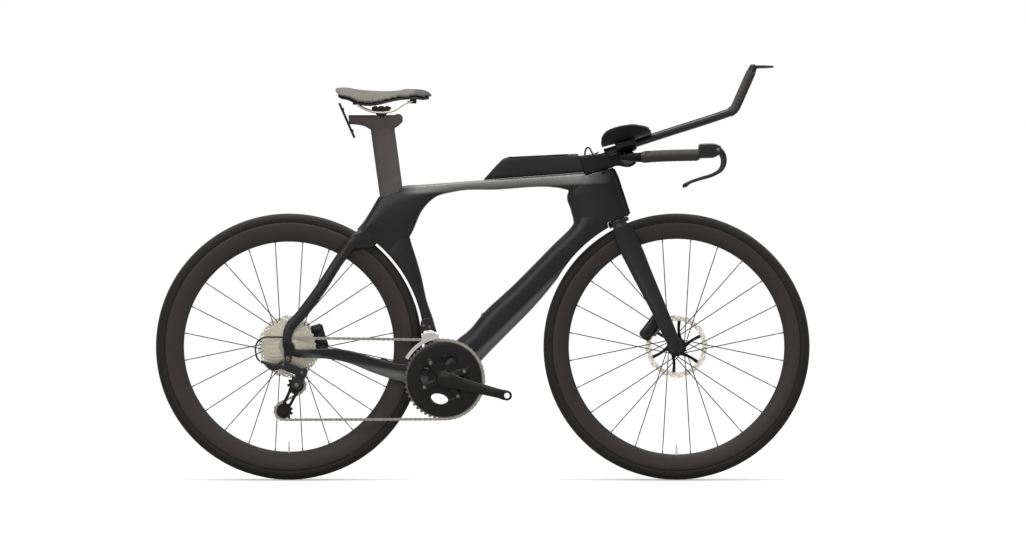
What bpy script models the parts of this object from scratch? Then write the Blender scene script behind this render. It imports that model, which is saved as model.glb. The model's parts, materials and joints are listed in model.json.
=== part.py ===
# Time trial bike with disc brakes, deep carbon wheels and a top tube storage box.
# +X is forward, +Y is the rider's left, +Z is up.
# The origin is on the ground, midway between the two axles.
# Every size here is in millimetres; a mesh is scaled to metres when its object is made.

from math import asin, atan2, ceil, copysign, cos, hypot, pi, radians, sin

import bmesh
import bpy
from mathutils import Vector

MM = 0.001
GAP = 0.3                     # clearance between pieces that touch
BEARING_GAP = 0.6             # clearance round a shaft that turns
RUNNING_GAP = 1.5             # clearance between pieces that pass each other

# Wheels
WHEELBASE = 990.0
RIM_RADIUS = 317.0            # where the rim ends and the tyre begins
TYRE_HEIGHT = 23.0
TYRE_WIDTH = 28.0
TYRE_WALL = 3.0
FRONT_RIM_DEPTH = 42.0
REAR_RIM_DEPTH = 49.0
RIM_WIDTH = 27.0
RIM_BED = 6.0                 # how far the tyre well is sunk between the rim's hooks
SPOKE_COUNT = 24
SPOKE_WIDTH = 2.6
SPOKE_THICKNESS = 1.2
SPOKE_CROSSING = 60.0         # angle between a spoke's flange hole and its rim hole
SPOKE_CIRCLE = 22.0
FLANGE_RADIUS = 25.0
FLANGE_THICKNESS = 6.0
HUB_RADIUS = 12.0
WHEEL_SEGMENTS = 32
SPOKE_END_GAP = 1.6           # from a spoke's end to the rim's inner circle

# Axles, hubs and brakes
FRONT_AXLE_LENGTH = 100.0     # between the inner faces of the fork ends
REAR_AXLE_LENGTH = 142.0
AXLE_RADIUS = 6.0
DROPOUT_THICKNESS = 7.0
FRONT_FLANGE_LEFT = 24.0
FRONT_FLANGE_RIGHT = -32.0
REAR_FLANGE_LEFT = 36.0
REAR_FLANGE_RIGHT = -19.0
ROTOR_RADIUS = 80.0
ROTOR_TRACK = 14.0
ROTOR_THICKNESS = 1.8
ROTOR_CARRIER_RADIUS = 20.0
ROTOR_ARM_COUNT = 6
FRONT_ROTOR_Y = 37.0
REAR_ROTOR_Y = 55.0

# Drivetrain
CHAIN_PITCH = 12.7
CHAIN_HEIGHT = 8.0
CHAIN_WIDTH = 5.3
CHAIN_INNER_WIDTH = 2.7
CHAIN_STAY_ROOM = 57.0        # from the rear tyre to the crank axle, level with the axles
CRANK_DROP = 84.0             # crank axle below the wheel axles
BIG_RING_TEETH = 50
SMALL_RING_TEETH = 34
RING_THICKNESS = 2.0
BIG_RING_Y = -47.0
RING_SPACING = 7.0
RING_INNER_RADIUS = 50.0
RING_BOLT_RADIUS = 55.0
CRANK_LENGTH = 165.0
CRANK_ANGLE = -14.3           # degrees above level, pointing forward
CRANK_EYE_RADIUS = 13.0
PEDAL_HOLE_RADIUS = 7.0
CRANK_THICKNESS = 12.5
PEDAL_FACE_Y = 75.0
SPINDLE_RADIUS = 12.0
SPIDER_SPREAD = 36.0          # angle between a spider arm and the crank's line
COG_TEETH = (11, 13, 15, 17, 19, 21, 23, 25, 27, 30, 34)
COG_SPACING = 3.74
COG_THICKNESS = 1.6
FIRST_COG_Y = -66.0
FREEHUB_RADIUS = 17.0
PULLEY_TEETH = 11
GUIDE_PULLEY = (20.0, -98.0)  # from the rear axle, forward and up
TENSION_PULLEY = (-13.0, -164.0)
PULLEY_BOLT_RADIUS = 3.0
CAGE_THICKNESS = 1.8
FRONT_CAGE_INNER = 105.0      # the front cage's band, by its radius about the crank axle
FRONT_CAGE_OUTER = 124.0
HANGER_THICKNESS = 5.0

# Frame
HEAD_ANGLE = 72.5
FORK_RAKE = 45.2
CROWN_RISE = 15.2             # crown's top above the tyre, along the steering axis
HEAD_LENGTH = 129.8           # crown's top to the stem's underside, along the steering axis
REAR_TYRE_GAP = 6.0
FRONT_TYRE_GAP = 10.0
STAY_TYRE_GAP = 5.5
CROWN_TYRE_GAP = 5.0
CRANK_SHELL_RADIUS = 24.0
CRANK_SHELL_WIDTH = 74.0
CRANK_CUP_LIP = 3.5           # bottom bracket cups beyond the shell
TUBE_HALF_WIDTH = 17.0
DOWN_TUBE_HALF_WIDTH = 25.0
HEAD_HALF_WIDTH = 24.0
STEERER_RADIUS = 14.3
BEARING_RADIUS = 20.5
BEARING_HEIGHT = 8.0
CROWN_RADIUS = 27.5
LEG_SWING_RADIUS = 41.5       # what the fork legs' tops sweep as the bars turn
NOSE_HALF_WIDTH = 6.0
STEM_TAIL_RADIUS = 48.0       # the stem's round tail, about the steering axis
STEM_HALF_WIDTH = 19.0
STEM_HEIGHT = 58.2            # the stem's rear edge above the head tube
BAR_REACH = 68.42             # base bar's middle ahead of the steering axis
BAR_RISE = 10.98              # and above the head tube's top, along that axis

# Seat
POST_ANGLE = 82.2
POST_CHORD = 61.4
POST_WIDTH = 22.0
POST_SOCKET_DEPTH = 125.0
POST_INSERTION = 102.0
RAIL_RADIUS = 3.5
RAIL_SPACING = 44.0
RAIL_FIT = 0.5                # clearance of the rails in the shell's sockets
CRADLE_RADIUS = 15.0
CRADLE_LENGTH = 50.0
CRADLE_WIDTH = 58.0
WEDGE_SIZE = 15.0
WEDGE_DEPTH = 22.0
POST_HEAD_TOP = 192.0
CRADLE_DROP = 8.4             # the cradle's axis above the seatpost head's top face
RAIL_RISE = 7.5               # rails above the cradle's axis
SADDLE_PAD_THICKNESS = 13.0
SADDLE_SHELL_THICKNESS = 5.0
SADDLE_SKIRT = 10.4           # thickness of the saddle at its lower edge
SADDLE_STATIONS = (           # from the cradle's axis: forward, half width, top, lower edge
    (-118, 50, 63, 49), (-110, 60, 62.6, 38), (-87, 68, 61.5, 30), (-60, 66, 57, 18.5),
    (-41, 58, 55, 15), (-10, 42, 53.5, 17), (5, 35, 53, 20.5), (41, 25, 55, 28.5),
    (64, 21.5, 58, 31), (85, 20, 59.5, 32), (107, 18, 59, 30), (122, 14, 53, 32), (130, 8, 46, 33))

# Cockpit
BAR_WIDTH = 400.0             # base bar, middle of one grip to the middle of the other
BAR_CLAMP_RADIUS = 15.9
GRIP_RADIUS = 14.3
GRIP_WALL = 2.6
EXTENSION_RADIUS = 11.1
EXTENSION_SPACING = 110.0
EXTENSION_ANGLE = 18.0
EXTENSION_STRAIGHT = 331.0
EXTENSION_TIP = 97.0
EXTENSION_TIP_ANGLE = 66.0
EXTENSION_BEND_RADIUS = 34.0
PAD_SPACING = 196.0
PAD_WIDTH = 92.0
PAD_THICKNESS = 9.0
PAD_GAP = 1.2                 # room for the hook-and-loop layer under the pads
CUP_THICKNESS = 3.0
CABLE_DIAMETER = 4.6
STEM_STACK = 37.0             # steerer above the head tube
EXTENSION_START = (-56.0, 14.5)
BRAKE_PIVOT = (232.0, 22.0)   # from the base bar's middle, forward and up
LEVER_HALF_WIDTH = 4.3
CUP_START = (-63.0, 29.5)
CUP_LENGTH = 130.0
CUP_HEIGHT = 38.0
CUP_PEAK = 0.4                # share of its length where its sides are highest
CUP_ANGLE = 14.4

# Storage box
BOX_HALF_WIDTH = 16.5
BOX_WALL = 2.6
BOX_LENGTH = 260.82           # along the top tube, back from the stem
LID_START = 60.0              # the lid's ends, forward of the box's rear end
LID_END = 218.0
LID_THICKNESS = 3.0

TYRE_RADIUS = RIM_RADIUS + TYRE_HEIGHT
REAR_CENTRE = TYRE_RADIUS + CHAIN_STAY_ROOM
FORK_LENGTH = TYRE_RADIUS + CROWN_RISE
REAR_AXLE = Vector((-WHEELBASE / 2, 0.0, TYRE_RADIUS))
FRONT_AXLE = Vector((WHEELBASE / 2, 0.0, TYRE_RADIUS))
CRANK_AXLE = REAR_AXLE + Vector((REAR_CENTRE, 0.0, -CRANK_DROP))
STEER_UP = Vector((-cos(radians(HEAD_ANGLE)), 0.0, sin(radians(HEAD_ANGLE))))
STEER_FORWARD = Vector((sin(radians(HEAD_ANGLE)), 0.0, cos(radians(HEAD_ANGLE))))
POST_UP = Vector((-cos(radians(POST_ANGLE)), 0.0, sin(radians(POST_ANGLE))))
POST_FORWARD = Vector((sin(radians(POST_ANGLE)), 0.0, cos(radians(POST_ANGLE))))
SIDE = Vector((0.0, 1.0, 0.0))
BAR_CENTRE = (FRONT_AXLE + STEER_UP * (FORK_LENGTH + HEAD_LENGTH + BAR_RISE)
              + STEER_FORWARD * (BAR_REACH - FORK_RAKE))
CRADLE_AXIS = REAR_AXLE + Vector((236.0, 0.0, 600.0))
REAR_PLATE_ALONG = Vector((-0.402, 0.0, 0.916))

MATERIALS = {
    "carbon_frame": ((0.055, 0.055, 0.058), 0.35, 0.0),
    "carbon_black": ((0.02, 0.02, 0.02), 0.4, 0.0),
    "carbon_rim": ((0.032, 0.028, 0.026), 0.45, 0.0),
    "black_alloy": ((0.015, 0.015, 0.016), 0.3, 0.6),
    "black_plastic": ((0.018, 0.018, 0.018), 0.5, 0.0),
    "steel": ((0.6, 0.58, 0.54), 0.28, 1.0),
    "rotor_steel": ((0.62, 0.6, 0.57), 0.35, 1.0),
    "tyre_rubber": ((0.02, 0.02, 0.02), 0.75, 0.0),
    "saddle_cover": ((0.03, 0.03, 0.03), 0.6, 0.0),
    "pad_foam": ((0.016, 0.016, 0.016), 0.85, 0.0),
    "cable_housing": ((0.012, 0.012, 0.012), 0.4, 0.0),
}


# Places along the bike

def at_rear(x, z):
    return Vector((REAR_AXLE.x + x, 0.0, REAR_AXLE.z + z))


def at_crank(x, z):
    return Vector((CRANK_AXLE.x + x, 0.0, CRANK_AXLE.z + z))


def at_front(x, z):
    return Vector((FRONT_AXLE.x + x, 0.0, FRONT_AXLE.z + z))


def at_steer(forward, up):
    # forward of the steering axis, and up it from the crown's top
    foot = FRONT_AXLE - STEER_FORWARD * FORK_RAKE
    return foot + STEER_UP * (FORK_LENGTH + up) + STEER_FORWARD * forward


def pitch_radius(teeth):
    return CHAIN_PITCH / (2 * sin(pi / teeth))


# Meshes

def finish_mesh(bm, name):
    bmesh.ops.remove_doubles(bm, verts=bm.verts, dist=1e-5)
    bmesh.ops.recalc_face_normals(bm, faces=bm.faces)
    mesh = bpy.data.meshes.new(name)
    bm.to_mesh(mesh)
    bm.free()
    return mesh


def make_object(name, bm, material=None, origin=Vector((0.0, 0.0, 0.0)), flat=False):
    for vert in bm.verts:
        vert.co = (vert.co - origin) * MM
    mesh = finish_mesh(bm, name)
    obj = bpy.data.objects.new(name, mesh)
    obj.location = origin * MM
    bpy.context.scene.collection.objects.link(obj)
    if material:
        mesh.materials.append(material_named(material))
    if not flat:
        mesh.shade_smooth()
        mesh.set_sharp_from_angle(angle=radians(32))
    return obj


def material_named(name):
    if name in bpy.data.materials:
        return bpy.data.materials[name]
    colour, roughness, metallic = MATERIALS[name]
    material = bpy.data.materials.new(name)
    material.use_nodes = True
    shader = material.node_tree.nodes["Principled BSDF"]
    shader.inputs["Base Color"].default_value = (*colour, 1.0)
    shader.inputs["Roughness"].default_value = roughness
    shader.inputs["Metallic"].default_value = metallic
    material.diffuse_color = (*colour, 1.0)
    return material


def loft(rings, closed=False):
    # skin over rings of points with equal counts; the ends are filled unless the loft closes on itself
    bm = bmesh.new()
    rows = [[bm.verts.new(point) for point in ring] for ring in rings]
    count = len(rows[0])
    pairs = list(zip(rows, rows[1:]))
    if closed:
        pairs.append((rows[-1], rows[0]))
    for low, high in pairs:
        for i in range(count):
            j = (i + 1) % count
            bm.faces.new((low[i], low[j], high[j], high[i]))
    if not closed:
        bm.faces.new(rows[0][::-1])
        bm.faces.new(rows[-1])
    return bm


def layered(rings):
    # skin over rings whose first half runs along the underside and second half back over the top,
    # with the same diagonals on both, so that two layers can lie close together
    bm = bmesh.new()
    rows = [[bm.verts.new(point) for point in ring] for ring in rings]
    count = len(rows[0])
    for low, high in zip(rows, rows[1:]):
        for i in range(count):
            j = (i + 1) % count
            if i < count // 2:
                bm.faces.new((low[i], low[j], high[j]))
                bm.faces.new((low[i], high[j], high[i]))
            else:
                bm.faces.new((low[i], low[j], high[i]))
                bm.faces.new((low[j], high[j], high[i]))
    for row in (rows[0][::-1], rows[-1]):
        for i in range(count // 2 - 1):
            bm.faces.new((row[i], row[i + 1], row[count - 2 - i], row[count - 1 - i]))
    return bm


def oval(centre, half_a, half_b, count, power=2.0):
    # superellipse about a centre, with its two half axes given as vectors
    ring = []
    for i in range(count):
        angle = 2 * pi * i / count
        a = copysign(abs(cos(angle)) ** (2 / power), cos(angle))
        b = copysign(abs(sin(angle)) ** (2 / power), sin(angle))
        ring.append(centre + half_a * a + half_b * b)
    return ring


def beam(stations, count=12, power=2.6):
    # a tube seen from the side: each station has its two edge points, its middle in Y and its half width
    rings = []
    for edge_a, edge_b, y, half_width in stations:
        middle = (edge_a + edge_b) / 2 + SIDE * y
        rings.append(oval(middle, (edge_a - edge_b) / 2, SIDE * half_width, count, power))
    return loft(rings)


def grown(stations, extra):
    # the same tube, larger all round
    wider = []
    for edge_a, edge_b, y, half_width in stations:
        push = (edge_a - edge_b).normalized() * extra
        wider.append((edge_a + push, edge_b - push, y, half_width + extra))
    return wider


def turned(profile, centre, axis, segments, start=0.0):
    # profile points are (radius, distance along the axis); a radius of 0 closes an end
    helper = Vector((0.0, 0.0, 1.0)) if abs(axis.z) < 0.9 else Vector((1.0, 0.0, 0.0))
    across = axis.cross(helper).normalized()
    above = across.cross(axis).normalized()
    bm = bmesh.new()
    rows = []
    for radius, along in profile:
        if radius == 0:
            rows.append([bm.verts.new(centre + axis * along)] * segments)
            continue
        row = []
        for i in range(segments):
            angle = start + 2 * pi * i / segments
            spoke = above * cos(angle) + across * sin(angle)
            row.append(bm.verts.new(centre + axis * along + spoke * radius))
        rows.append(row)
    is_ring = profile[0][0] > 0
    pairs = list(zip(rows, rows[1:]))
    if is_ring:
        pairs.append((rows[-1], rows[0]))
    for low, high in pairs:
        for i in range(segments):
            j = (i + 1) % segments
            corners = []
            for vert in (low[i], low[j], high[j], high[i]):
                if vert not in corners:
                    corners.append(vert)
            if len(corners) > 2:
                bm.faces.new(corners)
    return bm


def cylinder(radius, low, high, centre, axis=SIDE, segments=24):
    return turned([(0, low), (radius, low), (radius, high), (0, high)], centre, axis, segments)


def tube(outer, inner, low, high, centre, axis=SIDE, segments=24):
    profile = [(outer, low), (outer, high), (inner, high), (inner, low)]
    return turned(profile, centre, axis, segments)


def plate(outline, y_low, y_high):
    # a flat outline in the XZ plane, given thickness along Y
    low = [Vector((p.x, y_low, p.z)) for p in outline]
    high = [Vector((p.x, y_high, p.z)) for p in outline]
    return loft([low, high])


def block(low, high):
    rings = []
    for z in (low[2], high[2]):
        corners = ((low[0], low[1]), (high[0], low[1]), (high[0], high[1]), (low[0], high[1]))
        rings.append([Vector((x, y, z)) for x, y in corners])
    return loft(rings)


def slab(centre, half_a, half_b, half_c):
    # a block with its own directions
    rings = []
    for sign in (-1, 1):
        corners = [centre + half_c * sign + half_a * a + half_b * b
                   for a, b in ((-1, -1), (1, -1), (1, 1), (-1, 1))]
        rings.append(corners)
    return loft(rings)


def sweep(path, sizes, count=8, power=2.0, side=None, closed=False):
    # a section carried along a path: sizes are (half height, half width across the side direction)
    rings = []
    last = len(path) - 1
    for i, point in enumerate(path):
        if closed:
            ahead = path[(i + 1) % len(path)] - path[i - 1]
        else:
            ahead = path[min(i + 1, last)] - path[max(i - 1, 0)]
        ahead.normalize()
        across = side or ahead.cross(Vector((0.0, 0.0, 1.0))).normalized()
        above = across.cross(ahead).normalized()
        high, wide = sizes[i] if isinstance(sizes, list) else sizes
        rings.append(oval(point, above * high, across * wide, count, power))
    return loft(rings, closed)


def smooth_path(points, steps):
    # a Catmull-Rom curve through the points
    path = []
    last = len(points) - 1
    for i in range(last):
        before = points[max(i - 1, 0)]
        start = points[i]
        end = points[i + 1]
        after = points[min(i + 2, last)]
        for k in range(steps):
            t = k / steps
            path.append(0.5 * ((2 * start) + (end - before) * t
                        + (2 * before - 5 * start + 4 * end - after) * t * t
                        + (3 * start - before - 3 * end + after) * t ** 3))
    path.append(points[-1].copy())
    return path


def cable(name, points, diameter, material, steps=2):
    curve = bpy.data.curves.new(name, "CURVE")
    curve.dimensions = "3D"
    curve.bevel_depth = diameter / 2 * MM
    curve.bevel_resolution = 1
    curve.use_fill_caps = True
    path = smooth_path(points, steps)
    spline = curve.splines.new("POLY")
    spline.points.add(len(path) - 1)
    for target, point in zip(spline.points, path):
        target.co = (*(point * MM), 1.0)
    curve.materials.append(material_named(material))
    obj = bpy.data.objects.new(name, curve)
    bpy.context.scene.collection.objects.link(obj)
    return obj


def combine(target, operation, *pieces):
    # each piece is a mesh that joins the target, or cuts it, and is then used up
    for bm in pieces:
        tool = make_object(target.name + "_tool", bm, flat=True)
        tool.hide_render = True
        tool.display_type = "WIRE"
        tool_mesh = tool.data
        tool_mesh.transform(target.matrix_world.inverted() @ tool.matrix_world)
        tool.matrix_world = target.matrix_world
        modifier = target.modifiers.new(operation, "BOOLEAN")
        modifier.operation = operation
        modifier.solver = "EXACT"
        modifier.object = tool
        bpy.context.view_layer.update()
        evaluated = target.evaluated_get(bpy.context.evaluated_depsgraph_get())
        mesh = bpy.data.meshes.new_from_object(evaluated)
        old = target.data
        target.modifiers.remove(modifier)
        target.data = mesh
        bpy.data.objects.remove(tool)
        bpy.data.meshes.remove(tool_mesh)
        bpy.data.meshes.remove(old)
        mesh.name = target.name
    mesh = target.data
    mesh.shade_smooth()
    mesh.set_sharp_from_angle(angle=radians(32))
    return target


def join(target, *pieces):
    return combine(target, "UNION", *pieces)


def cut(target, *pieces):
    return combine(target, "DIFFERENCE", *pieces)


def crank_line(distance, angle=CRANK_ANGLE):
    turn = radians(angle)
    return CRANK_AXLE + Vector((cos(turn), 0.0, sin(turn))) * distance


# Frame

def head_corner():
    # where the top tube's upper edge meets the stem
    return at_steer(-42.5, HEAD_LENGTH + 9.2)


def top_line(forward):
    # the top tube's straight upper edge, by its distance forward of the seatpost
    start = at_crank(-106.8, 494.4)
    end = head_corner()
    return start + (end - start) * (forward / (end - start).length)


def post_point(forward, up):
    # forward of the seatpost's middle line, and up it from its collar's middle
    collar = (at_crank(-165.6, 469.4) + at_crank(-106.8, 494.4)) / 2
    return collar + POST_FORWARD * forward + POST_UP * up


def frame_upper():
    top_length = (head_corner() - at_crank(-106.8, 494.4)).length
    w = TUBE_HALF_WIDTH
    stations = [
        (at_steer(-20, HEAD_LENGTH + 4), at_steer(-60, HEAD_LENGTH - 34), 0, 21),
        (top_line(top_length - 12), at_steer(-96, HEAD_LENGTH - 22), 0, 20),
        (top_line(top_length - 55), at_steer(-122, HEAD_LENGTH - 7.3), 0, w + 1),
        (top_line(240), at_crank(131, 484.5), 0, w),
        (top_line(120), at_crank(20, 478.2), 0, w),
        (top_line(92), at_crank(-20, 467), 0, w),
        (top_line(55), at_crank(-53.9, 435.4), 0, w),
        (top_line(0), at_crank(-84, 372), 0, w),
        (at_crank(-165.6, 469.4), at_crank(-132, 312), 0, w + 1),
        (at_crank(-186, 436), at_crank(-165, 318), 0, w + 4),
        (at_crank(-206.4, 403.5), at_crank(-195, 328), 0, w + 9),
        (at_crank(-235.8, 371.5), at_crank(-224, 327), 0, w + 17),
    ]
    return beam(stations, 12, 3.0)


def seat_tube_stations():
    return [
        (at_crank(-90, 372), at_crank(-150, 380), 0, TUBE_HALF_WIDTH - 3),
        (at_crank(-83, 345), at_crank(-150, 345), 0, TUBE_HALF_WIDTH - 1),
        (at_crank(-77.4, 328), at_crank(-160, 322), 0, TUBE_HALF_WIDTH),
        (at_crank(-59.8, 269.3), at_crank(-130, 262), 0, TUBE_HALF_WIDTH),
        (at_crank(-42.9, 195.2), at_crank(-88, 190), 0, TUBE_HALF_WIDTH),
        (at_crank(-30.2, 159.5), at_crank(-72, 150), 0, TUBE_HALF_WIDTH + 1),
        (at_crank(-18.9, 121.2), at_crank(-62, 105), 0, TUBE_HALF_WIDTH + 4),
        (at_crank(4, 60), at_crank(-56, 40), 0, 27),
        (at_crank(10, -14), at_crank(-44, -14), 0, 31),
    ]


def frame_down_tube():
    w = DOWN_TUBE_HALF_WIDTH
    stations = [
        (at_steer(-75, 65), at_steer(-6, -8), 0, HEAD_HALF_WIDTH - 1),
        (at_steer(-112.6, 22.9), at_steer(-60, -32), 0, w - 1),
        (at_steer(-177, -12), at_steer(-130, -62), 0, w),
        (at_crank(169.1, 234.6), at_crank(228, 184), 0, w),
        (at_crank(97.6, 167.7), at_crank(153, 108), 0, w + 1),
        (at_crank(66.9, 130.1), at_crank(118, 72.6), 0, w + 3),
        (at_crank(28.6, 98.2), at_crank(66, 18), 0, w + 6),
        (at_crank(-10, 50), at_crank(10, -26), 0, w + 8),
    ]
    return beam(stations, 10, 3.0)


def frame_head():
    w = HEAD_HALF_WIDTH
    top = HEAD_LENGTH
    stations = [
        (at_steer(30, -3), at_steer(-118, 8), 0, w),
        (at_steer(31.5, 12), at_steer(-112, 22), 0, w),
        (at_steer(31, top * 0.5), at_steer(-108, 60), 0, w - 1),
        (at_steer(30, top - 20), at_steer(-104, top - 30), 0, w - 2),
        (at_steer(29, top + 1), at_steer(-62, top + 7), 0, w - 3),
    ]
    return beam(stations, 14, 2.5)


def stay_pair(stations, count=8):
    # the same stay on both sides
    bodies = []
    for sign in (1, -1):
        sided = [(a, b, y * sign, w) for a, b, y, w in stations]
        bodies.append(beam(sided, count, 2.4))
    return bodies


def chain_stay_stations():
    drop_y = (REAR_AXLE_LENGTH + DROPOUT_THICKNESS) / 2
    return [
        (at_crank(-20, 22), at_crank(-20, -24), 20, 12),
        (at_crank(-70, 38), at_crank(-70, -13), 26, 10),
        (at_crank(-103.2, 39.9), at_crank(-112.7, -4.8), 28.5, 8.2),
        (at_crank(-175, 55), at_crank(-182, 17), 33, 8.2),
        (at_rear(155, -10), at_rear(152, -42), 47, 7),
        (at_rear(100, -3.7), at_rear(100, -32), 62.5, 5),
        (at_rear(52, -5.5), at_rear(52, -29), 72, 4.4),
        (at_rear(10, -4), at_rear(14, -26), drop_y, DROPOUT_THICKNESS / 2),
        (at_rear(-4, 2), at_rear(-4, -18), drop_y, DROPOUT_THICKNESS / 2),
    ]


def frame_seat_stays():
    drop_y = (REAR_AXLE_LENGTH + DROPOUT_THICKNESS) / 2
    return stay_pair([
        (at_crank(-205, 384), at_crank(-182, 350), 19, 8),
        (at_crank(-235.8, 371.5), at_crank(-213, 345), 26, 9),
        (at_crank(-265.2, 333.2), at_crank(-242, 317), 28.5, 8.5),
        (at_rear(66, 151), at_rear(90, 136), 42, 7.5),
        (at_rear(22, 92), at_rear(46, 77), 62.5, 5),
        (at_rear(-12, 48), at_rear(12, 36), 71.5, 4.4),
        (at_rear(-17, 14), at_rear(8, 16), drop_y, DROPOUT_THICKNESS / 2),
        (at_rear(-14, -10), at_rear(8, -8), drop_y, DROPOUT_THICKNESS / 2),
    ])


def build_frame():
    frame = make_object("frame", frame_upper(), "carbon_frame")
    drop_low = REAR_AXLE_LENGTH / 2
    drop_high = drop_low + DROPOUT_THICKNESS
    join(frame, beam(seat_tube_stations(), 10, 3.0), frame_down_tube(), frame_head(),
         cylinder(CRANK_SHELL_RADIUS, -CRANK_SHELL_WIDTH / 2, CRANK_SHELL_WIDTH / 2, CRANK_AXLE,
                  segments=18),
         *stay_pair(chain_stay_stations()), *frame_seat_stays(),
         cylinder(15, drop_low, drop_high, REAR_AXLE, segments=12),
         cylinder(15, -drop_high, -drop_low, REAR_AXLE, segments=12))
    # the tyres' clearances
    slot = TYRE_WIDTH / 2 + STAY_TYRE_GAP
    cut(frame,
        cylinder(TYRE_RADIUS + REAR_TYRE_GAP, -slot, slot, REAR_AXLE, segments=48),
        cylinder(TYRE_RADIUS + FRONT_TYRE_GAP, -60, 60, FRONT_AXLE, segments=48))
    # the fork crown's recess keeps a narrow nose behind the crown
    recess = make_object("recess", cylinder(LEG_SWING_RADIUS, -60, GAP, at_steer(0, 0), STEER_UP, 28))
    cut(recess, slab(at_steer(-45, -30), STEER_FORWARD * 30, SIDE * NOSE_HALF_WIDTH, STEER_UP * 40))
    join(recess, cylinder(CROWN_RADIUS + RUNNING_GAP, -60, GAP, at_steer(0, 0), STEER_UP, 28))
    cut(frame, mesh_of(recess))
    # bores and sockets
    top = HEAD_LENGTH
    cut(frame,
        turned([(0, -20), (BEARING_RADIUS + GAP, -20), (BEARING_RADIUS + GAP, BEARING_HEIGHT + GAP),
                (STEERER_RADIUS + 2, BEARING_HEIGHT + GAP),
                (STEERER_RADIUS + 2, top - BEARING_HEIGHT - GAP),
                (BEARING_RADIUS + GAP, top - BEARING_HEIGHT - GAP),
                (BEARING_RADIUS + GAP, top + 40), (0, top + 40)],
               at_steer(0, 0), STEER_UP, 16),
        cylinder(STEM_TAIL_RADIUS + 0.8, top, top + 60, at_steer(0, 0), STEER_UP, 48),
        cylinder(CRANK_SHELL_RADIUS - 3.5, -60, 60, CRANK_AXLE, segments=12),
        cylinder(AXLE_RADIUS + GAP, -drop_high - 5, drop_high + 5, REAR_AXLE, segments=12),
        cylinder(CABLE_DIAMETER / 2 + GAP, -40, 0,
                 at_rear(-5, 24.5) - SIDE * (drop_low + DROPOUT_THICKNESS / 2), Vector((1, 0, 0)), 8),
        post_section(-POST_SOCKET_DEPTH, 60, GAP),
        wedge_block(GAP))
    return frame


def mesh_of(obj):
    # hand an object's mesh on as a bmesh in millimetres, and remove the object
    bm = bmesh.new()
    bm.from_mesh(obj.data)
    for vert in bm.verts:
        vert.co = (obj.matrix_world @ vert.co) / MM
    mesh = obj.data
    bpy.data.objects.remove(obj)
    bpy.data.meshes.remove(mesh)
    return bm


def post_section(low, high, grow=0.0):
    half = POST_FORWARD * (POST_CHORD / 2 + grow)
    rings = [oval(post_point(0, up), half, SIDE * (POST_WIDTH / 2 + grow), 12, 2.4)
             for up in (low, high)]
    return loft(rings)


def wedge_block(grow=0.0):
    # the wedge sits in the frame just ahead of the post, below the collar
    centre = post_point(POST_CHORD / 2 + WEDGE_SIZE / 2 - 4, 0)
    depth = WEDGE_DEPTH + (60 if grow else 0)
    return slab(centre + POST_UP * (depth / 2 - WEDGE_DEPTH / 2 - 8 - grow),
                POST_FORWARD * (WEDGE_SIZE / 2 + grow), SIDE * (WEDGE_SIZE / 3 + grow),
                POST_UP * (depth / 2))


def build_frame_fittings():
    wedge = make_object("seat_wedge", wedge_block(), "black_alloy")
    cut(wedge, post_section(-60, 60, GAP))
    for name, low in (("headset_lower", GAP), ("headset_upper", HEAD_LENGTH - BEARING_HEIGHT - GAP)):
        high = low + BEARING_HEIGHT - GAP
        make_object(name, tube(BEARING_RADIUS, STEERER_RADIUS + BEARING_GAP, low, high,
                                               at_steer(0, 0), STEER_UP, 16), "steel")
    # two cups on a sleeve
    shell = CRANK_SHELL_WIDTH / 2
    lip = shell + CRANK_CUP_LIP
    profile = [(CRANK_SHELL_RADIUS - 4, -shell - GAP), (CRANK_SHELL_RADIUS - 1, -shell - GAP),
               (CRANK_SHELL_RADIUS - 1, -lip), (SPINDLE_RADIUS + BEARING_GAP, -lip),
               (SPINDLE_RADIUS + BEARING_GAP, lip), (CRANK_SHELL_RADIUS - 1, lip),
               (CRANK_SHELL_RADIUS - 1, shell + GAP), (CRANK_SHELL_RADIUS - 4, shell + GAP)]
    make_object("bottom_bracket", turned(profile, CRANK_AXLE, SIDE, 12), "black_alloy")
    # cover strip down the front of the head tube
    stations = []
    for up, reach in ((4, 35.5), (30, 35.5), (70, 35), (HEAD_LENGTH - 20, 34), (HEAD_LENGTH - 4, 31.5)):
        stations.append((at_steer(reach, up), at_steer(20, up), 0, 8))
    cover = make_object("head_tube_cover", beam(stations, 12, 2.4), "carbon_black")
    copy = [(at_steer(31.5 + GAP, -3), at_steer(-118, 8), 0, HEAD_HALF_WIDTH + GAP),
            (at_steer(32 + GAP, 12), at_steer(-112, 22), 0, HEAD_HALF_WIDTH + GAP),
            (at_steer(31.5 + GAP, HEAD_LENGTH * 0.5), at_steer(-108, 60), 0, HEAD_HALF_WIDTH - 1 + GAP),
            (at_steer(30.5 + GAP, HEAD_LENGTH - 20), at_steer(-104, HEAD_LENGTH - 30), 0,
             HEAD_HALF_WIDTH - 2 + GAP),
            (at_steer(29.5 + GAP, HEAD_LENGTH + 1), at_steer(-62, HEAD_LENGTH + 7), 0,
             HEAD_HALF_WIDTH - 3 + GAP)]
    cut(cover, beam(copy, 14, 2.5))


# Storage box on the top tube

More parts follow.
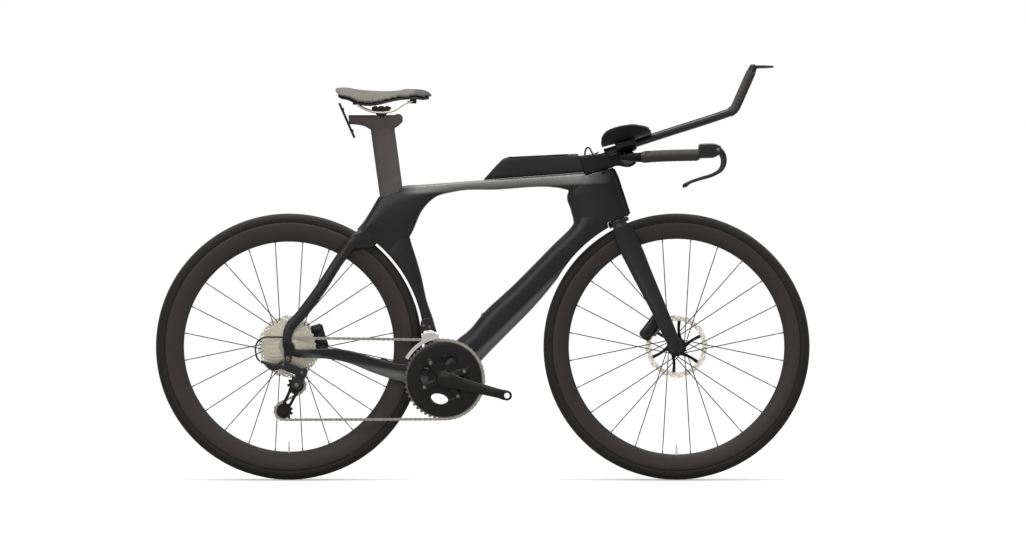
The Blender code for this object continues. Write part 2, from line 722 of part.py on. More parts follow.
def build_storage_box():
    back = (top_line(0) - head_corner()).length - BOX_LENGTH
    w = BOX_HALF_WIDTH

    def station(forward, height, half_width, sink=0.0):
        foot = top_line(back + forward) + Vector((0, 0, GAP + sink))
        return (foot + Vector((0, 0, height - sink)), foot, 0, half_width)

    stations = [station(0, 1.5, 6), station(14, 16, 11), station(36, 38.5, 14.5), station(54, 52.5, w),
                station(67, 54.5, w), station(LID_END, 50, w), station(BOX_LENGTH + 4, 47.5, w)]
    box = make_object("top_tube_box", beam(stations, 12, 3.6), "black_plastic")
    cavity = [station(LID_START - 8, 70, w - BOX_WALL - 2, 4), station(LID_START + 10, 70, w - BOX_WALL, 3),
              station(LID_END - 8, 70, w - BOX_WALL, 3)]
    lid_top = [top_line(back + LID_START) + Vector((0, 0, 54.5)),
               top_line(back + LID_END) + Vector((0, 0, 50.5))]
    along = (lid_top[1] - lid_top[0]).normalized()
    above = Vector((-along.z, 0, along.x))
    middle = (lid_top[0] + lid_top[1]) / 2
    half = (lid_top[1] - lid_top[0]).length / 2
    seat = slab(middle + above * (20 - LID_THICKNESS), along * (half + GAP), SIDE * 30, above * 20)
    cut(box, seat, beam(cavity, 12, 6.0),
        cylinder(STEM_TAIL_RADIUS + 0.8, 0, 90, at_steer(0, HEAD_LENGTH - 30), STEER_UP, 48))
    lid = slab(middle - above * ((LID_THICKNESS - GAP) / 2), along * half, SIDE * (w - 1.2),
               above * ((LID_THICKNESS - GAP) / 2))
    lid_object = make_object("box_lid", lid, "black_plastic", origin=lid_top[1])
    lid_object.modifiers.new("edges", "BEVEL").width = 0.8 * MM
    lid_object.modifiers["edges"].segments = 1


# Wheels

def strut(start, end, half_width, half_thickness):
    # a flat bar between two points, thin along Y
    along = (end - start).normalized()
    across = along.cross(SIDE).normalized()
    rings = []
    for point in (start, end):
        rings.append([point + across * half_width * a + SIDE * half_thickness * b
                      for a, b in ((-1, -1), (1, -1), (1, 1), (-1, 1))])
    return loft(rings)


def polar(centre, radius, angle, y=0.0):
    turn = radians(angle)
    return centre + Vector((radius * cos(turn), y, radius * sin(turn)))


def build_rim(name, axle, depth):
    half = RIM_WIDTH / 2
    inner = RIM_RADIUS - depth
    bed = RIM_RADIUS - RIM_BED
    profile = [(RIM_RADIUS, half - 0.6), (RIM_RADIUS - depth * 0.5, half), (inner + 4, half * 0.5),
               (inner, 0), (inner + 4, -half * 0.5), (RIM_RADIUS - depth * 0.5, -half),
               (RIM_RADIUS, 0.6 - half), (bed, 5 - half), (bed, half - 5)]
    make_object(name, turned(profile, axle, SIDE, WHEEL_SEGMENTS), "carbon_rim", axle)


def build_tyre(name, axle):
    half = TYRE_WIDTH / 2
    base = RIM_RADIUS + GAP
    top = TYRE_RADIUS
    wall = TYRE_WALL
    outer = [(base, half - 0.8), (base + TYRE_HEIGHT * 0.45, half), (top - 4, half * 0.6), (top, 0)]
    inner = [(top - wall - 1.5, half * 0.4), (base, half - 0.8 - wall)]
    profile = outer + [(r, -y) for r, y in outer[-2::-1]]
    profile += [(r, -y) for r, y in inner[::-1]] + inner
    make_object(name, turned(profile, axle, SIDE, WHEEL_SEGMENTS), "tyre_rubber", axle)


def build_hub(name, axle, profile, flanges, rim_inner):
    hub = make_object(name, turned(profile, axle, SIDE, 10), "black_alloy", axle)
    spokes = []
    step = 360 / SPOKE_COUNT
    for k in range(SPOKE_COUNT):
        rim_angle = 90 - step * (k - 0.5)
        turn = -1 if k % 4 in (0, 3) else 1
        flange_y = flanges[k % 2]
        offset = 1.5 * turn
        start = polar(axle, SPOKE_CIRCLE, rim_angle - SPOKE_CROSSING * turn, flange_y + offset)
        end = polar(axle, rim_inner - SPOKE_END_GAP, rim_angle, copysign(1.6, flange_y))
        spokes.append(strut(start, end, SPOKE_WIDTH / 2, SPOKE_THICKNESS / 2))
    return join(hub, *spokes)


def flange(y):
    half = FLANGE_THICKNESS / 2
    return [(HUB_RADIUS, y - half - 2), (FLANGE_RADIUS, y - 1), (FLANGE_RADIUS, y + 1),
            (HUB_RADIUS, y + half + 2)]


def build_rotor(name, axle, y):
    half = ROTOR_THICKNESS / 2
    inner = ROTOR_RADIUS - ROTOR_TRACK
    centre = axle + SIDE * y
    rotor = make_object(name, tube(ROTOR_RADIUS, inner, -half, half, centre, segments=20),
                        "rotor_steel", axle)
    hub_fit = HUB_RADIUS + 2 + 3 * GAP
    pieces = [tube(ROTOR_CARRIER_RADIUS, hub_fit, -3, 3, centre, segments=12)]
    for k in range(ROTOR_ARM_COUNT):
        angle = 360 / ROTOR_ARM_COUNT * k
        pieces.append(strut(polar(centre, ROTOR_CARRIER_RADIUS - 2, angle),
                            polar(centre, inner + 3, angle + 24), 4.5, half * 0.9))
    join(rotor, *pieces)


def build_wheels():
    bore = AXLE_RADIUS + BEARING_GAP
    front_end = FRONT_AXLE_LENGTH / 2 - GAP
    carrier = HUB_RADIUS + 2
    front_profile = [(bore, -front_end), (9, -front_end), (HUB_RADIUS, -42),
                     *flange(FRONT_FLANGE_RIGHT), *flange(FRONT_FLANGE_LEFT),
                     (carrier, FRONT_ROTOR_Y - 4), (carrier, FRONT_ROTOR_Y + 4),
                     (9, FRONT_ROTOR_Y + 4), (9, front_end), (bore, front_end)]
    rear_end = REAR_AXLE_LENGTH / 2 - GAP
    rear_profile = [(bore, REAR_FLANGE_RIGHT - 5.5), (HUB_RADIUS, REAR_FLANGE_RIGHT - 5.5),
                    *flange(REAR_FLANGE_RIGHT)[1:], *flange(REAR_FLANGE_LEFT),
                    (carrier, REAR_ROTOR_Y - 4), (carrier, REAR_ROTOR_Y + 4),
                    (9, REAR_ROTOR_Y + 4), (9, rear_end), (bore, rear_end)]
    for side, axle, depth, profile, flanges, rotor_y in (
            ("front", FRONT_AXLE, FRONT_RIM_DEPTH, front_profile,
             (FRONT_FLANGE_LEFT, FRONT_FLANGE_RIGHT), FRONT_ROTOR_Y),
            ("rear", REAR_AXLE, REAR_RIM_DEPTH, rear_profile,
             (REAR_FLANGE_LEFT, REAR_FLANGE_RIGHT), REAR_ROTOR_Y)):
        build_rim(side + "_rim", axle, depth)
        build_tyre(side + "_tyre", axle)
        build_hub(side + "_hub", axle, profile, flanges, RIM_RADIUS - depth)
        build_rotor(side + "_rotor", axle, rotor_y)


# Drivetrain

def build_cassette():
    bore = AXLE_RADIUS + BEARING_GAP
    half = COG_THICKNESS / 2
    outer_end = -REAR_AXLE_LENGTH / 2 + GAP
    profile = [(bore, outer_end), (10, outer_end), (10, FIRST_COG_Y - 3), (FREEHUB_RADIUS, FIRST_COG_Y - 3)]
    for k, teeth in enumerate(COG_TEETH):
        y = FIRST_COG_Y + COG_SPACING * k
        tip = pitch_radius(teeth) + 2.4
        root = FREEHUB_RADIUS if k < 3 else pitch_radius(COG_TEETH[k - 1]) - 14
        if k < 2:
            profile += [(root, y - half), (tip, y - half), (tip, y + half)]
            if k == 0:
                profile.append((root, y + half))
        else:
            profile += [(root, y - COG_SPACING / 2), (tip, y)]
    last = FIRST_COG_Y + COG_SPACING * (len(COG_TEETH) - 1) + half
    profile += [(pitch_radius(COG_TEETH[-1]) - 20, last), (FREEHUB_RADIUS, last + 1),
                (FREEHUB_RADIUS, REAR_FLANGE_RIGHT - 6), (bore, REAR_FLANGE_RIGHT - 6)]
    make_object("cassette", turned(profile, REAR_AXLE, SIDE, 10), "steel", REAR_AXLE)


def toothed(centre, teeth, y_low, y_high):
    outline = []
    pitch = pitch_radius(teeth)
    step = 360 / teeth
    for k in range(teeth):
        for radius, share in ((pitch - 3.8, 0), (pitch + 2.4, 0.5)):
            outline.append(polar(centre, radius, (k + share) * step))
    return plate(outline, y_low, y_high)


def build_rings():
    half = RING_THICKNESS / 2
    big = make_object("big_ring", toothed(CRANK_AXLE, BIG_RING_TEETH, BIG_RING_Y - half, BIG_RING_Y + half),
                      "black_alloy", CRANK_AXLE)
    cut(big, cylinder(RING_INNER_RADIUS, -100, 100, CRANK_AXLE, segments=16))
    small_y = BIG_RING_Y + RING_SPACING
    make_object("small_ring",
                tube(pitch_radius(SMALL_RING_TEETH) + 2, RING_INNER_RADIUS, small_y - half, small_y + half,
                     CRANK_AXLE, segments=24), "black_alloy", CRANK_AXLE)


def crank_arm(sign, angle):
    # stations run out from the crank axle: distance, middle in Y, half width, half thickness
    half = CRANK_THICKNESS / 2
    face = PEDAL_FACE_Y - half
    turn = radians(angle)
    across = Vector((-sin(turn), 0, cos(turn)))
    rings = []
    for distance, y, half_width, thickness in (
            (-14, 56.5, 12, 4), (0, 56.5, 19, 6.5), (45, 58, 16.5, 6.5), (100, face - 5, 14, half),
            (CRANK_LENGTH - 18, face, 12.5, half), (CRANK_LENGTH, face, CRANK_EYE_RADIUS, half),
            (CRANK_LENGTH + 9, face, 9, half - 1)):
        middle = crank_line(distance, angle) + SIDE * y * sign
        rings.append(oval(middle, across * half_width, SIDE * thickness, 8, 2.8))
    return loft(rings)


def pedal_eye(sign, angle):
    face = PEDAL_FACE_Y * sign
    inner = (PEDAL_FACE_Y - CRANK_THICKNESS) * sign
    return cylinder(CRANK_EYE_RADIUS, min(face, inner), max(face, inner), crank_line(CRANK_LENGTH, angle),
                    segments=14)


def build_cranks():
    shell = CRANK_SHELL_WIDTH / 2
    boss_low = shell + CRANK_CUP_LIP + GAP
    opposite = CRANK_ANGLE + 180
    right = make_object("crank_right", crank_arm(-1, CRANK_ANGLE), "black_alloy", CRANK_AXLE)
    spider_low = BIG_RING_Y + RING_THICKNESS / 2 + GAP
    spider_high = BIG_RING_Y + RING_SPACING - RING_THICKNESS / 2 - GAP
    arms = []
    for base in (CRANK_ANGLE, opposite):
        for spread in (-SPIDER_SPREAD, SPIDER_SPREAD):
            middle = CRANK_AXLE + SIDE * (spider_low + spider_high) / 2
            arms.append(strut(middle, polar(middle, RING_BOLT_RADIUS + 7, base + spread), 9,
                              (spider_high - spider_low) / 2))
            outer = CRANK_AXLE + SIDE * (BIG_RING_Y - 2)
            arms.append(strut(outer, polar(outer, RING_INNER_RADIUS - 4, base + spread), 10, 4))
    join(right, *arms,
         cylinder(20, -60, -boss_low, CRANK_AXLE, segments=12),
         cylinder(SPINDLE_RADIUS, -50, 60, CRANK_AXLE, segments=12),
         pedal_eye(-1, CRANK_ANGLE))
    cut(right, cylinder(PEDAL_HOLE_RADIUS, -100, 0, crank_line(CRANK_LENGTH), segments=12))
    left = make_object("crank_left", crank_arm(1, opposite), "black_alloy", CRANK_AXLE)
    join(left, cylinder(19, boss_low, 62, CRANK_AXLE, segments=12), pedal_eye(1, opposite))
    cut(left, cylinder(SPINDLE_RADIUS + GAP, 0, 61, CRANK_AXLE, segments=12),
        cylinder(PEDAL_HOLE_RADIUS, 0, 100, crank_line(CRANK_LENGTH, opposite), segments=12))


def chain_path():
    # the loop over cog, ring, tension pulley and guide pulley, as (x, z, y) points
    # turn is 1 where the chain runs clockwise seen from the right, and -1 where it doesn't
    cog_y = FIRST_COG_Y
    wheels = [(REAR_AXLE, pitch_radius(COG_TEETH[0]), 1, cog_y, 36),
              (CRANK_AXLE, pitch_radius(BIG_RING_TEETH), 1, BIG_RING_Y, 15),
              (at_rear(*TENSION_PULLEY), pitch_radius(PULLEY_TEETH), 1, cog_y, 36),
              (at_rear(*GUIDE_PULLEY), pitch_radius(PULLEY_TEETH), -1, cog_y, 36)]
    headings = []
    for i, (centre, radius, turn, _, _) in enumerate(wheels):
        after = wheels[(i + 1) % len(wheels)]
        across = after[0] - centre
        lean = asin((turn * radius - after[2] * after[1]) / hypot(across.x, across.z))
        headings.append(atan2(across.z, across.x) - lean)
    path = []
    for i, (centre, radius, turn, y, step) in enumerate(wheels):
        arrive, leave = headings[i - 1], headings[i]
        sweep_angle = (arrive - leave) * turn % (2 * pi)
        count = max(2, ceil(sweep_angle / radians(step)))
        for k in range(count + 1):
            heading = arrive - turn * sweep_angle * k / count
            normal = Vector((-sin(heading), 0, cos(heading)))
            path.append(centre + normal * radius * turn + SIDE * y)
        after = wheels[(i + 1) % len(wheels)]
        start = path[-1]
        normal = Vector((-sin(leave), 0, cos(leave)))
        end = after[0] + normal * after[1] * after[2] + SIDE * after[3]
        if y != after[3]:
            for share in (0.16, 0.5, 0.84):
                point = start + (end - start) * share
                blend = min(max((share - 0.16) / 0.68, 0), 1)
                point.y = y + (after[3] - y) * blend * blend * (3 - 2 * blend)
                path.append(point)
    return path


def build_chain():
    path = chain_path()
    rings = []
    for i, point in enumerate(path):
        ahead = path[(i + 1) % len(path)] - path[i - 1]
        above = SIDE.cross(ahead).normalized() * CHAIN_HEIGHT / 2
        wide = SIDE * CHAIN_WIDTH / 2
        rings.append([point + above + wide, point + above - wide,
                      point - above - wide, point - above + wide])
    chain = make_object("chain", loft(rings, closed=True), "steel", flat=True)
    # the teeth run between the chain's plates
    half = CHAIN_INNER_WIDTH / 2
    for centre, teeth, y, segments in ((CRANK_AXLE, BIG_RING_TEETH, BIG_RING_Y, 24),
                                       (REAR_AXLE, COG_TEETH[0], FIRST_COG_Y, 12),
                                       (at_rear(*TENSION_PULLEY), PULLEY_TEETH, FIRST_COG_Y, 12),
                                       (at_rear(*GUIDE_PULLEY), PULLEY_TEETH, FIRST_COG_Y, 12)):
        cut(chain, cylinder(pitch_radius(teeth) + 6, y - half, y + half, centre, segments=segments))


def arc_points(centre, radius, start, end, count):
    return [polar(centre, radius, start + (end - start) * k / count) for k in range(count + 1)]


def build_front_derailleur():
    low, high = FRONT_CAGE_INNER, FRONT_CAGE_OUTER
    t = CAGE_THICKNESS
    first, last = 101.0, 151.0
    outer_y, inner_y = BIG_RING_Y - 7, BIG_RING_Y + 6
    band = arc_points(CRANK_AXLE, low, first, last, 5) + arc_points(CRANK_AXLE, high, last, first + 5, 5)
    cage = make_object("front_derailleur_cage", plate(band, outer_y, outer_y + t), "steel")
    linked = (arc_points(CRANK_AXLE, low, first, last, 5) + arc_points(CRANK_AXLE, high, last, 124, 3)
              + [at_crank(-60, 146), at_crank(-38, 146)] + arc_points(CRANK_AXLE, high, 110, first + 5, 2))
    inner = plate(linked, inner_y - t, inner_y)
    bridges = []
    for start, end, base in ((first + 6, first + 16, high - 3.5), (last - 4, last - 0.6, low + 4)):
        outline = (arc_points(CRANK_AXLE, base, start, end, 2)
                   + arc_points(CRANK_AXLE, high - 0.7, end, start, 2))
        bridges.append(plate(outline, outer_y + t / 2, inner_y - t / 2))
    join(cage, inner, *bridges)
    outline = [at_crank(-70, 120), at_crank(-30, 118), at_crank(-28, 150), at_crank(-44, 158),
               at_crank(-66, 150)]
    body = make_object("front_derailleur_body", plate(outline, inner_y + GAP, -8), "black_alloy")
    slot = TYRE_WIDTH / 2 + STAY_TYRE_GAP
    cut(body, beam(grown(seat_tube_stations(), GAP), 10, 3.0),
        cylinder(TYRE_RADIUS + REAR_TYRE_GAP, -slot, slot, REAR_AXLE, segments=48))


def capsule(first, first_radius, second, second_radius, steps=3):
    # outline round two circles
    run = second - first
    heading = atan2(run.z, run.x)
    lean = asin((first_radius - second_radius) / run.length)
    outline = []
    for centre, radius, base in ((first, first_radius, heading + pi / 2 - lean),
                                 (second, second_radius, heading - pi / 2 + lean)):
        turn = pi + 2 * lean if centre is first else pi - 2 * lean
        for k in range(steps + 1):
            outline.append(polar(centre, radius, (base + turn * k / steps) * 180 / pi))
    return outline


def build_rear_derailleur():
    drop_face = -REAR_AXLE_LENGTH / 2 - DROPOUT_THICKNESS - GAP
    hanger_face = drop_face - HANGER_THICKNESS
    mount = at_rear(-2, -32)
    guide, tension = at_rear(*GUIDE_PULLEY), at_rear(*TENSION_PULLEY)
    make_object("derailleur_hanger", plate(capsule(REAR_AXLE, 13, mount, 9), hanger_face, drop_face),
                "black_alloy")
    plate_y = 4.6
    t = CAGE_THICKNESS
    outer_face = FIRST_COG_Y - plate_y - t
    body_low = hanger_face - GAP - 15
    body_plate = plate(capsule(at_rear(-14, -46), 12, at_rear(34, -66), 12), body_low, hanger_face - 2)
    body = make_object("rear_derailleur_body", body_plate, "black_alloy")
    join(body, cylinder(9, body_low, hanger_face - GAP, mount, segments=16),
         plate(capsule(at_rear(36, -64), 13, guide, 12.5), body_low + 2, outer_face - GAP),
         strut(at_rear(-24, -48) + SIDE * (body_low + 7), at_rear(-72, -38) + SIDE * (body_low + 7), 4, 4))
    cage = make_object("rear_derailleur_cage",
                       plate(capsule(guide, 13, tension, 11), outer_face, outer_face + t),
                       "black_alloy", guide)
    cage_window = plate(capsule(guide + (tension - guide) * 0.42, 4.5, guide + (tension - guide) * 0.66, 4),
                        -100, 0)
    join(cage, plate(capsule(guide, 12, tension, 11), FIRST_COG_Y + plate_y, FIRST_COG_Y + plate_y + t),
         *[cylinder(PULLEY_BOLT_RADIUS, outer_face + t / 2, FIRST_COG_Y + plate_y + t / 2, centre,
                    segments=8) for centre in (guide, tension)])
    cut(cage, cage_window)
    for name, centre in (("guide_pulley", guide), ("tension_pulley", tension)):
        wheel = make_object(name, toothed(centre, PULLEY_TEETH, FIRST_COG_Y - 1, FIRST_COG_Y + 1),
                            "black_plastic", centre)
        join(wheel, cylinder(8, FIRST_COG_Y - plate_y + GAP, FIRST_COG_Y + plate_y - GAP, centre,
                             segments=8))
        cut(wheel, cylinder(PULLEY_BOLT_RADIUS + BEARING_GAP, -100, 0, centre, segments=8))
    port = -REAR_AXLE_LENGTH / 2 - DROPOUT_THICKNESS / 2
    end_y = body_low + 7
    points = [(-10, 24.5, port), (-24, 24.5, port), (-38.5, 24.5, port), (-61, 24, port - 3),
              (-76, 16.6, port - 8), (-84, 0.7, port - 13), (-83.5, -17, end_y), (-79, -31, end_y),
              (-73, -37.2, end_y)]
    cable("rear_shift_cable", [at_rear(x, z) + SIDE * y for x, z, y in points], CABLE_DIAMETER,
          "cable_housing")


def build_drivetrain():
    build_cassette()
    build_rings()
    build_cranks()
    build_chain()
    build_front_derailleur()
    build_rear_derailleur()


# Fork and brakes

def leg_stations():
    end_y = FRONT_AXLE_LENGTH / 2 + 6
    return [
        (at_steer(26.4, -15.8), at_steer(-18.5, -15.3), 27, 9),
        (at_steer(37.4, -81.8), at_steer(-21.6, -61.5), 28, 9),
        (at_steer(42.4, -147.8), at_steer(-11.3, -131.9), 34, 8.5),
        (at_front(-16.3, 78.8), at_front(-60, 80), 51, 6.5),
        (at_front(5, 25), at_front(-31, 20), end_y, 5.8),
        (at_front(14.3, -1.2), at_front(-16.3, -6.3), end_y, 5.6),
        (at_front(8, -14), at_front(-10, -15), end_y, 5.6),
    ]


def build_fork():
    crown = at_steer(0, 0)
    steerer_top = HEAD_LENGTH + STEM_STACK
    profile = [(0, -18), (CROWN_RADIUS, -18), (CROWN_RADIUS, -2), (CROWN_RADIUS - 2, 0),
               (STEERER_RADIUS, 0), (STEERER_RADIUS, steerer_top), (0, steerer_top)]
    fork = make_object("fork", turned(profile, crown, STEER_UP, 20), "carbon_frame", crown)
    end = FRONT_AXLE_LENGTH / 2
    join(fork, *stay_pair(leg_stations(), 10),
         cylinder(13, end, end + 12, FRONT_AXLE, segments=12),
         cylinder(13, -end - 12, -end, FRONT_AXLE, segments=12))
    slot = TYRE_WIDTH / 2 + CROWN_TYRE_GAP
    cut(fork, cylinder(TYRE_RADIUS + CROWN_TYRE_GAP, -slot, slot, FRONT_AXLE, segments=48),
        cylinder(STEERER_RADIUS - 3, -40, steerer_top + 5, crown, STEER_UP, 10),
        cylinder(AXLE_RADIUS + GAP, -100, 100, FRONT_AXLE, segments=12))
    for name, axle, half in (("front_thru_axle", FRONT_AXLE, end + 12),
                             ("rear_thru_axle", REAR_AXLE, REAR_AXLE_LENGTH / 2 + DROPOUT_THICKNESS)):
        profile = [(0, 2 - half), (AXLE_RADIUS, 2 - half), (AXLE_RADIUS, half + GAP), (8.5, half + GAP),
                   (7.5, half + 4), (0, half + 4)]
        make_object(name, turned(profile, axle, SIDE, 12), "black_alloy", axle)


def build_caliper(name, axle, angle, y, stays):
    along = polar(Vector(), 1, angle)
    across = polar(Vector(), 1, angle + 90)
    centre = axle + along * (ROTOR_RADIUS + 1) + SIDE * (y + 1)
    rings = [oval(centre + across * reach, along * 17 * scale, SIDE * 11.5 * scale, 12, 3.4)
             for reach, scale in ((-34, 0.7), (-27, 1), (27, 1), (34, 0.7))]
    caliper = make_object(name, loft(rings), "black_alloy")
    half = ROTOR_THICKNESS / 2 + 0.6
    cut(caliper, cylinder(ROTOR_RADIUS + 1.5, y - half, y + half, axle, segments=32), *stays)


def build_calipers():
    leg = beam(grown(leg_stations(), GAP), 10, 2.4)
    build_caliper("front_caliper", FRONT_AXLE, 143, FRONT_ROTOR_Y, [leg])
    chain_stay = beam(grown(chain_stay_stations(), GAP), 8, 2.4)
    build_caliper("rear_caliper", REAR_AXLE, 17, REAR_ROTOR_Y, [chain_stay])


# Cockpit

def at_bar(x, z, y=0.0):
    # from the middle of the base bar's clamp
    return Vector((BAR_CENTRE.x + x, y, BAR_CENTRE.z + z))


def build_stem():
    low = HEAD_LENGTH + GAP
    top = HEAD_LENGTH + STEM_HEIGHT
    stations = [
        (at_steer(-62, top), at_steer(-62, low), 0, STEM_HALF_WIDTH),
        (at_steer(0, top - 12), at_steer(0, low), 0, STEM_HALF_WIDTH),
        (at_steer(22, top - 18), at_steer(22, low), 0, STEM_HALF_WIDTH),
        (at_bar(-32, 19), at_bar(-28, -19), 0, STEM_HALF_WIDTH),
        (at_bar(14, 19), at_bar(14, -19), 0, STEM_HALF_WIDTH),
        (at_bar(23, 12), at_bar(23, -13), 0, STEM_HALF_WIDTH - 1),
    ]
    stem = make_object("stem", cylinder(STEM_TAIL_RADIUS, low, top + 12, at_steer(0, 0), STEER_UP, 48),
                       "carbon_black", at_steer(0, HEAD_LENGTH))
    combine(stem, "INTERSECT", beam(stations[:2], 12, 7.0))
    join(stem, beam(stations[1:], 12, 7.0))
    cut(stem, cylinder(STEERER_RADIUS + GAP, low - 5, HEAD_LENGTH + STEM_STACK + GAP,
                       at_steer(0, 0), STEER_UP, 20),
        cylinder(BAR_CLAMP_RADIUS + GAP, -60, 60, BAR_CENTRE, segments=24))
    return stem


def build_base_bar():
    half = BAR_WIDTH / 2
    r = BAR_CLAMP_RADIUS
    grip = GRIP_RADIUS
    tube_radius = GRIP_RADIUS - GRIP_WALL
    stations = [
        (0, 0, 0, r, r), (23, 0, 0, r, r), (60, 3, 1.5, 10, 25), (125, 7, 2.5, 9.5, 25),
        (half - 32, 16, 3, 10.5, 19), (half - 12, 30, 3.5, 11.3, 14),
        (half - 5, 37, 3.8, tube_radius, tube_radius), (half - 4.6, 37.6, 3.8, grip, grip),
        (half, 54, 5, grip, grip), (half, 100, 7.5, grip, grip), (half, 183, 9.5, grip, grip),
    ]
    mirrored = [(-y, x, z, a, b) for y, x, z, a, b in stations[:0:-1]]
    path, sizes = [], []
    for y, x, z, high, wide in mirrored + stations:
        path.append(at_bar(x, z, y))
        sizes.append((high, wide))
    make_object("base_bar", sweep(path, sizes, 8), "carbon_black", BAR_CENTRE)


def build_brakes():
    half = BAR_WIDTH / 2
    pin = 3.0
    for side, sign in (("left", 1), ("right", -1)):
        y = half * sign
        w = 9.5
        pivot = at_bar(*BRAKE_PIVOT, y)
        rings = [(at_bar(183 + 4 * GAP, 37), at_bar(183 + 4 * GAP, 1), y, 12.5),
                 (at_bar(205, 38), at_bar(205, 2), y, 11), (at_bar(226, 37), at_bar(226, 4), y, w),
                 (at_bar(239, 31), at_bar(240, 12), y, w - 0.5)]
        body = make_object("brake_body_" + side, beam(rings, 12, 4.0), "black_plastic")
        cut(body, slab(pivot + Vector((21, 0, 0)), Vector((39, 0, 0)), SIDE * (LEVER_HALF_WIDTH + GAP),
                       Vector((0, 0, 40))),
            cylinder(pin + GAP, -w - 5, w + 5, pivot, segments=10))
        path = [(229, 26), (241, 16), (247.5, 0), (247, -13), (241, -27), (222, -40), (185, -52),
                (158, -62), (145.5, -71)]
        sizes = [(6.5, 4.3), (6.5, 4.3), (6.2, 4.3), (5.8, 4.8), (5.4, 5.3), (5, 5.5), (4.2, 5.5), (4.2, 5.2),
                 (3.6, 4)]
        lever = make_object("brake_lever_" + side,
                            sweep([at_bar(x, z, y) for x, z in path], sizes, 6, 2.6, SIDE),
                            "carbon_black", pivot)
        join(lever, cylinder(7, -LEVER_HALF_WIDTH, LEVER_HALF_WIDTH, pivot, segments=12),
             cylinder(pin, -w + 1, w - 1, pivot, segments=8))


def extension_line(distance, y=0.0, rise=0.0):
    # a point on an extension's straight part, by its distance from the rear end
    turn = radians(EXTENSION_ANGLE)
    return (at_bar(*EXTENSION_START, y) + Vector((cos(turn), 0, sin(turn))) * distance
            + Vector((-sin(turn), 0, cos(turn))) * rise)


def extension_path(y):
    path = [extension_line(0, y), extension_line(EXTENSION_STRAIGHT, y)]
    centre = extension_line(EXTENSION_STRAIGHT, y, EXTENSION_BEND_RADIUS)
    steps = 3
    for k in range(1, steps + 1):
        angle = EXTENSION_ANGLE + (EXTENSION_TIP_ANGLE - EXTENSION_ANGLE) * k / steps
        path.append(polar(centre, EXTENSION_BEND_RADIUS, angle - 90))
    tip = radians(EXTENSION_TIP_ANGLE)
    path.append(path[-1] + Vector((cos(tip), 0, sin(tip))) * EXTENSION_TIP)
    return path


def build_extensions():
    tip = radians(EXTENSION_TIP_ANGLE)
    along = Vector((cos(tip), 0, sin(tip)))
    w = 5.1
    for side, sign in (("left", 1), ("right", -1)):
        y = EXTENSION_SPACING / 2 * sign
        path = extension_path(y)
        r = EXTENSION_RADIUS
        bar = make_object("extension_" + side, sweep(path, (r, r), 12, 2.0, SIDE), "carbon_black")
        cut(bar, cylinder(r - 2.2, -30, 60, path[0], (path[1] - path[0]).normalized(), 8))
        end = path[-1]
        pivot = end + along * 11
        body = make_object("shifter_body_" + side, cylinder(r, GAP, 16, end, along, 14), "black_alloy")
        cut(body, slab(end + along * 23.5, SIDE * (w + GAP), along.cross(SIDE) * 30, along * 20),
            cylinder(2.5 + GAP, -20, 20, pivot, segments=10))
        stations = [(0, 0, 4, w), (18, 0.6, 3.8, w), (40, 0.8, 3, 5.5), (49, 0.8, 2.4, 5.5),
                    (52, 0.8, 1, 4)]
        lever = make_object("shifter_lever_" + side,
                            sweep([pivot + Vector((x, 0, z)) for x, z, _, _ in stations],
                                  [(a, b) for _, _, a, b in stations], 6, 3.0, SIDE),
                            "carbon_black", pivot)
        join(lever, cylinder(7, -w, w, pivot, segments=12), cylinder(2.5, -9.5, 9.5, pivot, segments=8))


def cup_section(reach, depth_low, depth_high):
    # a slice across an arm cup: the trough's strip between two depths above its outer skin
    share = reach / CUP_LENGTH
    if share < CUP_PEAK:
        fall = ((CUP_PEAK - share) / (CUP_PEAK + 0.01)) ** 3
    else:
        fall = ((share - CUP_PEAK) / (1.02 - CUP_PEAK)) ** 2.2
    height = CUP_HEIGHT * (1 - fall) ** 0.62
    half = PAD_WIDTH / 2 * (1 - 0.12 * (2 * share - 1) ** 4)
    rows = []
    for depth in (depth_low, depth_high):
        row = []
        for k in range(7):
            v = k / 3 - 1
            slope = 2 * height * v / half
            length = hypot(1, slope)
            row.append((half * v - depth * slope / length, height * v * v + depth / length))
        rows.append(row)
    return rows[0] + rows[1][::-1]


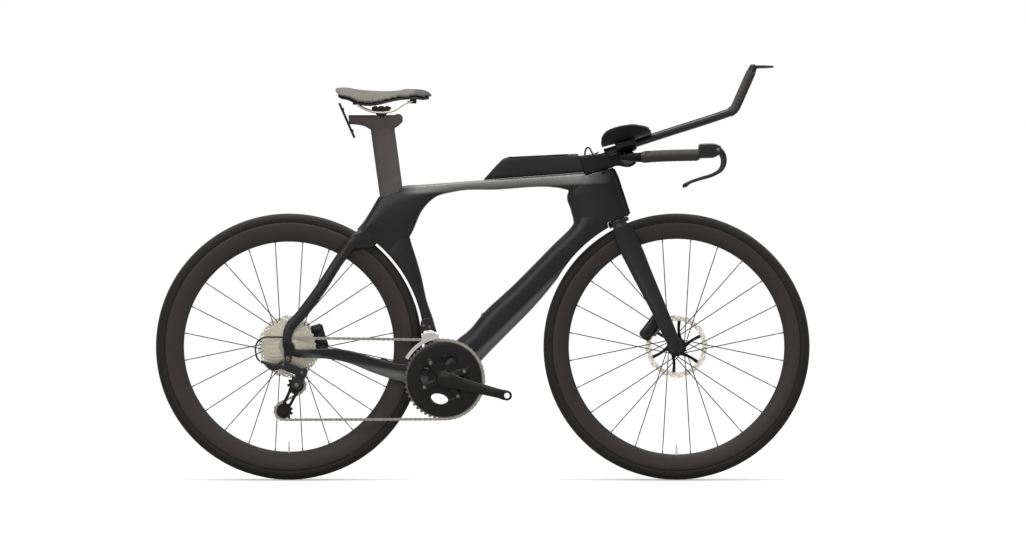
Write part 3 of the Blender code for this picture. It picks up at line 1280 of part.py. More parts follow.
def build_arm_rests():
    tilt = radians(CUP_ANGLE)
    along = Vector((cos(tilt), 0, sin(tilt)))
    above = Vector((-sin(tilt), 0, cos(tilt)))
    bridge_half = EXTENSION_SPACING / 2
    low = 19 + GAP
    bridge = make_object("arm_rest_bridge", block(at_bar(-19, low, -bridge_half),
                                                  at_bar(19, low + 8, bridge_half)), "black_alloy")
    mid_run = (0 - EXTENSION_START[0]) / cos(radians(EXTENSION_ANGLE))
    run = (extension_line(1) - extension_line(0)).normalized()
    arms, bores = [], []
    for sign in (1, -1):
        y = EXTENSION_SPACING / 2 * sign
        pad_y = PAD_SPACING / 2 * sign
        foot = at_bar(*CUP_START, pad_y)
        arms.append(cylinder(EXTENSION_RADIUS + 5, -22, 22, extension_line(mid_run, y), run, 12))
        middle = foot + along * 60 - above * (7 + GAP)
        middle.y = (y + pad_y + 14 * sign) / 2
        arms.append(slab(middle, along * 27, SIDE * abs(pad_y + 14 * sign - y) / 2, above * 7))
        bores.append(cylinder(EXTENSION_RADIUS + GAP + 0.2, -100, 100, extension_line(mid_run, y), run, 16))
    join(bridge, *arms)
    cut(bridge, *bores)
    for side, sign in (("left", 1), ("right", -1)):
        foot = at_bar(*CUP_START, PAD_SPACING / 2 * sign)
        for name, low, high, material in (
                ("arm_cup_", 0, CUP_THICKNESS, "black_plastic"),
                ("arm_pad_", CUP_THICKNESS + PAD_GAP, CUP_THICKNESS + PAD_THICKNESS, "pad_foam")):
            rings = []
            steps = 6
            for k in range(steps + 1):
                reach = CUP_LENGTH * k / steps
                rings.append([foot + along * reach + SIDE * y + above * z
                              for y, z in cup_section(reach, low, high)])
            make_object(name + side, layered(rings), material)
        y = EXTENSION_SPACING / 2 * sign
        end = extension_line(3, y)
        back = extension_line(-14, y)
        start = at_steer(-31, HEAD_LENGTH + 52.8) + SIDE * 9 * sign
        climb = [start + Vector((x, y * sign, z)) for x, y, z in
                 ((0, 0, 0), (1.2, 2.2, 9.2), (4.3, 8.1, 15.9), (8.6, 16.2, 18.4), (12.9, 24.4, 15.9),
                  (17.3, 32.8, 7.2))]
        fall = [back + Vector((x, y * sign, z)) for x, y, z in ((-12.6, -3.2, -1), (0, 0, 0))]
        cable("shift_hose_" + side, climb + fall + [end], CABLE_DIAMETER, "cable_housing", 1)


def build_cockpit():
    build_stem()
    build_base_bar()
    build_brakes()
    build_extensions()
    build_arm_rests()


# Seat

def build_seatpost():
    head_top = POST_HEAD_TOP
    stations = [
        (post_head(-84.5, 0), post_head(-82, -23), 0, 9), (post_head(-45, 0), post_head(-43, -29), 0, 10),
        (post_head(-26, 0), post_head(-26, -38), 0, 11), (post_head(30, 0), post_head(30, -36), 0, 11),
        (post_head(52, -1), post_head(50, -22), 0, 9), (post_head(55, -6), post_head(54, -18), 0, 7),
    ]
    post = make_object("seatpost", post_section(-POST_INSERTION, head_top - 22), "carbon_black")
    join(post, beam(stations, 12, 3.4))
    cut(post, cylinder(CRADLE_RADIUS + GAP, -40, 40, CRADLE_AXIS))
    # rear mounting plate on two lugs of the head
    plate_obj = make_object("rear_mount_plate", slab(post_head(-84.5 - 3.5, -14), REAR_PLATE_ALONG * 49,
                                                     SIDE * 20, REAR_PLATE_ALONG.cross(SIDE) * 3),
                            "black_alloy")
    lugs = beam(grown(stations[:2], GAP), 12, 3.4)
    cut(plate_obj, lugs)


def post_head(x, z):
    # from the middle of the cradle groove, forward, and up from the head's top face
    return Vector((CRADLE_AXIS.x + x, 0.0, CRADLE_AXIS.z - CRADLE_DROP + z))


def rail_path():
    half = RAIL_SPACING / 2
    z = RAIL_RISE
    points = [(-68, 28, half + 8), (-57, 16, half + 5), (-43, z, half), (40, z, half), (56, 19, half - 4),
              (68, 24, half - 10), (80, 26, 6), (83, 26.5, 0)]
    return [CRADLE_AXIS + Vector((x, y, dz)) for x, dz, y in points]


def saddle_station(x):
    # half width, top and lower edge of the saddle at a distance from the cradle's axis
    table = SADDLE_STATIONS
    for before, after in zip(table, table[1:]):
        if before[0] <= x <= after[0]:
            t = (x - before[0]) / (after[0] - before[0])
            return [a + (b - a) * t for a, b in zip(before[1:], after[1:])]
    return list(table[-1][1:])


def saddle_layer(low, high, inset, reach_in, count=3):
    rings = []
    for x, _, _, _ in SADDLE_STATIONS:
        first, last = SADDLE_STATIONS[0][0], SADDLE_STATIONS[-1][0]
        x = min(max(x, first + reach_in), last - reach_in)
        half, top, edge = saddle_station(x)
        half -= inset
        top_row, low_row = [], []
        for k in range(2 * count + 1):
            v = k / count - 1
            skin = top - (top - edge - SADDLE_SKIRT) * abs(v) ** 2.4
            thin = 1 - 0.45 * v * v
            top_row.append(Vector((CRADLE_AXIS.x + x, half * v, CRADLE_AXIS.z + skin - high * thin)))
            low_row.append(Vector((CRADLE_AXIS.x + x, half * v, CRADLE_AXIS.z + skin - low * thin)))
        rings.append(low_row + top_row[::-1])
    return layered(rings)


def build_saddle():
    rails = rail_path()
    loop = rails + [Vector((p.x, -p.y, p.z)) for p in rails[-2::-1]]
    make_object("saddle_rails", sweep(loop, (RAIL_RADIUS, RAIL_RADIUS), 6), "steel")
    pad = SADDLE_PAD_THICKNESS
    make_object("saddle_pad", saddle_layer(pad, 0, 0, 0), "saddle_cover")
    gap = 3 * GAP
    shell = make_object("saddle_shell", saddle_layer(pad + gap + SADDLE_SHELL_THICKNESS, pad + gap, 3, 8),
                        "black_plastic")
    # the shell's three sockets take the rails' two ends and their bend at the nose
    fit = RAIL_RADIUS + RAIL_FIT
    sockets = [block(CRADLE_AXIS + Vector((73, -11, 21)), CRADLE_AXIS + Vector((90, 11, 43)))]
    for sign in (1, -1):
        middle = rails[0].y * sign
        sockets.append(block(CRADLE_AXIS + Vector((-73, middle - 7, 18)),
                             CRADLE_AXIS + Vector((-61, middle + 7, 38))))
    join(shell, *sockets)
    ends = [loop[0] + (loop[0] - loop[1]).normalized() * RAIL_FIT,
            loop[-1] + (loop[-1] - loop[-2]).normalized() * RAIL_FIT]
    cut(shell, sweep(ends[:1] + loop[1:-1] + ends[1:], (fit, fit), 6))


def build_rail_clamp():
    axis = CRADLE_AXIS
    half = Vector((CRADLE_LENGTH / 2, CRADLE_WIDTH / 2, 0))
    clamp = make_object("rail_clamp", block(axis - half + Vector((0, 0, 1.5)),
                                            axis + half + Vector((0, 0, 12.5))), "black_alloy", axis)
    join(clamp, cylinder(CRADLE_RADIUS, -POST_WIDTH / 2, POST_WIDTH / 2, axis, segments=24))
    cut(clamp, block(axis + Vector((-30, -40, 12.5)), axis + Vector((30, 40, 40))))
    for sign in (1, -1):
        bore = axis + SIDE * RAIL_SPACING / 2 * sign + Vector((0, 0, RAIL_RISE))
        cut(clamp, cylinder(RAIL_RADIUS + GAP, -60, 60, bore, Vector((1, 0, 0)), 10))


for old in list(bpy.data.objects):
    bpy.data.objects.remove(old)
build_frame()
build_frame_fittings()
build_storage_box()
build_wheels()
build_drivetrain()
build_fork()
build_calipers()
build_cockpit()
build_seatpost()
build_rail_clamp()
build_saddle()
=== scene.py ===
# Looks of a time trial bike: smooth shells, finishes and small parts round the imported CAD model.
# +X is forward, +Y is the rider's left, +Z is up. Sizes and places are written in millimetres
# and turned into metres when a mesh is made.

from math import asin, atan2, cos, copysign, hypot, pi, radians, sin

import bmesh
import bpy
import numpy as np
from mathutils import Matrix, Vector
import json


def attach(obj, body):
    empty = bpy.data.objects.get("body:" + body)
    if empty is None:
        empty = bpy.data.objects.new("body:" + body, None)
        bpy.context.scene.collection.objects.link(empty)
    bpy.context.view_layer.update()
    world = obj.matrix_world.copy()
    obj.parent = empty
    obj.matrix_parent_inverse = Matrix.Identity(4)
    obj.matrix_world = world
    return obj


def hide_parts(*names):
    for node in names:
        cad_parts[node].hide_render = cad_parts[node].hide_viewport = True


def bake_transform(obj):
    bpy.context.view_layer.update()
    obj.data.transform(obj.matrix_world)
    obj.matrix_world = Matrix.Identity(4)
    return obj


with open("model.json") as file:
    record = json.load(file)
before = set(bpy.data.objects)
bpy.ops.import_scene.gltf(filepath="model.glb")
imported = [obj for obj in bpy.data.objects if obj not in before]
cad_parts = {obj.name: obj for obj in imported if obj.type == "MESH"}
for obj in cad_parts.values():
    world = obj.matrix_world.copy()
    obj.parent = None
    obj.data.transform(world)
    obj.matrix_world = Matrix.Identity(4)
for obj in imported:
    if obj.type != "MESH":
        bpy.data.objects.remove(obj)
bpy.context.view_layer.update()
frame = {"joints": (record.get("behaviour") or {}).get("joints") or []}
scene = bpy.context.scene
mm = 0.001
lengthways = Vector((1.0, 0.0, 0.0))
sideways = Vector((0.0, 1.0, 0.0))
upward = Vector((0.0, 0.0, 1.0))
unstretched = Vector((1.0, 1.0, 1.0))
sides = (("left", 1), ("right", -1))
joints = {row["name"]: row for row in frame["joints"]}


def jointPlace(name):
    return Vector(joints[name]["pos_m"]) / mm


def jointAxis(name):
    return Vector(joints[name]["axis"]).normalized()


rearAxle = jointPlace("rear_wheel_spin")
frontAxle = jointPlace("front_wheel_spin")
crankAxle = jointPlace("crank_spin")
crownTop = jointPlace("steer")
steerUp = jointAxis("steer")
steerForward = Vector((steerUp.z, 0.0, -steerUp.x))
cradleAxis = jointPlace("saddle_tilt")
postUp = jointAxis("seatpost_slide")
postForward = Vector((postUp.z, 0.0, -postUp.x))
barClamp = frontAxle + Vector((-127.0, 0.0, 480.0))


def atRear(x, z, y=0.0):
    return rearAxle + Vector((x, y, z))


def atFront(x, z, y=0.0):
    return frontAxle + Vector((x, y, z))


def atCrank(x, z, y=0.0):
    return crankAxle + Vector((x, y, z))


def atSteer(forward, up, y=0.0):
    return crownTop + steerUp * up + steerForward * forward + sideways * y


def atBar(x, z, y=0.0):
    return barClamp + Vector((x, y, z))


def polar(centre, radius, angle, y=0.0):
    turn = radians(angle)
    return centre + Vector((radius * cos(turn), y, radius * sin(turn)))


# Camera, at the photograph's straight side view

cameraView = {"aim": Vector((77.3, 0.0, 530.6)), "distance": 60000.0, "viewWidth": 2621.0}
lens = bpy.data.cameras.new("camera")
lens.sensor_width = 36.0
lens.lens = 36.0 * cameraView["distance"] / cameraView["viewWidth"]
lens.clip_end = 400.0
camera = bpy.data.objects.new("camera", lens)
camera.location = (cameraView["aim"] - sideways * cameraView["distance"]) * mm
camera.rotation_euler = (radians(90), 0.0, 0.0)
scene.collection.objects.link(camera)
scene.camera = camera
scene.view_settings.view_transform = "Standard"
print("camera set")


# Shader and geometry nodes

def addNode(tree, kind, settings=None, inputs=None):
    # inputs are values, or sockets of other nodes to link
    node = tree.nodes.new(kind)
    for key, value in (settings or {}).items():
        setattr(node, key, value)
    for key, value in (inputs or {}).items():
        if isinstance(value, bpy.types.NodeSocket):
            tree.links.new(value, node.inputs[key])
        else:
            node.inputs[key].default_value = value
    return node


def newMaterial(name, colour, roughness, metallic=0.0, specular=0.5, coat=0.0, coatRoughness=0.1):
    material = bpy.data.materials.new(name)
    material.use_nodes = True
    tree = material.node_tree
    shader = tree.nodes["Principled BSDF"]
    shader.inputs["Base Color"].default_value = (*colour, 1.0)
    shader.inputs["Roughness"].default_value = roughness
    shader.inputs["Metallic"].default_value = metallic
    shader.inputs["Specular IOR Level"].default_value = specular
    shader.inputs["Coat Weight"].default_value = coat
    shader.inputs["Coat Roughness"].default_value = coatRoughness
    material.diffuse_color = (*colour, 1.0)
    return material, tree, shader


def coordinates(tree, kind="Object", scale=(1.0, 1.0, 1.0)):
    source = addNode(tree, "ShaderNodeTexCoord")
    mapping = addNode(tree, "ShaderNodeMapping", inputs={"Vector": source.outputs[kind], "Scale": scale})
    return mapping.outputs["Vector"]


def noise(tree, vector, scale, detail=3.0, roughness=0.55):
    node = addNode(tree, "ShaderNodeTexNoise", inputs={"Vector": vector, "Scale": scale, "Detail": detail,
                                                        "Roughness": roughness})
    return node.outputs["Fac"]


def ranged(tree, value, low, high, newLow, newHigh):
    node = addNode(tree, "ShaderNodeMapRange", inputs={"Value": value, "From Min": low, "From Max": high,
                                                        "To Min": newLow, "To Max": newHigh})
    return node.outputs["Result"]


def calculate(tree, operation, first, second=0.0, third=0.0):
    node = addNode(tree, "ShaderNodeMath", {"operation": operation}, {0: first, 1: second, 2: third})
    return node.outputs[0]


def blendColours(tree, share, first, second):
    node = addNode(tree, "ShaderNodeMix", {"data_type": "RGBA"})
    for key, value in ((0, share), (6, first), (7, second)):
        if isinstance(value, bpy.types.NodeSocket):
            tree.links.new(value, node.inputs[key])
        else:
            node.inputs[key].default_value = (*value, 1.0) if key else value
    return node.outputs[2]


def addBump(tree, shader, height, strength, distance):
    node = addNode(tree, "ShaderNodeBump", inputs={"Height": height, "Strength": strength,
                                                    "Distance": distance * mm})
    tree.links.new(node.outputs["Normal"], shader.inputs["Normal"])


def mixed(tree, first, second, share):
    # the first value by its share and the second by the rest
    return calculate(tree, "MULTIPLY_ADD", first, share, calculate(tree, "MULTIPLY", second, 1 - share))


def varied(tree, shader, colour, share, spread, roughness, roughSpread):
    # colour and roughness that drift a little with a texture's value
    light = tuple(c * (1 + spread) for c in colour)
    dark = tuple(c * (1 - spread) for c in colour)
    tree.links.new(blendColours(tree, share, dark, light), shader.inputs["Base Color"])
    rough = ranged(tree, share, 0.3, 0.7, roughness - roughSpread, roughness + roughSpread)
    tree.links.new(rough, shader.inputs["Roughness"])


def paintFinish(name, colour, roughness=0.36, coat=0.12):
    # satin paint with a fine metallic flake under a thin clear coat
    material, tree, shader = newMaterial(name, colour, roughness, specular=0.11, coat=coat, coatRoughness=0.2)
    where = coordinates(tree)
    drift = noise(tree, where, 9.0, 2.0)
    flake = addNode(tree, "ShaderNodeTexVoronoi", inputs={"Vector": where, "Scale": 2600.0})
    sparkle = ranged(tree, flake.outputs["Distance"], 0.0, 0.25, 1.0, 0.0)
    share = calculate(tree, "MULTIPLY_ADD", sparkle, 0.35, drift)
    varied(tree, shader, colour, share, 0.22, roughness, 0.03)
    addBump(tree, shader, noise(tree, where, 420.0, 2.0), 0.08, 0.05)
    return material, tree, shader


def underLine(tree, where, start, end, above, below, firstX, lastX):
    # one below a line seen from the side and nought above it, between two places along X
    along = (end - start).normalized()
    up = Vector((-along.z, 0.0, along.x))
    height = addNode(tree, "ShaderNodeVectorMath", {"operation": "DOT_PRODUCT"}, {0: where, 1: up})
    line = up.dot(start)
    under = ranged(tree, height.outputs["Value"], (line - below) * mm, (line + above) * mm, 1.0, 0.0)
    forward = addNode(tree, "ShaderNodeSeparateXYZ", inputs={"Vector": where}).outputs["X"]
    opens = ranged(tree, forward, firstX * mm, (firstX + 40) * mm, 0.0, 1.0)
    closes = ranged(tree, forward, (lastX - 90) * mm, lastX * mm, 1.0, 0.0)
    return calculate(tree, "MULTIPLY", under, calculate(tree, "MULTIPLY", opens, closes))


def framePaintWithHighlight(name, colour, light):
    # the paint is lighter low on the down tube and the chain stays, and a painted highlight runs along the
    # side of the top tube
    material, tree, shader = paintFinish(name, colour)
    where = coordinates(tree)
    down = underLine(tree, where, atCrank(125.3, 137.9), atCrank(198.6, 209.3), -16.0, 26.0, crankAxle.x - 40,
                     crankAxle.x + 420)
    # painted highlight: a light band along the top tube's side
    top = underLine(tree, where, atCrank(330, 497), atCrank(20, 479), 2.0, 5.0, crankAxle.x - 110,
                    crankAxle.x + 430)
    stay = underLine(tree, where, atRear(52, -17), atCrank(-70, 12.5), 3.0, 9.0, rearAxle.x + 30,
                     crankAxle.x + 80)
    share = calculate(tree, "MAXIMUM", calculate(tree, "MAXIMUM", down, stay), top)
    dark = shader.inputs["Base Color"].links[0].from_socket
    tree.links.new(blendColours(tree, share, dark, light), shader.inputs["Base Color"])
    return material


def carbonFinish(name, colour, roughness=0.42, specular=0.35, coat=0.0, fibres=(900.0, 120.0, 900.0)):
    # unidirectional carbon under a matt lacquer: long faint fibres across a mottled ground
    material, tree, shader = newMaterial(name, colour, roughness, specular=specular, coat=coat,
                                         coatRoughness=0.25)
    fibre = noise(tree, coordinates(tree, scale=fibres), 1.0, 3.0, 0.6)
    mottle = noise(tree, coordinates(tree), 28.0, 3.0)
    share = mixed(tree, fibre, mottle, 0.5)
    varied(tree, shader, colour, share, 0.3, roughness, 0.06)
    addBump(tree, shader, fibre, 0.12, 0.04)
    return material


def metalFinish(name, colour, roughness, metallic=1.0, grain=(1.0, 1.0, 1.0), scale=900.0, specular=0.5,
                spread=0.12):
    # blasted or brushed metal: grain stretches the texture along the direction of the brushing
    material, tree, shader = newMaterial(name, colour, roughness, metallic, specular)
    brushed = noise(tree, coordinates(tree, scale=grain), scale, 3.0, 0.6)
    stain = noise(tree, coordinates(tree), 45.0, 4.0)
    share = mixed(tree, brushed, stain, 0.45)
    varied(tree, shader, colour, share, spread, roughness, 0.07)
    addBump(tree, shader, brushed, 0.15, 0.03)
    return material


def turnedSteel(name, colour, roughness=0.3):
    # steel ground in rings: the piece's own UV map runs round it and across it
    material, tree, shader = newMaterial(name, colour, roughness, 1.0)
    rings = noise(tree, coordinates(tree, "UV", (3.0, 260.0, 1.0)), 1.0, 3.0, 0.65)
    stain = noise(tree, coordinates(tree), 70.0, 4.0)
    share = mixed(tree, rings, stain, 0.5)
    varied(tree, shader, colour, share, 0.16, roughness, 0.08)
    addBump(tree, shader, rings, 0.2, 0.03)
    return material


def plasticFinish(name, colour, roughness=0.55, specular=0.3, grain=1500.0, depth=0.06):
    # moulded plastic with a spark-eroded grain
    material, tree, shader = newMaterial(name, colour, roughness, specular=specular)
    where = coordinates(tree)
    speckle = noise(tree, where, grain, 2.0, 0.7)
    drift = noise(tree, where, 16.0, 3.0)
    varied(tree, shader, colour, drift, 0.14, roughness, 0.05)
    addBump(tree, shader, speckle, 0.3, depth)
    return material


finishes = {
    # the lighter colour fills the bands low on the down tube and chain stays, and the painted highlight along
    # the top tube
    "frame": framePaintWithHighlight("charcoal_paint", (0.0075, 0.0071, 0.0075), (0.125, 0.123, 0.121)),
    "fork": paintFinish("fork_paint", (0.0105, 0.010, 0.0104))[0],
    "carbon": carbonFinish("satin_carbon", (0.0062, 0.006, 0.0058), 0.4, 0.1),
    "bar": carbonFinish("bar_carbon", (0.0055, 0.0053, 0.0052), 0.55, 0.04),
    "post": carbonFinish("post_carbon", (0.060, 0.054, 0.049), 0.55, 0.2, fibres=(120.0, 900.0, 900.0)),
    "rim": carbonFinish("rim_carbon", (0.020, 0.0165, 0.014), 0.5, 0.2),
    "alloy": metalFinish("black_anodised", (0.007, 0.0068, 0.0066), 0.36, 0.1, specular=0.14),
    "bolt": metalFinish("bolt_steel", (0.10, 0.098, 0.095), 0.36, 1.0),
    "steel": metalFinish("nickel_steel", (0.44, 0.41, 0.355), 0.32, 1.0),
    "silver": metalFinish("polished_alloy", (0.38, 0.37, 0.345), 0.3, 1.0),
    "cog": turnedSteel("cog_steel", (0.34, 0.325, 0.265), 0.36),
    "rotor": turnedSteel("rotor_steel", (0.52, 0.49, 0.43), 0.38),
    "plastic": plasticFinish("black_plastic", (0.0085, 0.0083, 0.0083), specular=0.16),
    "rubber": plasticFinish("soft_rubber", (0.009, 0.009, 0.009), 0.75, 0.12, 900.0, 0.1),
    "hose": plasticFinish("hose_sleeve", (0.007, 0.007, 0.007), 0.35, 0.25, 500.0, 0.03),
    "gloss": plasticFinish("gloss_moulding", (0.006, 0.006, 0.006), 0.26, 0.24, 600.0, 0.02),
    "satin": carbonFinish("extension_carbon", (0.0085, 0.0082, 0.008), 0.28, 0.22),
    "crank": metalFinish("satin_crank", (0.0065, 0.0062, 0.0058), 0.32, 0.1, specular=0.13, spread=0.18),
    "ringEdge": metalFinish("ring_edge", (0.07, 0.067, 0.063), 0.34, 0.8),
    "chain": metalFinish("chain_nickel", (0.20, 0.188, 0.168), 0.38, 1.0),
    "chainDark": metalFinish("chain_roller", (0.06, 0.057, 0.052), 0.42, 1.0),
}
print("plain finishes made:", len(finishes))


# Meshes

def newObject(name, mesh):
    obj = bpy.data.objects.new(name, mesh)
    scene.collection.objects.link(obj)
    return obj


def newPiece(name, bm, material, sharp=38.0):
    for vert in bm.verts:
        vert.co *= mm
    bmesh.ops.remove_doubles(bm, verts=bm.verts, dist=1e-6)
    bmesh.ops.recalc_face_normals(bm, faces=bm.faces)
    mesh = bpy.data.meshes.new(name)
    bm.to_mesh(mesh)
    bm.free()
    mesh.materials.append(material)
    mesh.shade_smooth()
    mesh.set_sharp_from_angle(angle=radians(sharp))
    return newObject(name, mesh)


def settled(obj, smooth=True):
    # what the object's modifiers make becomes its plain mesh
    bpy.context.view_layer.update()
    made = bpy.data.meshes.new_from_object(obj.evaluated_get(bpy.context.evaluated_depsgraph_get()))
    old = obj.data
    obj.modifiers.clear()
    obj.data = made
    made.name = obj.name
    if not made.materials and old.materials:
        made.materials.append(old.materials[0])
    bpy.data.meshes.remove(old)
    if smooth:
        made.shade_smooth()
    return obj


def removed(obj):
    mesh = obj.data
    bpy.data.objects.remove(obj)
    bpy.data.meshes.remove(mesh)


def place(piece, body, slotName, *replaced):
    # the piece rides on a body and stands for CAD nodes, which it hides; slotName is not used
    if replaced:
        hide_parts(*replaced)
    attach(piece, body)


def addPiece(name, bm, finish, body, slotName, *replaced, sharp=38.0):
    place(newPiece(name, bm, finishes[finish], sharp), body, slotName, *replaced)


def loft(rings, closed=False, caps=True, roundFirst=False):
    # skin over rings of points, with a UV map that runs along and round it, or round it first
    bm = bmesh.new()
    uv = bm.loops.layers.uv.new("UVMap")
    rows = [[bm.verts.new(point) for point in ring] for ring in rings]
    count = len(rows[0])
    spans = len(rows) if closed else len(rows) - 1
    for i in range(spans):
        low, high = rows[i], rows[(i + 1) % len(rows)]
        for j in range(count):
            k = (j + 1) % count
            face = bm.faces.new((low[j], low[k], high[k], high[j]))
            corners = ((i, j), (i, j + 1), (i + 1, j + 1), (i + 1, j))
            for loop, (along, around) in zip(face.loops, corners):
                spot = (along / spans, around / count)
                loop[uv].uv = spot[::-1] if roundFirst else spot
    if caps and not closed:
        bm.faces.new(rows[0][::-1])
        bm.faces.new(rows[-1])
    return bm


def joined(*meshes):
    # several bmeshes as one
    whole = bmesh.new()
    for bm in meshes:
        mesh = bpy.data.meshes.new("part")
        bm.to_mesh(mesh)
        bm.free()
        whole.from_mesh(mesh)
        bpy.data.meshes.remove(mesh)
    return whole


def ovalRing(centre, halfA, halfB, count=40, power=2.0):
    ring = []
    for i in range(count):
        angle = 2 * pi * i / count
        a = copysign(abs(cos(angle)) ** (2 / power), cos(angle))
        b = copysign(abs(sin(angle)) ** (2 / power), sin(angle))
        ring.append(centre + halfA * a + halfB * b)
    return ring


def easedRows(rows, steps=8):
    # a smooth curve through rows of numbers, whose first three are a place
    rows = np.array(rows, float)
    gaps = np.linalg.norm(np.diff(rows[:, :3], axis=0), axis=1)[:, None] + 1e-9
    slopes = np.diff(rows, axis=0) / gaps
    tangents = np.empty_like(rows)
    tangents[0], tangents[-1] = slopes[0], slopes[-1]
    share = gaps[1:] / (gaps[1:] + gaps[:-1])
    tangents[1:-1] = slopes[:-1] * share + slopes[1:] * (1 - share)
    made = []
    for i, gap in enumerate(gaps):
        for k in range(steps):
            t = k / steps
            made.append((2 * t ** 3 - 3 * t ** 2 + 1) * rows[i]
                        + (t ** 3 - 2 * t ** 2 + t) * gap * tangents[i]
                        + (3 * t ** 2 - 2 * t ** 3) * rows[i + 1]
                        + (t ** 3 - t ** 2) * gap * tangents[i + 1])
    made.append(rows[-1])
    return made


def smoothBeam(stations, steps=6, count=40, power=2.6):
    # a tube seen from the side: each station has two edge points, its middle in Y and its half width
    rows = [(*((a + b) / 2 + sideways * y), *(a - b), w) for a, b, y, w in stations]
    rings = []
    for row in easedRows(rows, steps):
        rings.append(ovalRing(Vector(row[:3]), Vector(row[3:6]) / 2, sideways * row[6], count, power))
    return loft(rings)


def smoothSweep(points, sizes, steps=8, count=24, power=2.0, side=None, closed=False):
    # a section carried along a curve through the points; sizes are (half height, half width)
    if not isinstance(sizes, list):
        sizes = [sizes] * len(points)
    rows = easedRows([(*p, *s) for p, s in zip(points, sizes)], steps)
    path = [Vector(row[:3]) for row in rows]
    if closed:
        path, rows = path[:-1], rows[:-1]
    rings = []
    last = len(path) - 1
    for i, point in enumerate(path):
        if closed:
            ahead = path[(i + 1) % len(path)] - path[i - 1]
        else:
            ahead = path[min(i + 1, last)] - path[max(i - 1, 0)]
        ahead.normalize()
        across = side or ahead.cross(upward).normalized()
        above = across.cross(ahead).normalized()
        rings.append(ovalRing(point, above * rows[i][3], across * rows[i][4], count, power))
    return loft(rings, closed)


def framed(line, side):
    # each point of a line, with two directions across it that turn no more than the line does
    made = []
    last = len(line) - 1
    for i, point in enumerate(line):
        ahead = (line[min(i + 1, last)] - line[max(i - 1, 0)]).normalized()
        side = (side - ahead * side.dot(ahead)).normalized()
        made.append((point, side, ahead.cross(side)))
    return made


def easedLine(points, steps):
    return [Vector(row) for row in easedRows([tuple(p) for p in points], steps)]


def roundTube(line, radius, side=upward, count=20):
    return loft([ovalRing(p, across * radius, above * radius, count)
                 for p, across, above in framed(line, side)])


def turned(profile, centre, axis=sideways, segments=96):
    # profile points are (radius, distance along the axis); a profile that starts on the axis is solid,
    # and any other closes on itself as a ring
    helper = upward if abs(axis.z) < 0.9 else lengthways
    across = axis.cross(helper).normalized()
    above = across.cross(axis).normalized()
    bm = bmesh.new()
    uv = bm.loops.layers.uv.new("UVMap")
    rows = []
    for radius, along in profile:
        if radius == 0:
            rows.append([bm.verts.new(centre + axis * along)] * segments)
            continue
        rows.append([bm.verts.new(centre + axis * along + (above * cos(2 * pi * i / segments)
                                  + across * sin(2 * pi * i / segments)) * radius) for i in range(segments)])
    spans = len(rows) if profile[0][0] > 0 else len(rows) - 1
    for r in range(spans):
        low, high = rows[r], rows[(r + 1) % len(rows)]
        for i in range(segments):
            j = (i + 1) % segments
            corners = {}
            for vert, spot in ((low[i], (i, r)), (low[j], (i + 1, r)), (high[j], (i + 1, r + 1)),
                               (high[i], (i, r + 1))):
                corners.setdefault(vert, spot)
            if len(corners) < 3:
                continue
            face = bm.faces.new(list(corners))
            for loop in face.loops:
                around, along = corners[loop.vert]
                loop[uv].uv = (around / segments, along / spans)
    return bm


def disc(radius, low, high, centre, axis=sideways, segments=48, edge=0.0):
    # a cylinder with its rims eased by a small chamfer
    profile = [(0, low), (radius - edge, low), (radius, low + edge), (radius, high - edge),
               (radius - edge, high), (0, high)]
    return turned(profile, centre, axis, segments)


def flatPlate(outline, yLow, yHigh):
    return loft([[Vector((p.x, y, p.z)) for p in outline] for y in (yLow, yHigh)])


def slab(centre, halfA, halfB, halfC):
    # a plain box, given by three half edges
    corners = ((-1, -1), (1, -1), (1, 1), (-1, 1))
    return loft([[centre + halfC * sign + halfA * a + halfB * b for a, b in corners] for sign in (-1, 1)])


def block(centre, axis, wayA, halfA, wayB, halfB, rows, count=64, power=9.0):
    # a rounded block: each row is a place along the axis and how far the outline is drawn in there
    return loft([ovalRing(centre + axis * along, wayA * (halfA - inset), wayB * (halfB - inset), count, power)
                 for along, inset in rows])


def addCut(obj, tool, operation="DIFFERENCE"):
    modifier = obj.modifiers.new("cut", "BOOLEAN")
    modifier.operation = operation
    modifier.solver = "EXACT"
    modifier.object = tool


def carved(obj, *cutters, sharp=None):
    # each cutter is a bmesh in millimetres, used up by its cut
    for bm in cutters:
        tool = newPiece("cutter", bm, finishes["plastic"])
        addCut(obj, tool)
        settled(obj, smooth=False)
        removed(tool)
    if sharp:
        obj.data.shade_smooth()
        obj.data.set_sharp_from_angle(angle=radians(sharp))
    return obj


def overlaps(first, second):
    for axis in range(3):
        a = [corner[axis] for corner in first.bound_box]
        b = [corner[axis] for corner in second.bound_box]
        if max(a) < min(b) or max(b) < min(a):
            return False
    return True


def moulded(name, shells, cutters, material, voxel, passes=10):
    # closed shells, each cut where a cutter meets it, grown together into one skin and relaxed
    tools = [newPiece("cutter", bm, material) for bm in cutters]
    bodies = []
    for bm in shells:
        body = newPiece("shell", bm, material)
        for tool in tools:
            if overlaps(body, tool):
                addCut(body, tool)
        bodies.append(settled(body, smooth=False))
    whole = bmesh.new()
    for body in bodies:
        whole.from_mesh(body.data)
    mesh = bpy.data.meshes.new(name)
    whole.to_mesh(mesh)
    whole.free()
    mesh.materials.clear()
    mesh.materials.append(material)
    for obj in bodies + tools:
        removed(obj)
    skin = newObject(name, mesh)
    grow = skin.modifiers.new("grow", "REMESH")
    grow.mode = "VOXEL"
    grow.voxel_size = voxel * mm
    relax = skin.modifiers.new("relax", "SMOOTH")
    relax.factor = 0.5
    relax.iterations = passes
    return settled(skin)


def grownStations(stations, margin):
    made = []
    for a, b, y, w in stations:
        edge = (a - b).normalized() * margin
        made.append((a + edge, b - edge, y, w + margin))
    return made


def mirroredStations(stations):
    return [(a, b, -y, w) for a, b, y, w in stations]


def pairOf(build):
    # the same shape on the left and on the right
    return [build(1), build(-1)]


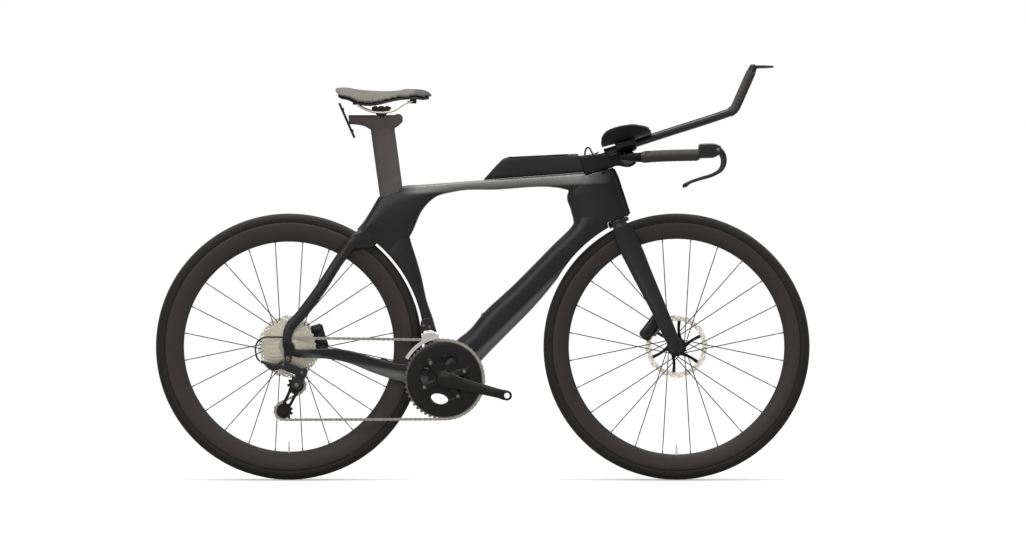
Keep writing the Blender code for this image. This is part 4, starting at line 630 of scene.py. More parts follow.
def capsule(first, firstRadius, second, secondRadius, steps=12):
    # outline round two circles
    run = second - first
    heading = atan2(run.z, run.x)
    lean = asin((firstRadius - secondRadius) / run.length)
    outline = []
    for centre, radius, base, turn in ((first, firstRadius, heading + pi / 2 - lean, pi + 2 * lean),
                                       (second, secondRadius, heading - pi / 2 + lean, pi - 2 * lean)):
        for k in range(steps + 1):
            outline.append(polar(centre, radius, (base + turn * k / steps) * 180 / pi))
    return outline


def arc(centre, radius, start, end, count=16, y=0.0):
    return [polar(centre, radius, start + (end - start) * k / count, y) for k in range(count + 1)]


def boltHead(centre, axis, radius=3.4, height=2.4, segments=24):
    # a domed socket head, proud of its seat
    profile = [(0, -1.5), (radius, -1.5), (radius, height * 0.6), (radius * 0.82, height),
               (radius * 0.5, height), (radius * 0.42, height * 0.35), (0, height * 0.35)]
    return turned(profile, centre, axis, segments)


# Sizes that more than one piece uses

frameSizes = {
    "tubeHalfWidth": 17.0, "downTubeHalfWidth": 25.0, "headHalfWidth": 24.0, "headLength": 129.8,
    "tyreRadius": 340.0, "rearTyreGap": 6.0, "frontTyreGap": 10.0, "slotHalfWidth": 19.5,
    "crankShellRadius": 24.0, "crankShellWidth": 74.0, "dropoutInner": 71.0, "dropoutThickness": 7.0,
    "bearingRadius": 20.5, "steererRadius": 14.3, "crownRadius": 27.5, "legSwing": 41.5, "noseHalfWidth": 6.0,
    "postChord": 61.4, "postWidth": 22.0,
}
halfTube = frameSizes["tubeHalfWidth"]
halfDown = frameSizes["downTubeHalfWidth"]
halfHead = frameSizes["headHalfWidth"]
headTop = frameSizes["headLength"]
dropoutY = frameSizes["dropoutInner"] + frameSizes["dropoutThickness"] / 2
headCorner = atSteer(-42.5, headTop + 9.2)
topStart = atCrank(-106.8, 494.4)
topLength = (headCorner - topStart).length
collar = (atCrank(-165.6, 469.4) + topStart) / 2
tailGap = 0.8  # left free round the stem's rounded tail
cockpitSizes = {
    "stemHalfWidth": 19.0, "tailRadius": 48.0, "stemRise": 58.2, "barWidth": 400.0, "gripRadius": 14.3,
    "tapePitch": 13.0, "tapeRidge": 0.75, "extensionRadius": 11.1, "extensionSpacing": 110.0,
    "extensionAngle": 18.0, "extensionStart": (-56.0, 14.5), "extensionStraight": 331.0, "bendRadius": 34.0,
    "tip": 97.0, "tipAngle": 66.0, "brakePivot": (232.0, 22.0), "leverHalfWidth": 4.3,
    "cupStart": (-63.0, 29.5), "cupLength": 130.0, "cupHeight": 38.0, "cupPeak": 0.4, "cupAngle": 14.4,
    "cupThickness": 3.0, "padSpacing": 196.0, "padWidth": 92.0, "padThickness": 9.0, "padGap": 1.2,
}


def extensionLine(distance, y=0.0, rise=0.0):
    turn = radians(cockpitSizes["extensionAngle"])
    return (atBar(*cockpitSizes["extensionStart"], y) + Vector((cos(turn), 0, sin(turn))) * distance
            + Vector((-sin(turn), 0, cos(turn))) * rise)


# Cords, on the CAD source's routes

cordSizes = {"diameter": 4.6, "rearLength": 129.4, "hoseLength": 97.0, "portY": -74.5, "armY": -91.6}


def makeCord(name, node, points):
    # a cable in its housing, free between two sockets of the bike
    line = easedLine(points, 8)
    cord = newPiece(name, roundTube(line, cordSizes["diameter"] / 2, sideways + steerForward * 0.1, 18),
                    finishes["hose"])
    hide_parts(node)
    return cord


port, arm = cordSizes["portY"], cordSizes["armY"]
rearRoute = [(-10, 24.5, port), (-24, 24.5, port), (-38.5, 24.5, port), (-61, 24, port - 3),
             (-76, 16.6, port - 8), (-84, 0.7, port - 13), (-83.5, -17, arm), (-79, -31, arm),
             (-73, -37.2, arm)]
rearCable = makeCord("rearShiftCable", "rear_shift_cable", [atRear(*row) for row in rearRoute])
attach(rearCable, "frame")
for side, sign in sides:
    socket = extensionLine(-14, cockpitSizes["extensionSpacing"] / 2 * sign)
    stemHole = atSteer(-31, headTop + 52.8, 9 * sign)
    route = [stemHole + Vector((x, y * sign, z)) for x, y, z in
             ((0, 0, 0), (1.2, 2.2, 9.2), (4.3, 8.1, 15.9), (8.6, 16.2, 18.4), (12.9, 24.4, 15.9),
              (17.3, 32.8, 7.2))]
    route += [socket + Vector((x, y * sign, z)) for x, y, z in ((-12.6, -3.2, -1), (0, 0, 0))]
    route.append(extensionLine(3, cockpitSizes["extensionSpacing"] / 2 * sign))
    hose = makeCord(side + "ShiftHose", "shift_hose_" + side, route)
    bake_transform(hose)
print("cords done")


# Frame: one bonded shell, as the CAD source has it, at a finer grain

def topLine(forward):
    return topStart + (headCorner - topStart) * (forward / topLength)


def postPoint(forward, up):
    return collar + postForward * forward + postUp * up


def postSection(low, high, grow=0.0, count=48):
    half = postForward * (frameSizes["postChord"] / 2 + grow)
    wide = sideways * (frameSizes["postWidth"] / 2 + grow)
    return loft([ovalRing(postPoint(0, up), half, wide, count, 2.4) for up in (low, high)])


topTubeStations = [
    (atSteer(-20, headTop + 4), atSteer(-60, headTop - 34), 0, 21),
    (topLine(topLength - 12), atSteer(-96, headTop - 22), 0, 20),
    (topLine(topLength - 55), atSteer(-122, headTop - 7.3), 0, halfTube + 1),
    (topLine(240), atCrank(131, 484.5), 0, halfTube),
    (topLine(120), atCrank(20, 478.2), 0, halfTube),
    (topLine(92), atCrank(-20, 467), 0, halfTube),
    (topLine(55), atCrank(-53.9, 435.4), 0, halfTube),
    (topLine(0), atCrank(-84, 372), 0, halfTube),
    (atCrank(-165.6, 469.4), atCrank(-132, 312), 0, halfTube + 1),
    (atCrank(-186, 436), atCrank(-165, 318), 0, halfTube + 4),
    (atCrank(-206.4, 403.5), atCrank(-195, 328), 0, halfTube + 9),
    (atCrank(-235.8, 371.5), atCrank(-224, 327), 0, halfTube + 17)]
seatTubeStations = [
    (atCrank(-90, 372), atCrank(-150, 380), 0, halfTube - 3),
    (atCrank(-83, 345), atCrank(-150, 345), 0, halfTube - 1),
    (atCrank(-77.4, 328), atCrank(-160, 322), 0, halfTube),
    (atCrank(-59.8, 269.3), atCrank(-130, 262), 0, halfTube),
    (atCrank(-42.9, 195.2), atCrank(-88, 190), 0, halfTube),
    (atCrank(-30.2, 159.5), atCrank(-72, 150), 0, halfTube + 1),
    (atCrank(-18.9, 121.2), atCrank(-62, 105), 0, halfTube + 4),
    (atCrank(4, 60), atCrank(-56, 40), 0, 27),
    (atCrank(10, -14), atCrank(-44, -14), 0, 31)]
downTubeStations = [
    (atSteer(-75, 65), atSteer(-6, -8), 0, halfHead - 1),
    (atSteer(-112.6, 22.9), atSteer(-60, -32), 0, halfDown - 1),
    (atSteer(-177, -12), atSteer(-130, -62), 0, halfDown),
    (atCrank(169.1, 234.6), atCrank(228, 184), 0, halfDown),
    (atCrank(97.6, 167.7), atCrank(153, 108), 0, halfDown + 1),
    (atCrank(66.9, 130.1), atCrank(118, 72.6), 0, halfDown + 3),
    (atCrank(28.6, 98.2), atCrank(66, 18), 0, halfDown + 6),
    (atCrank(-10, 50), atCrank(10, -26), 0, halfDown + 8)]
headStations = [
    (atSteer(30, -3), atSteer(-118, 8), 0, halfHead),
    (atSteer(31.5, 12), atSteer(-112, 22), 0, halfHead),
    (atSteer(31, headTop * 0.5), atSteer(-108, 60), 0, halfHead - 1),
    (atSteer(30, headTop - 20), atSteer(-104, headTop - 30), 0, halfHead - 2),
    (atSteer(29, headTop + 1), atSteer(-62, headTop + 7), 0, halfHead - 3)]
chainStayStations = [
    (atCrank(-20, 22), atCrank(-20, -24), 20, 12),
    (atCrank(-70, 38), atCrank(-70, -13), 26, 10),
    (atCrank(-103.2, 39.9), atCrank(-112.7, -4.8), 28.5, 8.2),
    (atCrank(-175, 55), atCrank(-182, 17), 33, 8.2),
    (atRear(155, -10), atRear(152, -42), 47, 7),
    (atRear(100, -3.7), atRear(100, -32), 62.5, 5),
    (atRear(52, -5.5), atRear(52, -29), 72, 4.4),
    (atRear(10, -4), atRear(14, -26), dropoutY, 3.5),
    (atRear(-4, 2), atRear(-4, -18), dropoutY, 3.5)]
seatStayStations = [
    (atCrank(-205, 384), atCrank(-182, 350), 19, 8),
    (atCrank(-235.8, 371.5), atCrank(-213, 345), 26, 9),
    (atCrank(-265.2, 333.2), atCrank(-242, 317), 28.5, 8.5),
    (atRear(66, 151), atRear(90, 136), 42, 7.5),
    (atRear(22, 92), atRear(46, 77), 62.5, 5),
    (atRear(-12, 48), atRear(12, 36), 71.5, 4.4),
    (atRear(-17, 14), atRear(8, 16), dropoutY, 3.5),
    (atRear(-14, -10), atRear(8, -8), dropoutY, 3.5)]


def dropoutDisc(sign):
    low = frameSizes["dropoutInner"]
    high = low + frameSizes["dropoutThickness"]
    return disc(15, min(low * sign, high * sign), max(low * sign, high * sign), rearAxle, edge=1)


def rearTyreRoom():
    # where the rear tyre runs through the frame
    slot = frameSizes["slotHalfWidth"]
    return disc(frameSizes["tyreRadius"] + frameSizes["rearTyreGap"], -slot, slot, rearAxle, segments=160)


def makeFrame():
    size = frameSizes
    shells = [smoothBeam(topTubeStations, power=2.8), smoothBeam(seatTubeStations, power=2.8),
              smoothBeam(downTubeStations, power=2.7), smoothBeam(headStations, power=2.5),
              disc(size["crankShellRadius"], -size["crankShellWidth"] / 2, size["crankShellWidth"] / 2,
                   crankAxle, edge=1.5)]
    for stations in (chainStayStations, seatStayStations):
        shells += [smoothBeam(stations, count=28), smoothBeam(mirroredStations(stations), count=28)]
    shells += pairOf(dropoutDisc)
    cutters = [
        rearTyreRoom(),
        disc(size["tyreRadius"] + size["frontTyreGap"], -60, 60, frontAxle, segments=160),
        disc(size["crownRadius"] + 1.5, -60, 0.6, crownTop, steerUp, 64),
        disc(size["crankShellRadius"] - 3.5, -60, 60, crankAxle),
        postSection(-125, 60, 0.6)]
    shell = moulded("frameShell", shells, cutters, finishes["frame"], voxel=2.0, passes=9)
    # what the fork's legs sweep, either side of the nose behind the crown
    swing = newPiece("swing", disc(size["legSwing"], -60, 0.3, crownTop, steerUp, 96), finishes["frame"])
    nose = slab(atSteer(-45, -30), steerForward * 30, sideways * size["noseHalfWidth"], steerUp * 40)
    carved(swing, nose)
    addCut(shell, swing)
    settled(shell)
    removed(swing)
    bearing = size["bearingRadius"] + 0.3
    carved(shell, disc(bearing, -20, 8.3, crownTop, steerUp, 48),
           disc(bearing, headTop - 8.3, headTop + 40, crownTop, steerUp, 48),
           disc(size["steererRadius"] + 2, -30, headTop + 40, crownTop, steerUp, 48),
           disc(cockpitSizes["tailRadius"] + tailGap, headTop, headTop + 60, crownTop, steerUp, 96), sharp=42)
    place(shell, "frame", "frame_paint", "frame")


makeFrame()
print("frame shell done")


# Fork and wheels

forkSizes = {"steererTop": 166.8, "tyreGap": 5.0, "slotHalfWidth": 19.0, "endInner": 50.0, "endOuter": 62.0}
forkLegStations = [
    (atSteer(26.4, -15.8), atSteer(-18.5, -15.3), 27, 9),
    (atSteer(37.4, -81.8), atSteer(-21.6, -61.5), 28, 9),
    (atSteer(42.4, -147.8), atSteer(-11.3, -131.9), 34, 8.5),
    (atFront(-16.3, 78.8), atFront(-60, 80), 51, 6.5),
    (atFront(5, 25), atFront(-31, 20), 56, 5.8),
    (atFront(14.3, -1.2), atFront(-16.3, -6.3), 56, 5.6),
    (atFront(8, -14), atFront(-10, -15), 56, 5.6)]


def makeFork():
    size, crownRadius, steererRadius = forkSizes, frameSizes["crownRadius"], frameSizes["steererRadius"]
    crown = [(0, -18), (crownRadius, -18), (crownRadius, -2), (crownRadius - 2, 0), (steererRadius, 0),
             (steererRadius, 60), (0, 60)]
    shells = [turned(crown, crownTop, steerUp, 72), smoothBeam(forkLegStations, count=32),
              smoothBeam(mirroredStations(forkLegStations), count=32)]
    for sign in (1, -1):
        ends = (size["endInner"] * sign, size["endOuter"] * sign)
        shells.append(disc(13, min(ends), max(ends), frontAxle, edge=1))
    slot = size["slotHalfWidth"]
    cutters = [disc(frameSizes["tyreRadius"] + size["tyreGap"], -slot, slot, frontAxle, segments=160)]
    fork = moulded("forkShell", shells, cutters, finishes["fork"], voxel=1.8, passes=8)
    place(fork, "fork", "frame_paint", "fork")
    steerer = turned([(0, 40), (14, 40), (14, size["steererTop"]), (0, size["steererTop"])], crownTop,
                     steerUp, 48)
    addPiece("steerer", steerer, "alloy", "fork", "carbon_black", "fork")


wheelSizes = {
    "rimRadius": 317.0, "tyreRadius": frameSizes["tyreRadius"], "rimHalfWidth": 13.5, "tyreHalfWidth": 14.0,
    "rimBed": 6.0, "tyreSeam": 0.3, "spokeCount": 24, "spokeCircle": 22.0, "spokeCrossing": 60.0,
    "spokeRadius": 0.95, "axleRadius": 6.0, "segments": 192,
}
wheels = {
    "front": {"axle": frontAxle, "depth": 42.0, "flanges": (24.0, -32.0), "rotorY": 37.0, "hubLow": -49.7,
              "hubHigh": 49.7},
    "rear": {"axle": rearAxle, "depth": 49.0, "flanges": (36.0, -19.0), "rotorY": 55.0, "hubLow": -24.5,
             "hubHigh": 70.7},
}


def rimProfile(depth):
    size = wheelSizes
    outer, half, inner = size["rimRadius"], size["rimHalfWidth"], size["rimRadius"] - depth
    right = [(outer - 0.3, half - 1.6), (outer - 1.0, half - 0.6), (outer - 3, half - 0.3)]
    for k in range(1, 9):
        share = k / 8
        right.append((outer - depth * share * 0.94, half * (1 - share ** 2.6 * 0.72)))
    right += [(inner + 0.8, half * 0.16), (inner, 0.0)]
    bed = outer - size["rimBed"]
    left = [(r, -y) for r, y in right[-2::-1]]
    return right + left + [(outer - 0.3, 4.6 - half), (bed, 6 - half), (bed, -3.2), (outer + 2, -1.8),
                           (outer + 2, 1.8), (bed, 3.2), (bed, half - 6), (outer - 0.3, half - 4.6)]


def tyreProfile():
    size = wheelSizes
    base, top, half = size["rimRadius"] + size["tyreSeam"], size["tyreRadius"], size["tyreHalfWidth"]
    outer = [(base, half - 1.4), (base + 1.5, half - 0.9), (base + 3.5, half - 0.5), (base + 7, half)]
    for k in range(1, 11):
        angle = radians(9 * k)
        outer.append((base + 7 + (top - base - 7) * sin(angle), half * cos(angle) ** 0.9))
    outer[-1] = (top, 0.0)
    inner = [(top - 4, half * 0.35), (base + 8, half - 3.4), (base, half - 4.2)]
    return (outer + [(r, -y) for r, y in outer[-2::-1]] + [(r, -y) for r, y in inner[::-1]] + inner)


def tyreFinish():
    # fine tread lines on the crown, smooth darker flanks and a moulded ring above the rim
    material, tree, shader = newMaterial("tyre_rubber", (0.02, 0.0185, 0.0175), 0.72, specular=0.14)
    where = addNode(tree, "ShaderNodeTexCoord").outputs["UV"]
    across = addNode(tree, "ShaderNodeSeparateXYZ", inputs={"Vector": where})
    tread = calculate(tree, "ABSOLUTE", calculate(tree, "SUBTRACT", across.outputs["Y"], treadMiddle))
    crown = ranged(tree, tread, treadSpread * 0.8, treadSpread, 1.0, 0.0)
    dust = noise(tree, coordinates(tree), 60.0, 4.0)
    flank, worn = (0.0105, 0.0098, 0.0088), (0.030, 0.0278, 0.0255)
    share = calculate(tree, "MULTIPLY", crown, ranged(tree, dust, 0.3, 0.7, 0.75, 1.0))
    tree.links.new(blendColours(tree, share, flank, worn), shader.inputs["Base Color"])
    tree.links.new(ranged(tree, crown, 0.0, 1.0, 0.62, 0.82), shader.inputs["Roughness"])
    lines = addNode(tree, "ShaderNodeTexWave", {"bands_direction": "Y"},
                    {"Vector": coordinates(tree, "UV", (1.0, 1.0, 1.0)), "Scale": 46.0, "Detail": 0.0})
    height = calculate(tree, "MULTIPLY", lines.outputs["Fac"], crown)
    grain = calculate(tree, "MULTIPLY_ADD", noise(tree, coordinates(tree), 900.0, 2.0), 0.5, height)
    addBump(tree, shader, grain, 0.35, 0.12)
    return material


treadMiddle = 13 / len(tyreProfile())
treadSpread = 5.4 / len(tyreProfile())
finishes["tyre"] = tyreFinish()


def geometryTree(name, inputs):
    # an empty modifier tree with named inputs: kind is a socket type, with its default
    tree = bpy.data.node_groups.new(name, "GeometryNodeTree")
    tree.interface.new_socket("Geometry", in_out="INPUT", socket_type="NodeSocketGeometry")
    for key, (kind, value) in inputs.items():
        socket = tree.interface.new_socket(key, in_out="INPUT", socket_type="NodeSocket" + kind)
        if value is not None:
            socket.default_value = value
    tree.interface.new_socket("Geometry", in_out="OUTPUT", socket_type="NodeSocketGeometry")
    return tree, tree.nodes.new("NodeGroupInput"), tree.nodes.new("NodeGroupOutput")


def treeEnd(tree, source, materialSocket, last):
    whole = addNode(tree, "GeometryNodeRealizeInstances", inputs={"Geometry": source})
    coloured = addNode(tree, "GeometryNodeSetMaterial", inputs={"Geometry": whole.outputs[0],
                                                                 "Material": materialSocket})
    tree.links.new(coloured.outputs[0], last.inputs[0])


def grownByNodes(name, mesh, tree, values):
    # run a tree on a mesh with its inputs set by socket identifier, and keep the plain result
    obj = newObject(name, mesh)
    modifier = obj.modifiers.new(tree.name, "NODES")
    modifier.node_group = tree
    identifiers = {item.name: item.identifier for item in tree.interface.items_tree
                   if item.in_out == "INPUT"}
    for key, value in values.items():
        modifier[identifiers[key]] = value
    return settled(obj, smooth=False)


def pointsMesh(name, points, vectors):
    # points that carry named vectors, as a mesh without faces
    mesh = bpy.data.meshes.new(name)
    mesh.from_pydata([p * mm for p in points], [], [])
    for key, rows in vectors.items():
        layer = mesh.attributes.new(key, "FLOAT_VECTOR", "POINT")
        for item, row in zip(layer.data, rows):
            item.vector = row
    return mesh


def placedOnPoints():
    # copies of one shape, each turned so that its Z follows "along" and its X "across",
    # and stretched by "stretch"
    tree, start, last = geometryTree("placedOnPoints", {"Shape": ("Object", None),
                                                        "Material": ("Material", None)})
    vector = {"data_type": "FLOAT_VECTOR"}
    along, across, stretch = (addNode(tree, "GeometryNodeInputNamedAttribute", vector,
                                      {"Name": key}).outputs[0] for key in ("along", "across", "stretch"))
    turn = addNode(tree, "FunctionNodeAxesToRotation", {"primary_axis": "Z", "secondary_axis": "X"},
                   {"Primary Axis": along, "Secondary Axis": across})
    shape = addNode(tree, "GeometryNodeObjectInfo", inputs={"Object": start.outputs["Shape"]})
    copies = addNode(tree, "GeometryNodeInstanceOnPoints",
                     inputs={"Points": start.outputs["Geometry"], "Instance": shape.outputs["Geometry"],
                             "Rotation": turn.outputs[0], "Scale": stretch})
    treeEnd(tree, copies.outputs[0], start.outputs["Material"], last)
    return tree


pointTree = placedOnPoints()


def copiesAt(name, shape, places, material, sharp=38.0):
    # places are rows of (point, along, across, stretch); shape is a bmesh about its own origin
    pattern = newPiece("pattern", shape, material, sharp)
    points, alongs, acrosses, stretches = zip(*places)
    mesh = pointsMesh(name, points, {"along": alongs, "across": acrosses, "stretch": stretches})
    made = grownByNodes(name, mesh, pointTree, {"Shape": pattern, "Material": material})
    removed(pattern)
    made.data.set_sharp_from_angle(angle=radians(sharp))
    return made


def atOrigin(profile, segments):
    # a turned pattern for copiesAt
    return turned(profile, Vector(), upward, segments)


def spokeShape():
    # a bladed spoke of unit length, round at its two ends
    radius = wheelSizes["spokeRadius"]
    stations = ((0, 1.0, 1.0), (0.03, 1.0, 1.0), (0.08, 1.25, 0.45), (0.9, 1.25, 0.45), (0.95, 1.0, 1.0),
                (1.0, 1.0, 1.0))
    return loft([ovalRing(upward * z, lengthways * (wide * radius), sideways * (thick * radius), 8)
                 for z, wide, thick in stations])


def spokePlaces(wheel):
    size = wheelSizes
    axle = wheel["axle"]
    inner = size["rimRadius"] - wheel["depth"]
    spokes, nipples, heads = [], [], []
    step = 360 / size["spokeCount"]
    for k in range(size["spokeCount"]):
        rimAngle = 90 - step * (k - 0.5)
        turn = -1 if k % 4 in (0, 3) else 1
        flangeY = wheel["flanges"][k % 2]
        start = polar(axle, size["spokeCircle"], rimAngle - size["spokeCrossing"] * turn,
                      flangeY + 1.5 * turn)
        end = polar(axle, inner + 1.0, rimAngle, copysign(1.6, flangeY))
        run = end - start
        along = run.normalized()
        across = (end - axle).cross(sideways).normalized()
        spokes.append((start, along, across, Vector((1, 1, run.length))))
        nipples.append((end, -along, across, unstretched))
        heads.append((start + sideways * 1.3 * turn, sideways * turn, along, unstretched))
    return spokes, nipples, heads


def makeWheel(side):
    size, wheel = wheelSizes, wheels[side]
    axle, body = wheel["axle"], side + "_wheel"
    rim = turned(rimProfile(wheel["depth"]), axle, sideways, size["segments"])
    addPiece(side + "RimShell", rim, "rim", body, "carbon_rim", side + "_rim", sharp=50)
    tyre = turned(tyreProfile(), axle, sideways, size["segments"])
    addPiece(side + "TyreShell", tyre, "tyre", body, "tyre", side + "_tyre", sharp=60)
    spokes, nipples, heads = spokePlaces(wheel)
    blades = copiesAt(side + "Spokes", spokeShape(), spokes, finishes["alloy"])
    place(blades, body, "black_alloy", side + "_hub")
    nipple = atOrigin([(0, -1), (2.3, -1), (2.0, 1.5), (1.7, 2), (1.7, 8.5), (1.1, 9), (0, 9)], 8)
    place(copiesAt(side + "Nipples", nipple, nipples, finishes["bolt"]), body, "black_alloy", side + "_hub")
    button = atOrigin([(0, -0.8), (1.7, -0.8), (1.7, 0), (1.2, 0.9), (0, 1.1)], 10)
    place(copiesAt(side + "SpokeHeads", button, heads, finishes["bolt"]), body, "black_alloy", side + "_hub")


def flangeProfile(y):
    return [(12, y - 6), (14, y - 3.4), (23.5, y - 1.6), (25, y - 0.9), (25, y + 0.9), (23.5, y + 1.6),
            (14, y + 3.4), (12, y + 6)]


def makeHub(side):
    wheel = wheels[side]
    axle, body = wheel["axle"], side + "_wheel"
    low, high, rotorY = wheel["hubLow"], wheel["hubHigh"], wheel["rotorY"]
    bore = wheelSizes["axleRadius"] + 0.6
    profile = [(bore, low), (9, low), (10.5, low + 1.5)] if side == "front" else [(bore, low), (12, low)]
    if side == "front":
        profile += [(10.5, low + 5), (12, low + 8)]
    profile += flangeProfile(wheel["flanges"][1])[1 if side == "rear" else 0:]
    profile += [(10.8, 0)] + flangeProfile(wheel["flanges"][0])[:-2]
    profile += [(14, rotorY - 4), (14, rotorY + 4), (11, rotorY + 5), (9, rotorY + 6), (9, high),
                (bore, high)]
    hub = newPiece(side + "HubShell", turned(profile, axle, sideways, 64), finishes["alloy"], 32)
    place(hub, body, "black_alloy", side + "_hub")


rotorSizes = {"radius": 80.0, "track": 14.0, "halfThickness": 0.9, "carrier": 20.0, "arms": 6, "sweep": 24.0,
              "slotGroups": 24, "sectorsPerGroup": 8}


def rotorRing(y, axle):
    # the braking track as rings of narrow sectors, with slanted rows of slots left open
    size = rotorSizes
    groups, per = size["slotGroups"], size["sectorsPerGroup"]
    count = groups * per
    inner = size["radius"] - size["track"]
    radii = [inner, inner + 2, inner + 4.4, inner + 5.8, inner + 8.2, inner + 9.6, inner + 12, size["radius"]]
    bm = bmesh.new()
    uv = bm.loops.layers.uv.new("UVMap")
    layers = []
    for side in (-1, 1):
        rows = []
        for r, radius in enumerate(radii):
            wave = [radius + (1.1 * cos(2 * pi * 12 * i / count) - 1.1 if r == len(radii) - 1 else 0)
                    for i in range(count)]
            rows.append([bm.verts.new(polar(axle, wave[i], 360 * (i + 0.35 * r) / count,
                                            y + size["halfThickness"] * side)) for i in range(count)])
        layers.append(rows)

    def isOpen(r, i):
        step = i % per
        return (r == 1 and step in (1, 2)) or (r == 3 and step in (3, 4)) or (r == 5 and step in (5, 6))

    def face(corners, spots):
        made = bm.faces.new(corners)
        for loop, (i, r) in zip(made.loops, spots):
            loop[uv].uv = (i / count, r / 8)

    spans = len(radii) - 1
    for r in range(spans):
        for i in range(count):
            j = (i + 1) % count
            if isOpen(r, i):
                continue
            for rows in layers:
                face((rows[r][i], rows[r][j], rows[r + 1][j], rows[r + 1][i]),
                     ((i, r), (i + 1, r), (i + 1, r + 1), (i, r + 1)))
            lowRows, highRows = layers
            for edge, gone in (((r, i, r, j), r == 0 or isOpen(r - 1, i)),
                               ((r + 1, i, r + 1, j), r == spans - 1 or isOpen(r + 1, i)),
                               ((r, i, r + 1, i), isOpen(r, (i - 1) % count)),
                               ((r, j, r + 1, j), isOpen(r, j))):
                if gone:
                    a, b, c, d = edge
                    face((lowRows[a][b], lowRows[c][d], highRows[c][d], highRows[a][b]),
                         ((i, r), (i + 1, r), (i + 1, r), (i, r)))
    return bm


def makeRotor(side):
    size, wheel = rotorSizes, wheels[side]
    axle, body, y = wheel["axle"], side + "_wheel", wheel["rotorY"]
    ring = newPiece(side + "RotorTrack", rotorRing(y, axle), finishes["rotor"], 30)
    place(ring, body, "rotor_steel", side + "_rotor")
    inner = size["radius"] - size["track"]
    parts = [turned([(15, -2.6), (size["carrier"], -2.6), (size["carrier"] + 1.5, -1.4),
                     (size["carrier"] + 1.5, 1.4), (size["carrier"], 2.6), (15, 2.6)], axle + sideways * y,
                    sideways, 64)]
    rivets = []
    for k in range(size["arms"]):
        angle = 360 / size["arms"] * k
        foot = polar(axle, size["carrier"] - 1, angle, y)
        tip = polar(axle, inner + 3.2, angle + size["sweep"], y)
        knee = (foot + tip) / 2 + (tip - foot).cross(sideways).normalized() * 2.5
        parts.append(smoothSweep([foot, knee, tip], [(5.2, 1.0), (3.6, 1.0), (4.6, 0.85)], 8, 20, 4.0,
                                 side=sideways))
        rivets.append(tip)
    spider = newPiece(side + "RotorSpider", joined(*parts), finishes["alloy"])
    place(spider, body, "rotor_steel", side + "_rotor")
    pins = [(p, sideways, steerForward, unstretched) for p in rivets]
    rivet = atOrigin([(0, -1.7), (2.7, -1.7), (3.1, -1.2), (3.1, 1.2), (2.7, 1.7), (0, 1.7)], 24)
    place(copiesAt(side + "RotorRivets", rivet, pins, finishes["silver"]), body, "rotor_steel",
          side + "_rotor")
    lock = turned([(9.6, y + 3), (18.2, y + 3), (18.2, y + 4.6), (16, y + 5.4), (9.6, y + 5.4)], axle,
                  sideways, 48)
    addPiece(side + "Lockring", lock, "alloy", body, "black_alloy", side + "_hub")


def makeValve(side):
    wheel = wheels[side]
    axle = wheel["axle"]
    inner = wheelSizes["rimRadius"] - wheel["depth"]
    foot = polar(axle, inner + 0.6, -90)
    up = (axle - foot).normalized()
    stem = turned([(0, -2), (3.9, -2), (3.9, 0.8), (2.9, 1.6), (2.6, 2), (2.6, 17), (2.0, 18), (1.2, 18.4),
                   (1.2, 22), (1.7, 22.4), (1.7, 24.6), (0.8, 25.4), (0, 25.4)], foot, up, 20)
    addPiece(side + "Valve", stem, "silver", side + "_wheel", "steel", side + "_rim")


makeFork()
for side in ("front", "rear"):
    makeWheel(side)
    makeHub(side)
    makeRotor(side)
    makeValve(side)
print("fork and wheels done")


# Soft goods

padSizes = {"voxel": 4.0, "pressure": 4.0, "frames": 20, "mass": 0.3, "stretching": 15.0, "bending": 2.0,
            "heldSwell": 0.05}


def swollen(piece, cap, rests):
    # fill a closed cover with pressure and let it swell, by no more than the cap, and hardly at all
    # where rests(normal) says that it lies on its shell
    skin = piece.modifiers.new("skin", "REMESH")
    skin.mode = "VOXEL"
    skin.voxel_size = padSizes["voxel"] * mm
    relax = piece.modifiers.new("relax", "SMOOTH")
    relax.iterations = 3
    settled(piece)
    before = np.array([v.co for v in piece.data.vertices])
    held = np.array([rests(v.normal) for v in piece.data.vertices])
    cloth = piece.modifiers.new("cloth", "CLOTH")
    cloth.settings.use_pressure = True
    cloth.settings.uniform_pressure_force = padSizes["pressure"]
    cloth.settings.mass = padSizes["mass"]
    cloth.settings.tension_stiffness = cloth.settings.compression_stiffness = padSizes["stretching"]
    cloth.settings.bending_stiffness = padSizes["bending"]
    cloth.settings.effector_weights.gravity = 0.0
    cloth.point_cache.frame_end = padSizes["frames"]
    for step in range(1, padSizes["frames"] + 1):
        scene.frame_set(step)
    settled(piece)
    scene.frame_set(1)
    after = np.array([v.co for v in piece.data.vertices])
    swell = after - before
    length = np.linalg.norm(swell, axis=1, keepdims=True) + 1e-12
    limit = np.where(held, padSizes["heldSwell"], cap)[:, None] * mm
    swell *= np.minimum(length, limit) / length
    piece.data.vertices.foreach_set("co", (before + swell).ravel())
    piece.data.update()
    finer = piece.modifiers.new("finer", "SUBSURF")
    finer.levels = finer.render_levels = 1
    return settled(piece)


def moved(piece, shift):
    # shift(point, normal) gives each vertex's new place in millimetres
    spots = [shift(v.co / mm, v.normal) * mm for v in piece.data.vertices]
    for vert, spot in zip(piece.data.vertices, spots):
        vert.co = spot
    piece.data.update()


def softstep(value, low, high):
    share = min(max((value - low) / (high - low), 0.0), 1.0)
    return share * share * (3 - 2 * share)


# Seat

